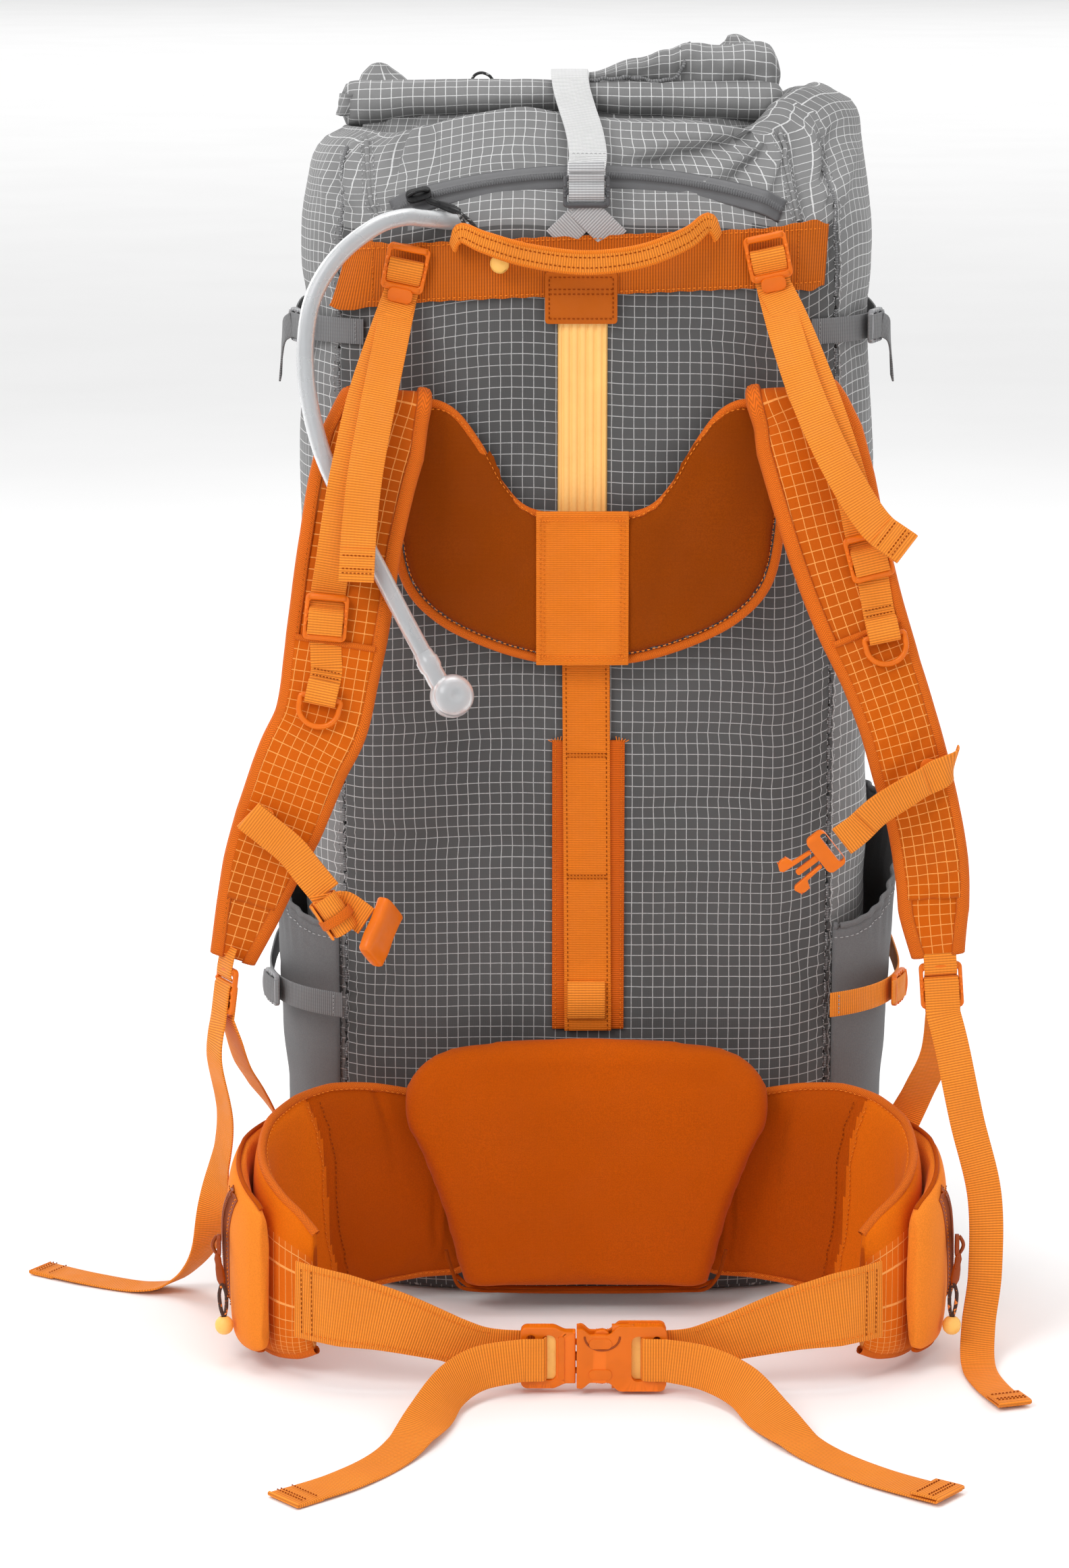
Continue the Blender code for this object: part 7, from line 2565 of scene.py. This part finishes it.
def make_wings():
    """Each hip wing with its panels, bound edge, zipped pocket and bead."""
    for name, side in SIDES:
        rows, centres, outs = wing_loft(
            side, 0.0, 1.0, 110, WING_THICKNESS - 0.0018, 0.0, 0.985, WING_HEIGHTS
        )

        def zone(r, c):
            share = r / 109
            angle = 2 * math.pi * (c + 0.5) / 56
            inner = math.cos(angle) < 0.12
            height = math.sin(angle)
            if not inner:
                return 2 if share > 0.86 and height < 0.35 else 1
            if share - 0.06 * height < DARK_PANEL:
                return 0
            if height < 0.30 - ((share - 0.86) / 0.17) ** 2:
                return 2
            return 1

        def dips(k, a):
            share = k / 109
            angle = 2 * math.pi * a / 56
            if math.cos(angle) > 0:
                return 0.0
            height = math.sin(angle)
            seam = fold(share - 0.06 * height, DARK_PANEL, 0.010) * 0.0018
            seam += fold(height, 0.30 - ((share - 0.86) / 0.17) ** 2, 0.05) * ease(0.62, 0.70, share) * 0.0014
            dart = fold(share - 0.20 - 0.05 * height, 0.0, 0.012) * ease(-0.2, 0.5, height) * 0.0016
            return seam + dart
        for k, row in enumerate(rows):
            for a, point in enumerate(row):
                row[a] = point + outs[k] * (dips(k, a) + 0.0008 * noise.noise(point * 24))

        def build(work):
            capped_lattice(work, rows, lambda i, j, r, c: (0.0049 * j, 0.0032 * i), zone, outward=True)
        wing = add(
            "hip_wing_pad_" + name, mesh_of("wing", build),
            ["wing_inner", "wing_band", "pocket_cloth"]
        )
        simulate(wing, 2.5, 0.0022, frames=10, outward_cap=lambda p: 0.0006, bending=1.5)
        subdivided(wing)
        wing.data.shade_smooth()
        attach(wing, "root")
        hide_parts("hip_wing_" + name)

        parts = []
        for a in (14, 42):
            line = [row[a] for row in rows]
            turned, runs = tube_rows(line, 0.0026, 10, 1.0, (0, 0, 1))
            mesh = mesh_of(
                "bind",
                lambda work: lattice(work, turned, True, lambda i, j, r, c: (0.0016 * j, runs[i]))
            )
            parts.append(add("bind", mesh, "binding"))
        for a in (17, 39):
            line = [row[a] + (row[a] - centres[k]).normalized() * 0.0009 for k, row in enumerate(rows)]
            parts.append(
                stitches("row", line[4:-4], [(-outs[k]) for k in range(4, 106, 10)], "thread_orange", 0.0034)
            )
        for shift in (-2, 3):
            line = []
            for a in range(19, 38):
                height = math.sin(2 * math.pi * a / 56)
                k = int((DARK_PANEL + 0.06 * height) * 109) + shift
                line.append(rows[k][a] - outs[k] * 0.0012)
            parts.append(
                stitches("seam", line, -outs[36], "thread_dark" if shift < 0 else "thread_orange", 0.0030)
            )
        patch = []
        for k in range(76, 109):
            rise = 0.30 - ((k / 109 - 0.86) / 0.17) ** 2
            spot = 28 - math.degrees(math.asin(max(min(rise, 1.0), -0.9))) / 360 * 56
            low = int(spot)
            patch.append(rows[k][low].lerp(rows[k][low + 1], spot - low) - outs[k] * 0.0012)
        parts.append(
            ribbon(
                "patch_edge", smooth_path(patch[::4] + [patch[-1]], 50), 0.0042, (0, 0, 1),
                "binding", columns=3, thickness=0.0008
            )
        )
        joined("hip_wing_trim_" + name, parts, "root", "wing_fabric")
        make_pouch(name, side)


def make_pouch(name, side):
    """The zipped pocket on a wing, with its curved zip and piped edges."""
    rows, _, _ = wing_loft(side, 0.405, 0.905, 64, 0.0140, WING_THICKNESS / 2 + 0.0068, 0.97,
                                    [0.086, 0.110, 0.112, 0.104, 0.088])

    def build(work):
        capped_lattice(work, rows, lambda i, j, r, c: (0.004 * j, 0.0032 * i), outward=True)
    pouch = add("hip_pocket_" + name, mesh_of("pouch", build), "pouch")
    for vert in pouch.data.vertices:
        vert.co += vert.normal * (0.0014 * noise.noise(vert.co * 26) - 0.0004)
    simulate(pouch, 3.0, 0.0030, frames=12, outward_cap=lambda p: 0.0008, bending=0.8)
    subdivided(pouch)
    pouch.data.shade_smooth()
    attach(pouch, "root")
    tree = surface_tree(pouch)
    at = Vector((side * 0.2130, -0.2310, 0.0700))
    track = Vector((side * -0.171, -0.47, 0.866)).normalized()
    guide = smooth_path([
        (side * 0.24, -0.2050, 0.0260), (side * 0.24, -0.2175, 0.0400), (side * 0.24, at.y, at.z),
        (side * 0.24, at.y + track.y * 0.030, at.z + track.z * 0.030), (side * 0.24, -0.2500, 0.1040),
    ], 70)
    line, facing = [], []
    for point in guide:
        found, normal, _, _ = tree.ray_cast(point, Vector((-side, 0.30, 0)).normalized())
        if found is not None:
            line.append(found + normal * 0.0004)
            facing.append(normal)
    line = smooth_path(line[::6] + [line[-1]], 60)
    facing = [f.normalized() for f in fade(facing[::6] + [facing[-1]], 60)]
    sideways = []
    for k in range(60):
        ahead = (line[min(k + 1, 59)] - line[max(k - 1, 0)]).normalized()
        sideways.append(ahead.cross(facing[k]).normalized())
    parts = tape_parts(line, sideways, facing, 0.0125, "orange_zip", "thread_orange", 0.0014)
    for k, end in ((0, line[0]), (59, line[-1])):
        tack = [end + sideways[k] * d + facing[k] * 0.0028 for d in (-0.0045, 0.0, 0.0045)]
        parts.append(stitches("stop", tack, facing[k], "thread_dark", 0.0014))
    joined("hip_pocket_zip_" + name, parts, "root", "wing_fabric")
    trims = []
    for a in (14, 42):
        edge = [row[a] for row in rows[2:-2]]
        trims.append(tube("piping", edge, 0.0014, "wing_inner", 8))
    joined("hip_pocket_piping_" + name, trims, "root", "wing_fabric")
    turned = Matrix.Translation(at) @ Matrix.Rotation(
        math.radians(90) * side, 4, "Z"
    ) @ Matrix.Rotation(math.radians(90), 4, "Y")
    slider = slider_parts(
        turned, (0.0130, 0.0046, 0.0076),
        (at + Vector((side * 0.0020, -0.003, -0.004)), at + Vector((-side * 0.001, -0.006, -0.022))),
        (at + Vector((-side * 0.001, -0.006, -0.021)), at + Vector((-side * 0.002, -0.008, -0.042))),
        at + Vector((-side * 0.002, -0.008, -0.046)), "dark_orange_plastic", "bead", (0, -1, 0),
    )
    joined("hip_zip_moulding_" + name, slider, "hip_zip_" + name, "zip_hardware", ("hip_zip_slider_" + name,))


def surface_tree(piece):
    """A piece's surface, ready for finding points on it."""
    from mathutils.bvhtree import BVHTree
    bpy.context.view_layer.update()
    return BVHTree.FromPolygons(
        [v.co.copy() for v in piece.data.vertices], [tuple(p.vertices) for p in piece.data.polygons]
    )


def outline_plate(work, half_height, low_x, high_x, y, thickness, holes, steps=48):
    """A plate whose half height changes along X, with rounded slots."""
    top = []
    for k in range(steps + 1):
        x = low_x + (high_x - low_x) * k / steps
        top.append((x, half_height(x)))
    loops = [top + [(x, -z) for x, z in reversed(top)]]
    for x, w, h in holes:
        r = w * 0.46
        hole = []
        for cx, cz, a in (
            (w / 2 - r, h / 2 - r, 0), (r - w / 2, h / 2 - r, 90), (r - w / 2, r - h / 2, 180),
            (w / 2 - r, r - h / 2, 270)
        ):
            for s in range(6):
                t = math.radians(a + 18 * s)
                hole.append((x + cx + r * math.cos(t), cz + r * math.sin(t)))
        loops.append(hole)
    filled_plate(work, loops, y, thickness)


def slot_painted_highlight(matrix, x):
    """The pale plate in a slot of the belt buckle: a painted highlight, standing for light off the webbing
    inside the slot.
    """
    # Painted highlight: this plate stands for light off the webbing in the slot
    def lining(work):
        rounded_plate(work, 0.0080, 0.0262, 0.0008, 0.0010, [])
    return moulding("pale", matrix @ Matrix.Translation((x, -0.0014, 0)), "bead", lining, 0.0003)


def make_waist_buckle():
    """The side release buckle on the belt's centre."""
    matrix = frame_at((0.0030, BELT_Y, BUCKLE_Z))
    slots = [(0.0252, 0.0082, 0.0270), (0.0355, 0.0046, 0.0270)]

    def female_half(x):
        corner = 0.0040
        half = 0.0193 - 0.0052 * ease(
            -0.0085, -0.0020, x
        ) * ease(0.0150, 0.0075, x) - 0.0020 * ease(-0.004, -0.010, x)
        if x > 0.041 - corner:
            half -= corner - math.sqrt(max(corner ** 2 - (x - 0.041 + corner) ** 2, 0))
        return half

    def male_half(x):
        corner = 0.0040
        half = 0.0182 - 0.0030 * ease(-0.024, -0.0155, x)
        if x < -0.042 + corner:
            half -= corner - math.sqrt(max(corner ** 2 - (-0.042 + corner - x) ** 2, 0))
        return half
    parts = []
    for y in (-0.0046, 0.0046):
        def plate(work, y=y):
            outline_plate(work, female_half, -0.0100, 0.0410, y, 0.0028, slots)
        parts.append(moulding("plate", matrix, "orange_plastic", plate, 0.0009))

    def core(work):
        outline_plate(work, lambda x: female_half(x) - 0.0006, 0.0195, 0.0405, 0, 0.0068, slots)
    parts.append(moulding("core", matrix, "orange_plastic", core, 0.0006))

    def rail(work):
        for sign in (-1, 1):
            for low, high in ((0.0100, 0.0225),):
                path = [Vector((low + (high - low) * k / 8, 0, sign * 0.0166)) for k in range(9)]
                rows, _ = tube_rows(path, 0.0026, 10, 1.3, (0, 1, 0))
                capped_lattice(work, rows)
    parts.append(add("rails", mesh_of("rails", rail), "orange_plastic", matrix=matrix))

    def crest(work):
        rounded_plate(work, 0.0130, 0.0060, 0.0010, 0.0028, [])
    for sign in (-1, 1):
        at = matrix @ Matrix.Translation((0.0035, -0.0061, sign * 0.0092))
        parts.append(moulding("crest", at, "orange_plastic", crest, 0.0005))
    # A thin arc of darker plastic round the tongue: painted shade in the recess round it
    ridge = []
    for k in range(41):
        a = math.pi + math.pi * k / 40
        ridge.append(matrix @ Vector((0.0045 + 0.0100 * math.cos(a), -0.0060, 0.0136 + 0.0082 * math.sin(a))))
    parts.append(tube("tongue_recess_painted_shade", ridge, 0.0006, "dark_orange_plastic", 8))
    # A pale plate in the slot: a painted highlight
    parts.append(slot_painted_highlight(matrix, 0.0252))
    joined("waist_buckle_socket", parts, "root", "buckle_orange", ("waist_buckle_female",))

    parts = []

    def male(work):
        outline_plate(
            work, male_half, -0.0420, -0.0106, 0, 0.0080,
            [(-0.0360, 0.0046, 0.0270), (-0.0258, 0.0080, 0.0270)]
        )
    parts.append(moulding("frame", matrix, "orange_plastic", male, 0.0011))

    def guide(work):
        rounded_plate(work, 0.0240, 0.0042, 0.0040, 0.0018, [])
    parts.append(
        moulding("guide", matrix @ Matrix.Translation((-0.0035, 0, 0)), "orange_plastic", guide, 0.0008)
    )

    def lip(work):
        rounded_plate(work, 0.0035, 0.0260, 0.0010, 0.0016, [])
    parts.append(
        moulding("lip", matrix @ Matrix.Translation((-0.0188, -0.0043, 0)), "orange_plastic", lip, 0.0004)
    )
    # A pale plate in the slot: a painted highlight
    parts.append(slot_painted_highlight(matrix, -0.0258))
    joined("waist_buckle_plug", parts, "root", "buckle_orange", ("waist_buckle_male",))
    for part, sign in (("upper", 1), ("lower", -1)):
        prong_piece("waist_prong_" + part + "_arm", matrix, (-0.0140, 0, sign * 0.0065), 0.024, sign, 1.0,
                    "waist_arm_" + part, "waist_prong_" + part)


def make_belt_webbing():
    """Webbing from each wing through the buckle, ending in a loose tail."""
    matrix = frame_at((0.0030, BELT_Y, BUCKLE_Z))
    bars = {"left": -0.03175, "right": 0.03125}
    tails = {
        "left": [
            (-0.0620, -0.2990, 0.0190), (-0.0780, -0.3180, 0.0150), (-0.0900, -0.3480, 0.0080),
            (-0.1080, -0.3900, 0.0014), (-0.1330, -0.4270, 0.0014), (-0.1640, -0.4560, 0.0020),
        ],
        "right": [
            (0.0660, -0.2990, 0.0190), (0.0860, -0.3180, 0.0150), (0.1010, -0.3450, 0.0070),
            (0.1220, -0.3820, 0.0014), (0.1520, -0.4200, 0.0014), (0.1900, -0.4520, 0.0020),
        ],
    }
    for name, side in SIDES:
        sewn = [
            (side * 0.1680, -0.2680, 0.0500), (side * 0.1590, -0.2740, 0.0495),
            (side * 0.1430, -0.2810, 0.0480), (side * 0.1150, -0.2850, 0.0430),
            (side * 0.0850, -0.2830, 0.0330), (side * 0.0620, -0.2795, 0.0240),
        ]
        x, out = bars[name], 0.0073
        turn = [
            (x + side * 0.0090, out), (x - side * 0.0014, out), (x - side * 0.0036, out - 0.0015),
            (x - side * 0.0043, 0.0), (x - side * 0.0036, 0.0015 - out), (x - side * 0.0014, -out),
            (x + side * 0.0090, -out - 0.0005),
        ]
        loop = [matrix @ Vector((px, py, 0)) for px, py in turn]
        worn = smooth_path(sewn + [loop[0]], 60) + smooth_path(loop, 26)[1:-1]
        tail = smooth_path([loop[-1]] + tails[name], 80)
        up, lying = Vector((0, 0, 1)), Vector((side * 0.75, 0.66, 0))
        across = [up] * len(worn) + fade([up, up * 0.8 + lying * 0.5, lying, lying, lying], len(tail))
        path = worn + tail
        share = 60 / len(path)
        width = [0.046, 0.044, 0.036, 0.0275] + [BELT_WIDTH] * 9
        parts = [ribbon("belt", path, width, across, "webbing", columns=9, crown=0.0005)]
        parts += tail_end([p + Vector((0, 0, 0.0008)) for p in path], lying, BELT_WIDTH, "webbing")
        for d in (2, 5):
            centre = path[d]
            line = [centre + Vector((0, -0.0012, h)) for h in (-0.019, 0.0, 0.019)]
            parts.append(stitches("tack", line, (side * 0.4, -0.9, 0), "thread_dark", 0.0026))
        for h in (-0.42, 0.42):
            line = []
            for k in range(3, int(share * len(path)) - 8):
                half = spread(width, k / (len(path) - 1))
                line.append(path[k] + Vector((0, -0.0010, half * h)))
            parts.append(stitches("edge", line, (side * 0.2, -1, 0), "thread_orange", 0.0030))
        joined("belt_webbing_" + name, parts, "root", "webbing_orange", ("waist_webbing_" + name,))


make_stage()
make_hose()
make_bag()
make_roll()
make_yoke_band()
make_strips()
make_handle()
make_top_strap()
make_main_zip()
make_pockets()
make_side_straps()
make_inside()
make_yoke()
for strap_name, strap_side in SIDES:
    make_shoulder_strap(strap_name, strap_side)
make_load_lifters()
make_rings()
make_strap_ends()
make_chest_strap()
make_lumbar()
make_wings()
make_waist_buckle()
make_belt_webbing()
